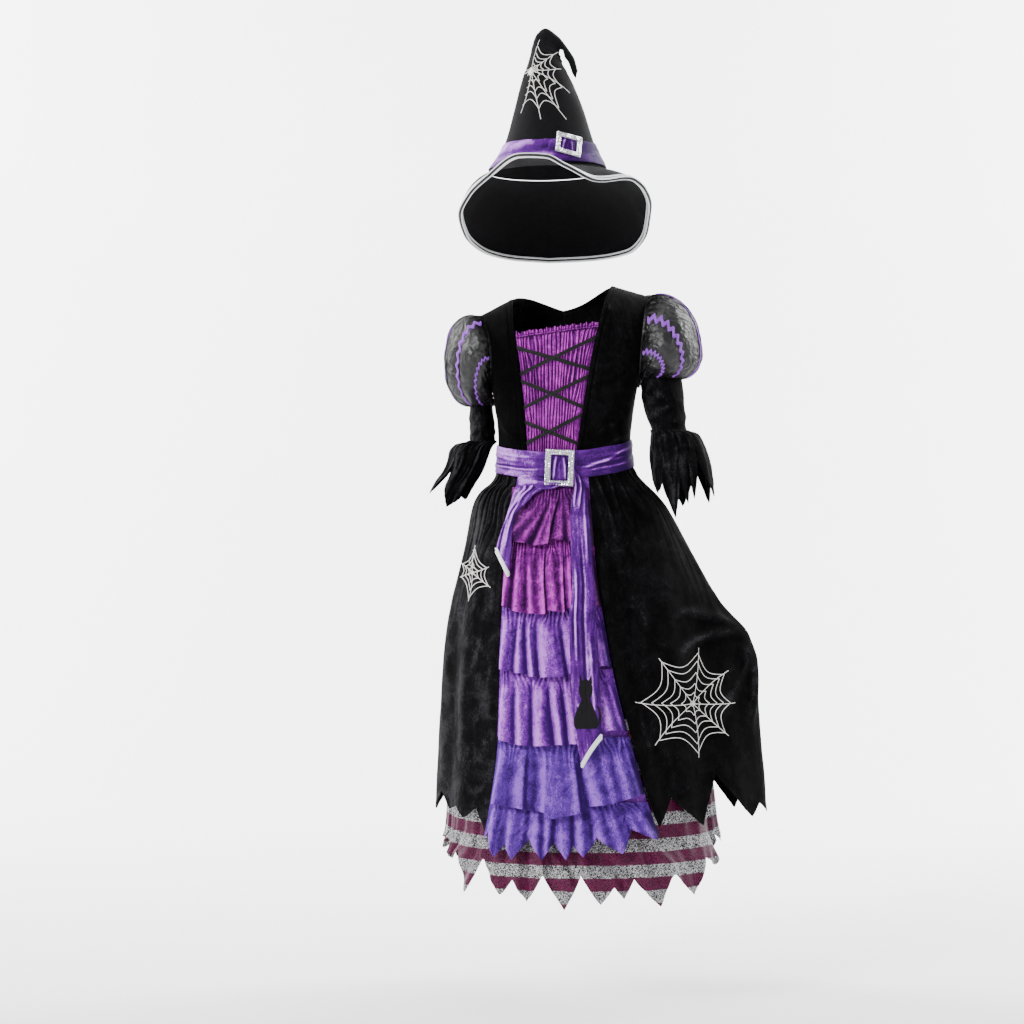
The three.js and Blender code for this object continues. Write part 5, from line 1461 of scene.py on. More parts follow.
@dataclass
class Bodice:
    """The upper dress: two black fronts, the back, the gathered insert with its frill, and the lacing."""

    insert_top: dict[int, float] = field(default_factory=lambda: {RIGHT: -56.0, LEFT: -40.0})
    sink: float = 3.2
    laces: tuple[tuple[float, float, bool], ...] = (
        (-76, -110, False), (-118, -60, True), (-124, -166, False), (-167, -117, True), (-184, -219, False),
        (-219, -173, True),
    )
    lace_half: float = 2.8
    folds: tuple[Crease, ...] = (
        Crease(-106, -137, -66, -134, 3.5, 2.0, 8, 1.6), Crease(-104, -150, -76, -206, 4, 1.5, -4),
        Crease(-98, -186, -62, -222, 3.5, 1.3, 3), Crease(-104, -172, -82, -232, 4.5, -1.4, 2),
        Crease(-112, -60, -92, -150, 6, 1.3, 3), Crease(-90, -20, -84, -110, 5, 1.0, 3),
        Crease(60, -10, 96, -70, 5, 1.1, -4), Crease(84, -20, 108, -96, 4, 1.2, 3),
        Crease(98, -112, 52, -150, 8, 1.2, 5),
        Crease(96, -168, 40, -205, 6, 1.1, 4), Crease(98, -200, 62, -228, 4, 1.2, -3),
        Crease(30, -214, 80, -232, 4, -0.9, 2),
    )
    noise: Crumple = field(default_factory=lambda: Crumple(31))
    crinkle: Crumple = field(default_factory=lambda: Crumple(32))

    def soft(self, phi: Array, s: Array) -> Array:
        """The fronts' and back's small softness, which fades at the waist under the belt."""
        arc = phi * 100
        return 0.5 * self.noise.layered(arc / 34 + 9, s / 30, 3) * ease((s - WAIST - 22) / 20)

    def front(self, side: int) -> bpy.types.Object:
        """A black front, from its lapel to the armhole and from the waist to the shoulder."""

        def angle(u: Array, s: Array) -> Array:
            """The turn at the share u from the lapel to the armhole."""
            edge = front_angle(lapel(side, s), s) + side * seam_angle(s)
            return mix(edge, side * (armhole_angle(side, s) - seam_angle(s)), u)

        def place(u: Array, v: Array) -> tuple[Array, Array]:
            """The height runs from the waist to the shoulder line, found in 24 rounds."""
            s = np.zeros(u.shape)
            for _ in range(24):
                s = shoulder(form_point(angle(u, s), s)[..., 0])
            s = mix(WAIST, s - SEAM / 2, v)
            return angle(u, s), s

        def lift(u: Array, v: Array) -> Array:
            """Listed folds, a turned edge along the lapel and a seam at the side."""
            phi, s = place(u, v)
            x = form_point(phi, s)[..., 0]
            inland = np.abs(x - lapel(side, s))
            hem = 0.55 * ease((7 - inland) / 2.5) - 0.5 * bell((inland - 7.5) / 1.1)
            fade = ease((s - WAIST - 22) / 14) * ease((1 - u) / 0.12)
            return relief(self.folds, x, s) * fade * ease(inland / 8) + self.soft(phi,
                s) * ease(u / 0.1) * ease((1 - u) / 0.1) + hem * ease((1 - v) / 0.03)

        return Panel(
            f"bodice_front_{EDGE[side]}_cloth", bodice_point, place, steps(84), steps(150), lift=lift,
            chart=lambda u, v: (u * 95, v * 285),
        ).build()

    def back(self) -> bpy.types.Object:
        """The back, with a seam down its middle and soft folds at the waist and between the shoulders."""

        def angle(u: Array, s: Array) -> Array:
            """The turn at the share u from the left side seam to the right one."""
            start = np.pi - armhole_angle(LEFT, s) + seam_angle(s)
            return mix(start, np.pi + armhole_angle(RIGHT, s) - seam_angle(s), u)

        def place(u: Array, v: Array) -> tuple[Array, Array]:
            """The height runs from the waist to the shoulder line and the scooped neck."""
            s = np.zeros(u.shape)
            for _ in range(24):
                x = form_point(angle(u, s), s)[..., 0]
                edge = shoulder(np.sign(x) * NECK_POINT)
                s = np.where(np.abs(x) > NECK_POINT, shoulder(x),
                    mix(BACK_NECK, edge, (np.abs(x) / NECK_POINT) ** 2.5))
            s = mix(WAIST, s - SEAM / 2, v)
            return angle(u, s), s

        folds = [
            Crease(-70, -70, -20, -92, 8, 1.4, 4), Crease(72, -64, 22, -90, 8, 1.4, -4),
            Crease(-88, -150, -24, -196, 7, 1.6, 5),
            Crease(90, -146, 20, -190, 7, 1.6, -5), Crease(-60, -188, 30, -208, 5, 1.4, 4),
            Crease(64, -205, -20, -224, 4, 1.2, 3),
            Crease(-86, -40, -78, -120, 6, 1.2, 3), Crease(88, -34, 80, -116, 6, 1.2, -3),
        ]

        def lift(u: Array, v: Array) -> Array:
            """Folds, the seam's narrow trough, and a turned edge at the neck."""
            phi, s = place(u, v)
            x = form_point(phi, s)[..., 0]
            seam = -0.9 * bell(x / 1.3) + 0.35 * bell(x / 5)
            neck = 0.45 * ease((v - 0.965) / 0.012) * ease((NECK_POINT - np.abs(x)) / 8)
            fade = ease((s - WAIST - 22) / 14) * ease(u / 0.06) * ease((1 - u) / 0.06)
            return (relief(folds, x, s) + seam) * fade + neck + self.soft(phi, s) * fade

        return Panel(
            "bodice_back_cloth", bodice_point, place, steps(150), steps(130), lift=lift,
            chart=lambda u, v: (u * 300, v * 270),
        ).build()

    def insert_place(self, u: Array, v: Array) -> tuple[Array, Array]:
        """The insert's turn and height, from lapel to lapel and from the waist to its sloping top edge."""
        z = mix(WAIST, mix(self.insert_top[RIGHT], self.insert_top[LEFT], u), v)
        start = front_angle(lapel(RIGHT, z), z) + seam_angle(z)
        return mix(start, front_angle(lapel(LEFT, z), z) - seam_angle(z), u), z

    def insert(self) -> bpy.types.Object:
        """The gathered insert: upright crinkles that waver and part, and a few slung folds at the top."""
        slung = [
            Crease(-70, -74, 10, -82, 4, 0.9, -9, 1.5), Crease(-52, -66, 40, -70, 3.5, 0.9, -10, 1.5),
            Crease(-30, -84, 44, -62, 3, 0.8, -8, 1.6), Crease(-72, -92, -20, -110, 4, 0.7, -6),
        ]

        def lift(u: Array, v: Array) -> Array:
            """Waves across the cloth whose phase wanders up and down it."""
            phi, z = self.insert_place(u, v)
            x = form_point(phi, z)[..., 0]
            wander = 1.9 * self.crinkle(u * 7, v * 3.2) + 0.8 * self.crinkle(u * 17, v * 7 + 5)
            wave = np.sin(2 * np.pi * (19 * u + 0.3 * wander + 1.4 * (u - 0.5) * v))
            wave = 0.7 * wave + 0.3 * np.sin(2 * np.pi * (41 * u + 0.8 * wander))
            height = 0.85 + 0.8 * self.crinkle(u * 9 + 3, v * 5) ** 2
            ends = np.minimum(1, 12 * np.minimum(u, 1 - u))
            return -self.sink + (height * wave + 0.45 * self.crinkle.layered(u * 12, v * 9, 3)
                + relief(slung, x, z)) * ends

        return Panel(
            "insert_cloth", bodice_point, self.insert_place, steps(220), steps(130), lift=lift, thick=1.1,
            chart=lambda u, v: (u * 150, v * 190),
        ).build()

    def frill(self) -> bpy.types.Object:
        """The frill on the insert's top edge, drawn in on an elastic line so that it waves above it."""
        below, above = 8.0, 0.5

        def place(u: Array, v: Array) -> tuple[Array, Array]:
            """Its top edge is uneven in height as well."""
            phi, z = self.insert_place(mix(0.012, 0.988, u), np.ones_like(v))
            rag = 1.0 * np.sin(2 * np.pi * 13 * u) + 0.8 * self.crinkle(u * 37, v * 0 + 2)
            return phi + 0.006 * np.sin(2 * np.pi * 17 * u) * v, z + mix(-below, above + rag, v)

        def lift(u: Array, v: Array) -> Array:
            """Waves that grow away from the elastic line, which is drawn in."""
            far = np.abs(v - 0.35) / 0.65
            phase = 2 * np.pi * (27 * u + 0.55 * self.crinkle(u * 14, v * 0))
            wave = (0.65 * np.sin(phase) + 0.35 * np.sin(1.9 * phase + 1)) * mix(0.25, 1.6, far)
            sunk = 4.2 * (1 - ease(v / 0.2))
            return 0.9 + wave + 0.6 * far - 1.0 * bell((v - 0.35) / 0.07) + 0.3 * self.crinkle.layered(u * 40,
                v * 4, 2) - sunk

        return Panel(
            "insert_frill_cloth", bodice_point, place, steps(300), steps(16), lift=lift, thick=0.8,
            chart=lambda u, v: (u * 200, v * 18),
        ).build()

    def lace(self, n: int) -> bpy.types.Object:
        """One stretch of ribbon, which comes from under one lapel and goes under the other."""
        right, left, over = self.laces[n]

        def place(u: Array, v: Array) -> tuple[Array, Array]:
            """A straight line in the front view, as wide as the ribbon."""
            z = mix(right, left, u) + mix(-self.lace_half, self.lace_half,
                v) * (1 + 0.06 * np.sin(21 * u + n))
            x = mix(lapel(RIGHT, np.array(right)) - 4, lapel(LEFT, np.array(left)) + 4, u)
            return front_angle(x, z), z

        def lift(u: Array, v: Array) -> Array:
            """It dips under the lapels, and rides over the other stretch where they cross."""
            ends = ease(np.minimum(u, 1 - u) / 0.1)
            cross = (1.5 if over else 0.0) * bell((u - (0.5 if n else 0.46)) / 0.13)
            return mix(-1.15, 0.75,
                ends) + cross + 0.35 * np.sin(9 * u + 2 * n) * (v - 0.5) - 0.25 * (2 * v - 1) ** 2

        return Panel(
            f"lacing_ribbon_{n + 1}", bodice_point, place, steps(56), steps(6), lift=lift, thick=0.7,
            chart=lambda u, v: (u * 130, v * 5.6),
        ).build()

    def build(self) -> None:
        """Makes and dresses the bodice."""
        sewn = ("bodice_back_cloth",)
        dress(self.back(), ["bodice_back"], "black_velvet", Finish.BLACK_VELVET,
              Cut(300, 290, Held.HUNG, ("bodice_front_left_cloth", "bodice_front_right_cloth"), 70000))
        for side, area in ((LEFT, 29000), (RIGHT, 19500)):
            dress(self.front(side), [f"bodice_front_{EDGE[side]}"], "black_velvet", Finish.BLACK_VELVET,
                  Cut(140, 300, Held.HUNG, sewn, area))
        dress(self.insert(), ["bodice_insert"], "magenta_velvet", Finish.MAGENTA,
              Cut(150, 190, Held.GATHERED, ("bodice_front_left_cloth", "bodice_front_right_cloth")))
        dress(self.frill(), ["insert_frill"], "magenta_velvet", Finish.MAGENTA,
              Cut(200, 11, Held.GATHERED, ("insert_cloth",)))
        for n in range(len(self.laces)):
            dress(self.lace(n), [f"lacing_{n + 1}"], "lacing_ribbon", Finish.RIBBON,
                  Cut(150, 10, Held.STRETCHED, ("insert_cloth",), 700))


# The sleeves.


@dataclass
class Arm:
    """One sleeve: the satin puff with its rickrack, the velvet tube and the ragged cuff."""

    side: int
    rows: tuple[tuple[float, ...], ...]
    puff_end: float
    sleeve_end: float
    upper: tuple[float, float]
    lower: tuple[float, float]
    forward: float
    braids: tuple[float, ...]
    tips: tuple[tuple[float, float], ...]
    seed: int
    lap: float = 2.7
    inset: float = 2.6

    def __post_init__(self) -> None:
        """Sets up the arm's table and its noise."""
        self.key = EDGE[self.side]
        self.ring = Table("x y wide deep", self.rows)
        self.noise = Crumple(self.seed, 24, 48)
        self.hem = np.array(self.tips, float)

    def arm_point(self, phi: Array, z: Array) -> Array:
        """The arm at the turn phi from the front and height z: level ellipses."""
        at = lambda name: self.ring(name, z)
        return xyz(at("x") + at("wide") * np.sin(phi), at("y") - at("deep") * np.cos(phi), z)

    def armhole_point(self, psi: Array) -> Array:
        """The armhole's ring. psi is 0 at the shoulder tip, pi / 2 at the front and pi at the armpit."""
        tip = shoulder(self.side * SHOULDER_TIP)
        s = mix(ARMPIT, tip, (1 + np.cos(psi)) / 2)
        angle = armhole_angle(self.side, s)
        phi = self.side * np.where(np.sin(psi) > 0, angle, np.pi - angle)
        return bodice_point(phi, s) + normal(bodice_point, phi, s) * self.lap

    def puff_point(self, psi: Array, t: Array) -> Array:
        """The puff from the armhole at t = 0 to the tube at t = 1: a cubic Bezier curve for each psi."""
        outer = (1 + np.cos(psi)) / 2
        start = self.armhole_point(psi)
        end = self.arm_point(self.side * (np.pi / 2 - psi), flat(psi, t) + self.puff_end)
        spread = -self.forward * np.sin(psi)
        high = start + xyz(self.side * self.upper[0] * outer, spread, mix(-2, self.upper[1], outer))
        low = end + xyz(self.side * mix(2, self.lower[0], outer), spread, mix(5, self.lower[1], outer))
        full = np.asarray(t)[..., None]
        t = np.clip(full, 0, 1)
        r = 1 - t
        tucked = np.clip(-full, 0, 1) * xyz(-self.side * 120.0, 0, 0)
        return r**3 * start + 3 * r * r * t * high + 3 * r * t * t * low + t**3 * end + tucked

    def puff_lift(self, psi: Array, t: Array) -> Array:
        """The satin's relief: drawn in at both ends, swollen between the braids, and crumpled all over."""
        turn = np.mod(psi, 2 * np.pi) / (2 * np.pi)
        ends = np.exp(-t / 0.13) + np.exp((t - 1) / 0.13)
        phase = 2 * np.pi * (19 * turn + 0.7 * self.noise(turn * 24, t * 2))
        gather = 2.0 * (0.6 * np.sin(phase) + 0.4 * np.sin(2 * phase + 1.3)) * ends * ease(t / 0.05)
        swell = np.sin(np.pi * np.clip(t, 0, 1)) ** 0.7
        dips = sum(bell(apart(np.degrees(psi), line) / 8) for line in self.braids)
        crumple = 1.5 * (self.noise.creased(turn * 12 + 2.2 * self.noise(turn * 6, t * 3), t * 5) - 0.7)
        crumple = crumple + 0.9 * self.noise.layered(turn * 12, t * 7 + 3, 3)
        near = 1 - 0.65 * np.clip(dips, 0, 1)
        return gather + swell * (2.2 - 3.2 * np.clip(dips, 0, 1) + 1.3 * crumple * near) - 1.2 * (1
            - ease(t / 0.05))

    def puff(self) -> bpy.types.Object:
        """The puff."""
        return Panel(
            f"puff_{self.key}_satin", self.puff_point, lambda u, v: (2 * np.pi * u, mix(-0.06, 1, v)),
            steps(240), steps(100),
            side=self.side, wrap=True, thick=0.9, chart=lambda u, v: (u * 420, v * 150),
            lift=lambda u, v: -0.9 + self.puff_lift(2 * np.pi * u, np.clip(mix(-0.06, 1, v), 0, 1)),
        ).build()

    def rickrack(self, n: int) -> bpy.types.Object:
        """A wavy braid down the puff, rounded in section, which follows the satin under it."""
        line = math.radians(self.braids[n])
        waves, girth = 10.5, 60.0

        def place(u: Array, v: Array) -> tuple[Array, Array]:
            """Its middle swings to and fro as a sine."""
            swing = 2.3 * np.sin(2 * np.pi * waves * u)
            return mix(0.04, 0.96, u), line + (swing + (v - 0.5) * 2 * 2.9) / girth

        def lift(u: Array, v: Array) -> Array:
            """It lies on the satin."""
            t, psi = place(u, v)
            return self.puff_lift(flat(psi, t) + line, t) + 0.05

        return Panel(
            f"rickrack_{self.key}_{n + 1}_braid", lambda t, psi: self.puff_point(psi, t), place, steps(200),
            steps(6),
            side=-self.side, lift=lift, thick=lambda u,
            v: 0.35 + 1.25 * np.sqrt(np.clip(1 - (2 * v - 1) ** 2, 0, 1)),
            chart=lambda u, v: (u * 150, v * 4.6),
        ).build()

    def sleeve(self) -> bpy.types.Object:
        """The velvet tube, creased where the elbow bends."""
        span = self.puff_end + 1.5 - self.sleeve_end
        folds = [
            Crease(-70, 0.2, 45, 0.5, 13, 1.5, 0.0), Crease(-40, 0.72, 80, 0.45, 13, 1.4),
            Crease(10, 0.12, 110, 0.3, 12, 1.3),
            Crease(150, 0.3, 250, 0.55, 14, 1.5), Crease(200, 0.75, 290, 0.6, 13, 1.2),
            Crease(-100, 0.55, -20, 0.85, 12, 1.2),
        ]

        def lift(u: Array, v: Array) -> Array:
            """Slanting creases, which fade where the tube goes into the puff and the cuff."""
            turn = u * 360
            total = np.zeros_like(turn)
            for f in folds:
                middle = (f.x0 + f.x1) / 2
                across = apart(turn, middle)
                t = (across - (f.x0 - middle)) / (f.x1 - f.x0)
                off = (v - mix(f.y0, f.y1, t)) * span
                total = total + f.high * bell(off / 5.5) * ease(t / 0.3) * ease((1 - t) / 0.3)
            soft = 0.6 * self.noise.layered(u * 12, v * 4, 3)
            return -VELVET - self.inset + (total + soft) * ease(v / 0.14) * ease((1 - v) / 0.14)

        return Panel(
            f"sleeve_{self.key}_cloth", self.arm_point,
            lambda u, v: (2 * np.pi * u, mix(self.sleeve_end, self.puff_end + 1.5, v)), steps(120), steps(60),
            wrap=True, lift=lift, chart=lambda u, v: (u * 200, v * span),
        ).build()

    def cuff(self) -> bpy.types.Object:
        """The ragged flounce: petals cut to points, gathered at the top, whose tips curl in or out."""
        first, last = self.hem[0, 0], self.hem[-1, 0]

        def place(u: Array, v: Array) -> tuple[Array, Array]:
            """Each column runs from the cut edge to the seam."""
            at = mix(first, last, u)
            cut = petals(self.hem, at, 0.75) + 0.8 * self.noise(u * 24 * 5, v * 0)
            return np.radians(at), mix(cut, self.sleeve_end + 0.5, v)

        def lift(u: Array, v: Array) -> Array:
            """Gathers near the seam, hollows along each petal, and the curl of its tip."""
            at = mix(first, last, u)
            low, high = self.hem[:, 1].min(), self.hem[:, 1].max()
            reach = (high - petals(self.hem, at, 1)) / (high - low)
            gather = 1.1 * np.sin(2 * np.pi * (17 * u + 0.5 * self.noise(u * 24, v))) * np.exp(-(1 - v)
                / 0.22) * ease((1 - v) / 0.05)
            curl = 4.5 * self.noise(u * 24 * 0.5 + 3, v * 0 + 4) * (1 - v) ** 2 * reach
            hollow = 1.6 * self.noise.layered(u * 24, v * 2, 2) * ease((1 - v) / 0.3)
            return -VELVET + gather + curl + hollow

        return Panel(
            f"cuff_{self.key}_cloth", self.arm_point, place, steps(420), steps(36), wrap=True, lift=lift,
            thick=1.2, chart=lambda u, v: (u * 280, v * 80),
        ).build()

    def build(self) -> None:
        """Makes and dresses the sleeve."""
        key = self.key
        braids = [self.rickrack(n) for n in range(len(self.braids))]
        dress(self.puff(), [f"puff_{key}"], "black_satin", Finish.SATIN,
              Cut(440, 150, Held.GATHERED, (f"bodice_front_{key}_cloth", f"sleeve_{key}_cloth"),
                  46000 if key == "left" else 42000))
        for n, braid in enumerate(braids):
            dress(braid, [f"rickrack_{key}_{n + 1}"], "rickrack_braid", Finish.RICKRACK)
        dress(self.sleeve(), [f"sleeve_{key}"], "black_velvet", Finish.BLACK_VELVET,
              Cut(196, 90 if key == "left" else 50, Held.HUNG, (f"puff_{key}_satin",)))
        dress(self.cuff(), [f"cuff_{key}"], "black_velvet", Finish.BLACK_VELVET,
              Cut(330, 110, Held.GATHERED, (f"sleeve_{key}_cloth",), 25000 if key == "left" else 18500))


# The belt.


@dataclass
class Tail:
    """A free end of the belt: a hanging strip cut slantwise at its end, with a braid along the cut."""

    name: str
    rows: tuple[tuple[float, ...], ...]
    top: float
    end: tuple[float, float]
    folds: tuple[Crease, ...]
    seed: int
    stand: float

    def __post_init__(self) -> None:
        """Sets up the strip's table and its noise."""
        self.edge = Table("right left lift", self.rows)
        self.noise = Crumple(self.seed)

    def place(self, u: Array, v: Array) -> tuple[Array, Array]:
        """From the cut end at v = 0 to the top, between the strip's edges."""
        z = mix(mix(self.end[0], self.end[1], u), self.top, v)
        lift = self.edge("lift", z)
        return front_angle(mix(self.edge("right", z), self.edge("left", z), u), z, lift), z

    def lift(self, u: Array, v: Array) -> Array:
        """How far the strip hangs off the form, its lengthwise folds and its soft edges."""
        _, z = self.place(u, v)
        wide = self.edge("left", z) - self.edge("right", z)
        x = (u - 0.5) * wide
        soft = 0.45 * self.noise.layered(x / 9, z / 42, 3) - 0.5 * np.abs(2 * u - 1) ** 6
        return np.maximum(self.edge("lift", z), self.stand) + relief(self.folds, x, z) + soft

    def build(self) -> bpy.types.Object:
        """The strip."""
        run = self.top - min(self.end)
        return Panel(
            f"belt_tail_{self.name}_cloth", form_point, self.place, steps(44), steps(int(run / 2.2)),
            lift=self.lift,
            thick=1.3, chart=lambda u, v: (u * 42, v * run),
        ).build()

    def braid(self) -> list[bpy.types.Object]:
        """The braid: two twisted cords side by side along the cut, over both faces of the strip."""
        u = steps(60)
        cords = []
        for n, (drop, above) in enumerate(((0.4, 0.9), (-4.0, 0.9), (-1.8, -1.0))):
            phi, z = self.place(u, np.zeros(61))
            z = z - drop - 1.2
            phi = front_angle(mix(self.edge("right", self.place(u, np.zeros(61))[1]),
                    self.edge("left", self.place(u, np.zeros(61))[1]), u), z, self.edge("lift", z))
            out = normal(form_point, phi, z)
            path = form_point(phi, z) + out * (self.lift(u, np.zeros(61)) + above)[:, None]
            cords.append(tube(f"cord_{self.name}_{n}", path, out, circle(2.15, 10, 0.72), 9))
        return cords


@dataclass
class Belt:
    """The belt: band, buckle with the strap through it, a knotted fold, and two tails."""

    height: float = 40.0
    stand: float = 2.7
    creases: tuple[Crease, ...] = (
        Crease(10, -6, 92, -1, 2.2, 1.5, 2), Crease(12, -9, 84, 10, 2.4, 1.4, -2),
        Crease(12, -12, 100, -11, 2.2, 1.2, 1),
        Crease(40, 5, 150, 12, 2.6, 1.3, 1), Crease(60, -4, 170, 2, 2.2, -1.0, -1),
        Crease(14, -3, 60, -4, 1.5, -1.0),
        Crease(-160, -10, -24, -8.5, 1.8, 1.6, 1), Crease(-160, -7.5, -24, -6, 1.4, -1.3, 1),
        Crease(-150, 13, -20, 10, 2.4, 0.9, -1),
        Crease(-90, 3, -30, 0, 2.6, 0.7, 2), Crease(-170, 6, -70, 4, 2.4, 1.0, 1),
        Crease(180, 4, 300, 8, 2.6, 1.3, 2), Crease(170, -9, 290, -5, 2.4, 1.2, -2),
        Crease(250, 9, 370, 3, 2.6, 1.3, 2),
        Crease(300, -10, 440, -8, 2.4, 1.4, 1), Crease(330, 0, 420, 5, 2.2, -1.0, 2),
    )
    noise: Crumple = field(default_factory=lambda: Crumple(41, 20, 64))

    def middle(self, phi: Array) -> Array:
        """The height of the belt's middle: it dips at the front."""
        return -238 - 6.2 * np.cos(phi) + 4.8 * np.sin(phi) - 4.2 * np.cos(2 * phi)

    def lift(self, u: Array, v: Array) -> Array:
        """Creases that fan from the buckle, and long ones behind; x is the length round from the front."""
        degrees = apart(u * 360, 0)
        run = degrees * 1.55
        y = (v - 0.5) * self.height
        total = relief(self.creases, run, y) + relief(self.creases, np.where(run < 0, run + 558, 1e4), y)
        edge = -0.7 * np.abs(2 * v - 1) ** 8
        return self.stand + 0.1 + total + 0.4 * self.noise.layered(u * 20, y / 9, 3) + edge

    def band(self) -> bpy.types.Object:
        """The band round the waist."""

        def place(u: Array, v: Array) -> tuple[Array, Array]:
            """Its edges wander a little."""
            phi = 2 * np.pi * u
            wander = 0.7 * self.noise(u * 20, v * 0 + 3 * (v > 0.5))
            return phi, self.middle(phi) + (v - 0.5) * self.height + wander

        return Panel(
            "belt_band_cloth", form_point, place, steps(360), steps(44), wrap=True, lift=self.lift, thick=1.6,
            chart=lambda u, v: (u * 590, v * 40),
        ).build()

    def fold(self) -> bpy.types.Object:
        """The knotted fold under the buckle: a bent sheet that widens from the bar into the short tail."""
        line = Table("z half lift", [
            (-70, -277, 12.5, 6.5), (-60, -276.5, 12, 8.5), (-48, -277.5, 11, 9.5), (-34, -280.5, 8.5, 10.5),
            (-22, -283, 6, 11),
            (-12, -283, 3.6, 11.3), (-5.5, -280.5, 1.8, 11),
        ])

        def place(u: Array, v: Array) -> tuple[Array, Array]:
            """A strip along the fold's line, as wide as the table says."""
            x = mix(-70, -5.5, u)
            z = line("z", x) + (v - 0.5) * 2 * line("half", x)
            return front_angle(x, z, line("lift", x)), z

        def lift(u: Array, v: Array) -> Array:
            """Rolled at its edges, with creases that draw together towards the bar."""
            x, w = mix(-70, -5.5, u), 2 * v - 1
            draw = 0.9 * np.sin(5.2 * w + 0.8 + 1.4 * (1 - u)) * ease(u / 0.25) + 0.6 * bell((w + 0.35)
                / 0.16) * ease(u / 0.4)
            return line("lift",
                x) - 2.6 * w**2 * np.sqrt(line("half", x) / 8) + draw + 0.3 * self.noise.layered(u * 6, v * 4)

        return Panel(
            "belt_fold_cloth", form_point, place, steps(64), steps(30), lift=lift, thick=1.3,
            chart=lambda u, v: (u * 66, v * 24),
        ).build()

    def buckle(self) -> Buckle:
        """The buckle, turned a little to the wearer's left, with its lower edge standing further forward."""
        turn, lean = math.radians(5), math.radians(-6)
        across = np.array([math.cos(turn), -math.sin(turn), 0])
        up = np.array([0, 0, 1.0])
        up = up * math.cos(lean) + np.cross(across, up) * math.sin(lean)
        seat = form_point(front_angle(np.array(-8.5), np.array(-253.5)), np.array(-253.5))
        return Buckle(seat - np.array([0, 10, 0]), across, up, np.cross(across, up), 42.5, 54.5, 8.5, 4.5, -2,
            0)

    def build(self) -> None:
        """Makes and dresses the belt."""
        buckle = self.buckle()
        buckle.build("belt_buckle_stones", "belt_buckle")
        loop = buckle.strap("belt_loop_cloth", 13.2, 23.5, 2.4)
        long = Tail(
            "long",
            ((-254, 12.5, 14.5, 6.5), (-262, 13, 20, 6.5), (-269, 13.7, 24, 6.2), (-276, 13.7, 27.5, 6),
                (-286, 13, 31, 6.8),
             (-300, 9.5, 33, 9.8), (-320, 7, 34, 14.5), (-345, 6, 36, 19), (-370, 6.2, 37.6, 21.5),
             (-430, 8, 41.3, 22.5),
             (-476, 3, 43.8, 22.5), (-552, 4.7, 47.4, 22.5), (-627, 9.9, 49.6, 22.5), (-680, 20.6, 51, 22.5)),
            -254.0, (-680.0, -639.0),
            (Crease(3, -258, -1, -330, 1.8, 1.4, 1), Crease(-4, -262, -8, -320, 1.6, 1.2),
                Crease(7, -270, 9, -420, 2.4, 0.9, 1),
             Crease(-1, -330, 1, -640, 2.2, -1.3, 1.5), Crease(-9, -380, -10, -560, 2.6, 1.0, -1),
             Crease(-12, -420, -14, -520, 1.8, -1.0),
             Crease(10, -470, 12, -660, 3, 0.9, 1)),
            42, 5.3,
        )
        short = Tail(
            "short",
            ((-266, -58, -31.5, 5), (-269, -66, -31.5, 4.6), (-276, -70, -31.5, 4.8), (-288, -75, -33, 7.5),
                (-295, -77.5, -45, 9.5), (-308, -82, -58, 12.5),
             (-330, -89, -77, 17), (-356, -98, -81, 19), (-380, -104, -82, 19), (-414, -107, -85.8, 18)),
            -266.0, (-379.0, -414.0),
            (Crease(8, -272, 0, -318, 3, 1.6, -2), Crease(-8, -270, -4, -340, 2.6, 1.2, 2),
                Crease(2, -300, 2, -390, 2.4, 1.2, 1),
             Crease(-4, -330, -6, -400, 1.8, -1.0)),
            43, 2.6,
        )
        held = ("belt_band_cloth",)
        dress(self.band(), ["belt_band"], "belt_velvet", Finish.BELT,
            Cut(620, 44, Held.STRETCHED, ("bodice_front_left_cloth",)))
        dress(loop, ["belt_loop"], "belt_velvet", Finish.BELT, Cut(30, 52, Held.STRETCHED, held))
        dress(self.fold(), [], "belt_velvet", Finish.BELT, Cut(90, 40, Held.FOLDED, held, 1400))
        for tail, size in ((long, (40, 430)), (short, (32, 150))):
            dress(tail.build(), [f"belt_tail_{tail.name}"], "belt_velvet", Finish.BELT,
                Cut(*size, Held.HUNG, held))
            dress(joined(f"tail_braid_{tail.name}_cords", tail.braid()), [f"tail_braid_{tail.name}"],
                "silver_braid", Finish.SILVER)
        dress(self.cat(long), [], "belt_velvet", Finish.APPLIQUE)

    def cat(self, tail: Tail) -> bpy.types.Object:
        """A plain sitting cat seen from behind, cut from black felt: body, two ears and a curled tail."""
        side = Table("left right", [
            (-628, 12, 42), (-624, 9.6, 44), (-617, 9, 44.2), (-608, 11.2, 42), (-600, 14.6, 38.8),
            (-593, 18.2, 35.6),
            (-588, 20.4, 33.6), (-584, 19.2, 34.8), (-579, 17.2, 36.6), (-573, 16.6, 37.2), (-567, 18, 35.8),
            (-562, 21.6, 32.2),
            (-560, 24, 30),
        ])

        def on_tail(x: Array, z: Array) -> tuple[Array, Array, Array]:
            """The strip's outer face at x and z: the point, the way out, and the turn."""
            phi = front_angle(x, z, tail.edge("lift", z))
            u = (x - tail.edge("right", z)) / (tail.edge("left", z) - tail.edge("right", z))
            low = mix(tail.end[0], tail.end[1], u)
            lift = tail.lift(np.clip(u, 0, 1), (z - low) / (tail.top - low)) + 1.3
            out = normal(form_point, phi, z)
            return form_point(phi, z) + out * lift[..., None], out, phi

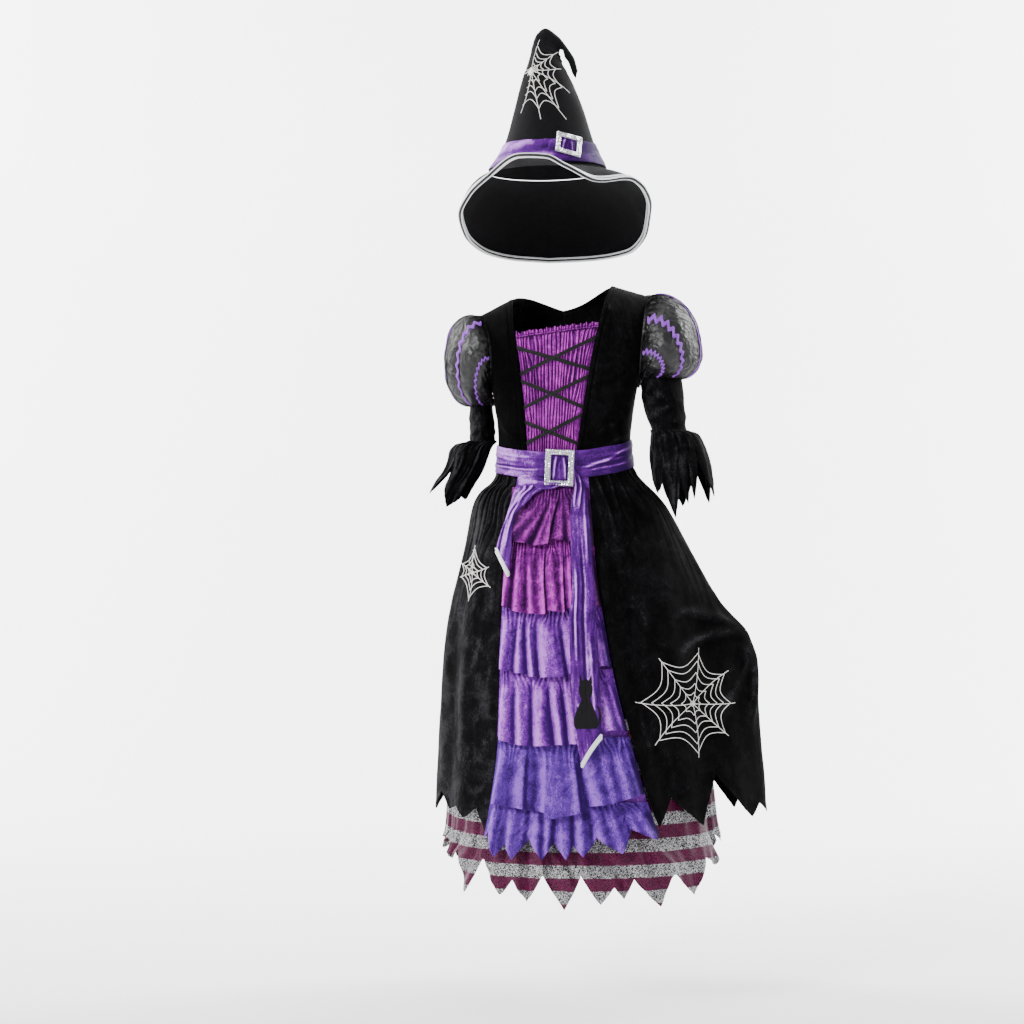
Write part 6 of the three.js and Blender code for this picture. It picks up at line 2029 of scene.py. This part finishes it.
        def patch(
            name: str, left: Callable[[Array], Array], right: Callable[[Array], Array], low: float,
            high: float
        ) -> bpy.types.Object:
            """A flat patch between two edges."""
            u, v = np.meshgrid(steps(20), steps(48), indexing="ij")
            z = mix(low, high, v)
            points, out, _ = on_tail(mix(left(z), right(z), u), z)
            edge = 0.75 * np.sqrt(np.clip(1 - (2 * u - 1) ** 8, 0, 1))[..., None] * np.ones_like(points)
            return shell(name, points + out * (0.15 + edge), points - out * 0.1,
                np.stack([u * 34, v * 70], -1), False)

        body = patch("cat_body", lambda z: side("left", z), lambda z: side("right", z), -628, -560)
        ears = []
        for n, (x, tip) in enumerate(((20.6, 18.6), (33.2, 35.2))):
            ears.append(patch(
                f"cat_ear_{n}", lambda z, x=x, tip=tip: mix(x - 3.4, tip, (z + 566) / 13), lambda z, x=x,
                tip=tip: mix(x + 3.4, tip, (z + 566) / 13),
                -566, -553.2,
            ))
        t = steps(40)
        x = 41.5 + 6.5 * np.sin(2.9 * t)
        z = -610 - 13 * np.cos(2.9 * t)
        points, out, _ = on_tail(x, z)
        swell = (1 - 0.35 * t)[:, None, None]
        return joined("cat_applique",
            [body, *ears, tube("cat_tail", points, out, circle(1.9, 8, 0.5, 0.2)[None] * swell, 9)])


# The skirts.


@dataclass
class Ruffle:
    """One tier of the gore: a gathered flounce with listed folds.

    folds hold, for each, its place at the seam, its place at the hem and its width, all as shares of the
    tier, its height, and how wide its left side is beside its right one. hem holds the hem's height across
    the tier.
    """

    index: int
    top: float
    flare: float
    past: float
    hem: tuple[tuple[float, float], ...]
    folds: tuple[tuple[float, float, float, float, float], ...]
    finish: str
    slot: str
    jagged: bool = False

    def build(self) -> bpy.types.Object:
        """The tier."""
        hem = np.array(self.hem, float)
        edge = Table("z", self.hem)
        noise = Crumple(60 + self.index)

        def place(u: Array, v: Array) -> tuple[Array, Array]:
            """Between the gore's edges, from the hem to the seam."""
            low = petals(hem, u, 0.9) + 0.5 * noise(u * 40, u * 0) if self.jagged else edge("z",
                u) + 0.6 * noise(u * 22, u * 0)
            z = mix(low, self.top, v)
            start = gore_angle(RIGHT, z) - self.past / FORM("front", z)
            end = gore_angle(LEFT, z) - 3 * seam_angle(z)
            sway = 0.006 * noise(u * 9, v * 2 + 7) * ease(np.minimum(u, 1 - u) / 0.1)
            return mix(start, end, u + sway), z

        def lift(u: Array, v: Array) -> Array:
            """The tier leaves the gore, and its folds open towards the hem."""
            drop = 1 - v
            grow = ease(drop / 0.5)
            swell = 0
            for top, low, wide, high, steep in self.folds:
                off = (u - mix(top, low, drop)) / wide
                swell = swell + high * grow * np.exp(-np.where(off > 0, off / steep, off) ** 2)
            gather = 0.8 * np.sin(2 * np.pi * (23 * u + 1.1 * noise(u * 12, v * 3))) * np.exp(-drop
                / 0.22) * ease(drop / 0.04)
            soft = 0.55 * noise.layered(u * 11, v * 6, 3)
            ends = ease(np.minimum(u, 1 - u) / 0.05)
            stand = (self.flare * 0.66) * ease(drop * 1.05) + 0.6
            return 2.1 + np.maximum(ends * (stand + swell * (0.4 + 0.6 * drop) + gather + soft),
                0) * mix(0.55, 1, ends)

        return Panel(
            f"ruffle_{self.index}_cloth", form_point, place, steps(190), steps(40), lift=lift, thick=1.2,
            chart=lambda u, v: (u * 210, v * 105),
        ).build()


@dataclass
class Skirt:
    """The skirts: the black overskirt, the gore with its six tiers, and the glitter underskirt."""

    hem: tuple[tuple[float, float], ...] = (
        (32, -766), (41, -725), (51.5, -770), (61, -697), (66, -738), (71, -766), (76, -746), (82, -763),
        (90, -715),
        (94, -698), (106, -768), (118, -704), (131, -766), (143, -700), (155, -770), (168, -706), (181, -764),
        (193, -699), (206, -770), (218, -705), (230, -766), (243, -700), (257, -768), (270, -722),
        (279, -686),
        (294, -752), (300, -744), (306, -760), (311, -742), (318, -778),
    )
    under_hem: tuple[tuple[float, float], ...] = (
        (-90, -806), (-77, -792), (-64, -823), (-57, -806), (-48.7, -866), (-41.4, -812), (-33, -864),
        (-28, -840),
        (-22.4, -871), (-16.5, -831), (-8.4, -881), (-2.3, -832), (5, -874), (10, -848), (14, -866),
        (18, -838),
        (27.4, -879), (34, -833), (43, -867), (51, -815), (60, -832), (68, -776), (77, -799), (90, -780),
        (99, -815),
        (107, -786), (116, -842), (124, -806), (133, -860), (141, -822), (150, -872), (158, -826),
        (167, -870),
        (175, -824), (184, -874), (192, -828), (201, -868), (209, -822), (218, -870), (226, -818),
        (236, -852),
        (245, -802), (255, -828), (263, -786), (270, -806),
    )
    folds: tuple[tuple[float, float, float, float, float], ...] = (
        (-52, 6, 6, -285, -560), (-74, 7, 8, -280, -520), (44, 5, 4, -300, -620), (62, 6, 7, -500, -720),
        (108, 8, 15, -300, -640), (127, 8, 10, -285, -560), (146, 8, 17, -290, -680), (164, 7, 9, -280, -600),
        (182, 8, 17, -285, -660), (200, 7, 9, -290, -560), (218, 8, 16, -285, -640), (236, 7, 10, -280, -600),
        (256, 8, 11, -300, -660),
    )
    creases: tuple[Crease, ...] = (
        Crease(0, -496, -34, -650, 9, 5.5, 5, 1.5), Crease(-6, -500, -92, -650, 8, 5, 9, 1.5),
        Crease(-8, -496, -134, -548, 8, 5, -12, 1.6),
        Crease(-10, -488, -120, -470, 8, 3.6, -9, 1.5), Crease(6, -500, 34, -660, 9, 5.5, -4, 1.5),
        Crease(10, -498, 84, -610, 9, 4.6, -8, 1.5),
        Crease(-4, -478, -40, -340, 10, 3.2, 5), Crease(8, -476, 40, -350, 10, 3.4, -5),
        Crease(-16, -520, -60, -600, 5, -3, 4),
        Crease(12, -520, 52, -600, 5, -3, -3),
    )
    net_stand: Table = field(default_factory=lambda: Table(
        "lift", [(-640, -4.4), (-700, -7), (-780, -8), (-840, 0), (-890, 4)],
    ))
    grip: float = 82.0
    noise: Crumple = field(default_factory=lambda: Crumple(51, 36, 64))

    def point(self, phi: Array, z: Array) -> Array:
        """The overskirt's surface: the form, the corner drawn out to the side, and its broad folds."""
        p = form_point(phi, z)
        degrees = np.degrees(phi)
        spread = Table("wide", [(-900, 24), (-620, 19), (-505, 15), (-400, 26), (-280, 36)])("wide", z)
        pull = FORM("pull", z) * bell(apart(degrees, self.grip) / spread)
        swell = flat(phi, z)
        for at, wide, deep, start, full in self.folds:
            swell = swell + deep * ease((start - z) / (start - full)) * bell(apart(degrees, at) / wide)
        edge = np.degrees(gore_angle(LEFT, z))
        lap = 8 * ease((-330 - z) / 100) * bell(apart(degrees, edge) / 5) * (degrees > edge - 1)
        swell = swell + lap
        return p + xyz(pull + np.sin(phi) * swell, -np.cos(phi) * swell, flat(phi, z))

    def relief(self, phi: Array, z: Array) -> Array:
        """Gathers under the belt, creases that spread from the held corner, and soft unevenness.

        Across, the creases are placed in millimetres round the skirt from the held corner.
        """
        degrees = np.mod(np.degrees(phi), 360)
        down = (WAIST - z) / 500
        turn = degrees / 10
        phase = 2 * np.pi * (58 * degrees / 360 + 1.0 * self.noise(turn, down * 7))
        gather = (0.6 * np.sin(phase) + 0.4 * np.sin(1.9 * phase + 1)) * (0.7 + 0.5
            * self.noise(turn * 1.0 + 5, down * 0))
        gather = 1.7 * gather * ease(down / 0.03) * (np.exp(-down / 0.17) + 0.16 * np.exp(-down / 0.6))
        held = relief(self.creases, apart(degrees, self.grip) * 3.3, z)
        soft = 1.3 * self.noise.layered(turn, down * 5 + 2, 3) * ease(down / 0.2)
        flutter = 3.2 * self.noise(turn * 1.0 + 9, down * 3) * ease((down - 0.6) / 0.4)
        return gather + held + soft + flutter

    def overskirt(self) -> bpy.types.Object:
        """The overskirt in one sheet, from the gore's left edge round the back to its right edge."""
        hem = np.array(self.hem, float)
        first, last = hem[0, 0], hem[-1, 0]

        def place(u: Array, v: Array) -> tuple[Array, Array]:
            """The turn follows the gore's edges at both ends."""
            at = mix(first, last, u)
            z = mix(petals(hem, at, 0.8) + 0.7 * self.noise(at * 1.2, at * 0), WAIST - SEAM, v)
            start = np.degrees(gore_angle(LEFT, z) + seam_angle(z))
            end = 360 + np.degrees(gore_angle(RIGHT, z) - seam_angle(z))
            near = mix(start, 90, (at - first) / (90 - first))
            far = mix(270, end, (at - 270) / (last - 270))
            return np.radians(np.where(at < 90, near, np.where(at > 270, far, at))), z

        def lift(u: Array, v: Array) -> Array:
            """The relief, still at the two front edges and turned up along the hem."""
            phi, z = place(u, v)
            still = ease(np.minimum(u, 1 - u) / 0.02)
            hem_edge = 0.5 * ease((0.02 - v) / 0.008)
            return self.relief(phi, z) * (0.25 + 0.75 * still) + hem_edge

        return Panel(
            "overskirt_cloth", self.point, place, steps(470),
            np.concatenate([[0, 0.008], np.linspace(0.02, 1, 100)]),
            lift=lift, chart=lambda u, v: (u * 1150, v * 510),
        ).build()

    def gore(self) -> bpy.types.Object:
        """The gore that carries the tiers."""

        def place(u: Array, v: Array) -> tuple[Array, Array]:
            """Between its edges, from its hem to the waist."""
            z = mix(-750, WAIST - SEAM, v)
            return mix(gore_angle(RIGHT, z) + seam_angle(z), gore_angle(LEFT, z) - seam_angle(z), u), z

        return Panel(
            "skirt_gore_cloth", form_point, place, steps(40), steps(60), lift=lambda u, v: flat(u, v) - 1.8,
            chart=lambda u, v: (u * 200, v * 510),
        ).build()

    def tiers(self) -> list[Ruffle]:
        """The six tiers from the top down."""
        return [
            Ruffle(1, -284, 14, 3, (
                (0, -357.5), (0.1, -365.5), (0.23, -368.5), (0.36, -370.6), (0.497, -370.6), (0.506, -361.8),
                (0.6, -363),
                (0.7, -364.6), (0.85, -366), (1, -368)),
                ((0.5, 0.04, 0.05, 4.0, 1), (0.56, 0.22, 0.075, 5.5, 0.8), (0.6, 0.36, 0.03, 2.0, 1),
                    (0.63, 0.485, 0.08, 6.5, 0.12),
                 (0.66, 0.63, 0.05, 4.5, 0.8), (0.7, 0.76, 0.04, 4.5, 0.5), (0.8, 0.9, 0.05, 4.5, 1),
                 (0.57, 0.3, 0.03, -3.0, 1)),
                "MAGENTA_SHADE", "magenta_velvet"),
            Ruffle(2, -358, 15, 6, (
                (0, -454.5), (0.12, -460), (0.137, -462.6), (0.31, -466.7), (0.464, -467.6), (0.473, -463.4),
                (0.64, -465.1),
                (0.66, -459.3), (0.8, -461), (1, -454)),
                ((0.09, 0.07, 0.05, 5.0, 0.8), (0.2, 0.2, 0.06, 5.5, 1), (0.3, 0.33, 0.05, 4.5, 0.8),
                    (0.45, 0.455, 0.05, 6.0, 0.12),
                 (0.53, 0.56, 0.06, 5.0, 0.8), (0.66, 0.635, 0.03, 4.0, 0.2), (0.74, 0.71, 0.03, 5.0, 0.8),
                 (0.86, 0.88, 0.06, 5.0, 0.8),
                 (0.14, 0.135, 0.02, -3.5, 1), (0.27, 0.28, 0.025, -3.0, 1)), "MAGENTA", "magenta_velvet"),
            Ruffle(3, -455, 15, 5, (
                (0, -542.2), (0.05, -545.5), (0.17, -549.5), (0.276, -552), (0.283, -554.6), (0.45, -555.8),
                (0.6, -555.3),
                (0.62, -551), (0.8, -546), (0.93, -540), (1, -541)),
                ((0.08, 0.07, 0.055, 5.5, 0.8), (0.2, 0.215, 0.04, 4.5, 0.8), (0.27, 0.325, 0.03, 6.0, 0.9),
                    (0.42, 0.43, 0.05, 3.5, 1),
                 (0.46, 0.53, 0.09, 6.0, 0.6), (0.68, 0.68, 0.05, 4.5, 0.8), (0.8, 0.81, 0.05, 5.0, 0.8),
                 (0.9, 0.92, 0.04, 5.0, 0.6),
                 (0.17, 0.16, 0.022, -4.0, 1), (0.25, 0.275, 0.02, -5.0, 1), (0.35, 0.37, 0.02, -4.0, 1),
                 (0.58, 0.61, 0.02, -4.0, 1)),
                "PURPLE", "purple_velvet"),
            Ruffle(4, -543, 15, 3, (
                (0, -640.3), (0.05, -645.2), (0.165, -650), (0.3, -652.6), (0.38, -652.2), (0.43, -650.4),
                (0.5, -650), (0.6, -648.5),
                (0.75, -641), (0.85, -631), (0.95, -629.5), (1, -632)),
                ((0.07, 0.08, 0.06, 5.0, 0.8), (0.19, 0.2, 0.035, 6.0, 1), (0.25, 0.235, 0.03, 2.5, 1),
                    (0.36, 0.36, 0.05, 6.5, 0.9),
                 (0.48, 0.49, 0.035, 6.0, 0.9), (0.6, 0.6, 0.04, 4.5, 0.8), (0.73, 0.74, 0.05, 5.0, 0.8),
                 (0.88, 0.88, 0.045, 5.5, 0.8),
                 (0.14, 0.155, 0.02, -3.5, 1), (0.29, 0.285, 0.02, -5.0, 1), (0.42, 0.435, 0.02, -5.5, 1),
                 (0.54, 0.545, 0.02, -5.0, 1)),
                "PURPLE", "purple_velvet"),
            Ruffle(5, -639, 15, 2, (
                (0, -730.6), (0.057, -735.6), (0.164, -738.9), (0.257, -741.3), (0.36, -745.4), (0.368, -749),
                (0.392, -753.6),
                (0.45, -751.2), (0.556, -746.2), (0.606, -744.6), (0.617, -737.2), (0.734, -733.9),
                (0.877, -725.7), (1, -719)),
                ((0.06, 0.06, 0.05, 5.0, 0.8), (0.22, 0.235, 0.045, 5.0, 0.3), (0.36, 0.37, 0.03, 4.5, 3.5),
                    (0.43, 0.47, 0.07, 3.0, 1),
                 (0.55, 0.575, 0.05, 6.0, 0.25), (0.68, 0.7, 0.045, 5.5, 0.9), (0.79, 0.79, 0.04, 4.0, 0.8),
                 (0.9, 0.88, 0.045, 5.5, 0.8),
                 (0.3, 0.31, 0.03, -4.0, 1), (0.6, 0.628, 0.02, -5.0, 1), (0.14, 0.15, 0.03, -2.5, 1)),
                 "VIOLET", "violet_velvet"),
            Ruffle(6, -731, 12, 2, (
                (0, -786), (0.04, -772), (0.1, -811), (0.15, -789), (0.2, -812), (0.28, -782), (0.35, -812),
                (0.41, -786), (0.47, -811),
                (0.51, -790), (0.56, -808), (0.64, -780), (0.75, -803), (0.84, -768), (0.96, -786),
                (1, -776)),
                ((0.07, 0.085, 0.03, 5.5, 0.9), (0.18, 0.19, 0.035, 5.5, 0.9), (0.31, 0.33, 0.03, 5.5, 0.8),
                    (0.37, 0.38, 0.02, 3.5, 1),
                 (0.47, 0.47, 0.03, 5.0, 0.9), (0.57, 0.56, 0.03, 5.5, 0.8), (0.67, 0.68, 0.03, 4.0, 1),
                 (0.75, 0.76, 0.035, 5.0, 0.8),
                 (0.92, 0.95, 0.035, 5.5, 0.9), (0.13, 0.145, 0.018, -3.5, 1), (0.26, 0.27, 0.018, -4.0, 1),
                 (0.42, 0.415, 0.018, -4.0, 1),
                 (0.53, 0.52, 0.016, -3.5, 1), (0.63, 0.625, 0.018, -3.5, 1), (0.83, 0.84, 0.02, -3.5, 1)),
                 "VIOLET", "violet_velvet", True),
        ]

    def underskirt(self) -> bpy.types.Object:
        """The underskirt in one sheet, with waves that deepen towards its petals."""
        hem = np.array(self.under_hem, float)

        def place(u: Array, v: Array) -> tuple[Array, Array]:
            """All the way round, from the petals to the seam."""
            at = mix(-90.0, 270.0, u)
            ragged = 0.8 * self.noise(u * 36 * 6, u * 0)
            return np.radians(at), mix(petals(hem, at, 0.85) + ragged, -640, v)

        def lift(u: Array, v: Array) -> Array:
            """Waves round the skirt whose phase wanders, and petals that turn a little in or out."""
            z = place(u, v)[1]
            drop = np.clip((-640 - z) / 240, 0, 1)
            phase = 2 * np.pi * (23 * u + 0.9 * self.noise(u * 36, drop * 2 + 4))
            wave = (0.7 * np.sin(phase) + 0.3 * np.sin(2.1 * phase)) * mix(0.8, 6.0, drop)
            curl = 4.0 * self.noise(u * 36 * 1.0 + 3, drop * 2) * ease((drop - 0.6) / 0.4)
            return self.net_stand("lift", z) - MESH + wave + curl * 0.8 - 6.0 * ease(1 - drop / 0.45)

        return Panel(
            "underskirt_net", form_point, place, steps(640), steps(44), wrap=True, lift=lift, thick=0.8,
            chart=lambda u, v: (u * 1400, -640 - place(u, v)[1]),
        ).build()

    def cover(self, x: Array, z: Array, start: float) -> tuple[Array, Array]:
        """The overskirt's outer face and its way out at x and z of the front view."""

        def face(phi: Array, height: Array) -> Array:
            """The outer face."""
            return self.point(phi, height) + normal(self.point, phi,
                height) * (self.relief(phi, height) + VELVET)[..., None]

        phi, height = locate(face, x, z, start, float(np.mean(z)))
        return face(phi, height) + normal(self.point, phi, height) * 0.15, normal(face, phi, height)

    def webs(self) -> list[bpy.types.Object]:
        """The two webs worked on the overskirt's fronts."""
        large = Web(184, -596,
            ((-84, 78), (-42, 74), (-2, 66), (38, 72), (82, 80), (127, 84), (176, 86), (-136, 80)),
            (0.2, 0.38, 0.56, 0.74, 0.9), hub=3.4)
        small = Web(-136, -407, ((-98, 42), (-38, 34), (20, 26), (84, 40), (142, 22), (202, 20)),
            (0.34, 0.62, 0.88), hub=2.2, half=0.55)
        return [large.build("web_large", lambda x, z: self.cover(x, z, 0.9)),
            small.build("web_small", lambda x, z: self.cover(x, z, -1.0))]

    def build(self) -> None:
        """Makes and dresses the skirts."""
        over = ["overskirt_front_left", "overskirt_back", "overskirt_front_right"]
        dress(self.overskirt(), over, "black_velvet", Finish.BLACK_VELVET,
            Cut(1300, 510, Held.HUNG, ("belt_band_cloth",), 560000))
        dress(self.gore(), ["skirt_gore"], "purple_velvet", Finish.PURPLE,
            Cut(220, 510, Held.HUNG, ("overskirt_cloth",), 85000))
        cuts = ((190, 90), (210, 112), (220, 104), (245, 112), (270, 108), (275, 72))
        for tier in self.tiers():
            dress(tier.build(), [f"ruffle_{tier.index}"], tier.slot, Finish[tier.finish],
                Cut(*cuts[tier.index - 1], Held.GATHERED, ("skirt_gore_cloth",)))
        dress(self.underskirt(), ["underskirt_front", "underskirt_back"], "glitter_net", Finish.NET,
            Cut(1750, 245, Held.HUNG, ("overskirt_cloth",), 300000))
        for web in self.webs():
            dress(web, [], "silver_braid", Finish.THREAD)


# The studio.


@dataclass
class Studio:
    """The camera of the photograph, a plain pale floor that curves up behind, and soft lamps."""

    eye: tuple[float, float, float] = (-0.078, -3.6, -0.318)
    lens: float = 84.375
    floor_height: float = -1.04

    def camera(self) -> None:
        """A level camera at the photograph's place."""
        data = bpy.data.cameras.new("camera")
        data.lens = self.lens
        data.sensor_width = 36
        data.clip_end = 60
        camera = bpy.data.objects.new("camera", data)
        camera.location = self.eye
        camera.rotation_euler = (math.pi / 2, 0, 0)
        bpy.context.scene.collection.objects.link(camera)
        bpy.context.scene.camera = camera

    def lamp(
        self, name: str, place: tuple[float, float, float], aim: tuple[float, float, float], size: float,
        watts: float
    ) -> None:
        """A square soft lamp that faces its aim."""
        data = bpy.data.lights.new(name, "AREA")
        data.energy = watts
        data.size = size
        lamp = bpy.data.objects.new(name, data)
        lamp.location = place
        lamp.rotation_euler = (Vector(aim) - Vector(place)).to_track_quat("-Z", "Y").to_euler()
        bpy.context.scene.collection.objects.link(lamp)

    def floor(self) -> bpy.types.Object:
        """The floor: level, then a quarter circle up into a wall behind."""
        u, v = np.meshgrid(steps(24), steps(60), indexing="ij")
        run = v * 14000 - 6000
        bend = np.clip((run - 2200) / 2600, 0, 1)
        y = np.minimum(run, 2200) + 1650 * np.sin(bend * np.pi / 2)
        z = self.floor_height / MM + 1650 * (1 - np.cos(bend * np.pi / 2)) + np.maximum(run - 4800, 0)
        points = xyz((u - 0.5) * 14000, y, z).reshape(-1, 3)
        i, k = (g.ravel() for g in np.meshgrid(np.arange(24), np.arange(60), indexing="ij"))
        faces = np.stack([i * 61 + k, (i + 1) * 61 + k, (i + 1) * 61 + k + 1, i * 61 + k + 1], -1)
        floor = mesh_object("floor", points, faces, None, 180)
        floor.data.materials.append(Backdrop("backdrop").material())
        return floor

    def world(self) -> None:
        """An even pale sky."""
        world = bpy.data.worlds.new("studio")
        world.use_nodes = True
        background = world.node_tree.nodes["Background"]
        background.inputs["Color"].default_value = (0.9, 0.93, 1.0, 1)
        background.inputs["Strength"].default_value = 0.5
        bpy.context.scene.world = world

    def build(self) -> None:
        """Makes the studio."""
        self.camera()
        self.world()
        self.lamp("key", (-2.3, -2.7, 1.5), (0.0, 0.0, -0.35), 1.2, 210)
        self.lamp("fill", (2.4, -3.0, 0.2), (0.0, 0.0, -0.4), 2.2, 40)
        self.lamp("rim", (1.8, 2.2, 1.6), (0.0, 0.0, -0.2), 1.4, 60)
        self.lamp("top", (0.0, -0.4, 3.0), (0.0, 0.0, -0.3), 2.2, 50)
        self.lamp("backdrop_left", (-3.2, 1.6, 1.6), (-0.6, 4.2, 0.6), 2.4, 560)
        self.lamp("backdrop_right", (3.2, 1.6, 1.6), (0.6, 4.2, 0.6), 2.4, 560)
        self.floor()


ARMS = (
    Arm(
        LEFT,
        ((-118, 145, -2, 34, 37), (-140, 148, -4, 34, 37), (-165, 150.5, -6, 33, 35),
            (-196, 157.5, -11, 29, 32),
         (-201, 165, -12, 35, 37), (-209, 167.5, -12, 38.5, 40), (-226, 171, -14, 43, 44),
         (-258, 175.5, -17, 47, 46),
         (-290, 177.5, -19, 48, 46), (-335, 180, -21, 47, 45)),
        -118, -196, (64, 25), (57, 10), 30, (106, 70, 18, -36, -88),
        ((-102, -248), (-60, -290), (-42, -274), (-20, -327), (-8, -268), (4, -307), (10, -262), (16, -300),
            (30, -238),
         (62, -295), (95, -245), (125, -305), (150, -250), (178, -310), (205, -255), (232, -272),
         (258, -248)),
        71,
    ),
    Arm(
        RIGHT,
        ((-158, -124.5, 22, 19.5, 33), (-185, -123, 21, 21.5, 33), (-211, -122.5, 18, 22, 31),
            (-217, -135, 12, 29, 33),
         (-226, -141, 8, 30.5, 34), (-240, -145.5, 2, 29.5, 33), (-254, -151, -4, 29.5, 32),
         (-284, -170, -16, 31, 32),
         (-325, -186, -30, 32, 32)),
        -158, -211, (62, 17), (50, 2), 24, (103, 58, 8, -45, -95),
        ((-100, -258), (-84, -284), (-38, -248), (10, -311), (45, -294), (62, -299), (100, -262), (130, -288),
            (160, -255),
         (190, -295), (218, -250), (245, -290), (260, -258)),
        72,
    ),
)


def main() -> None:
    """Builds the costume piece by piece, then the studio."""
    logging.basicConfig(level=logging.INFO, format="%(message)s")
    for part in (Bodice(), *ARMS, Belt(), Skirt(), Hat(), Studio()):
        part.build()
        LOG.info("%s done", type(part).__name__)


if __name__ == "__main__":
    main()
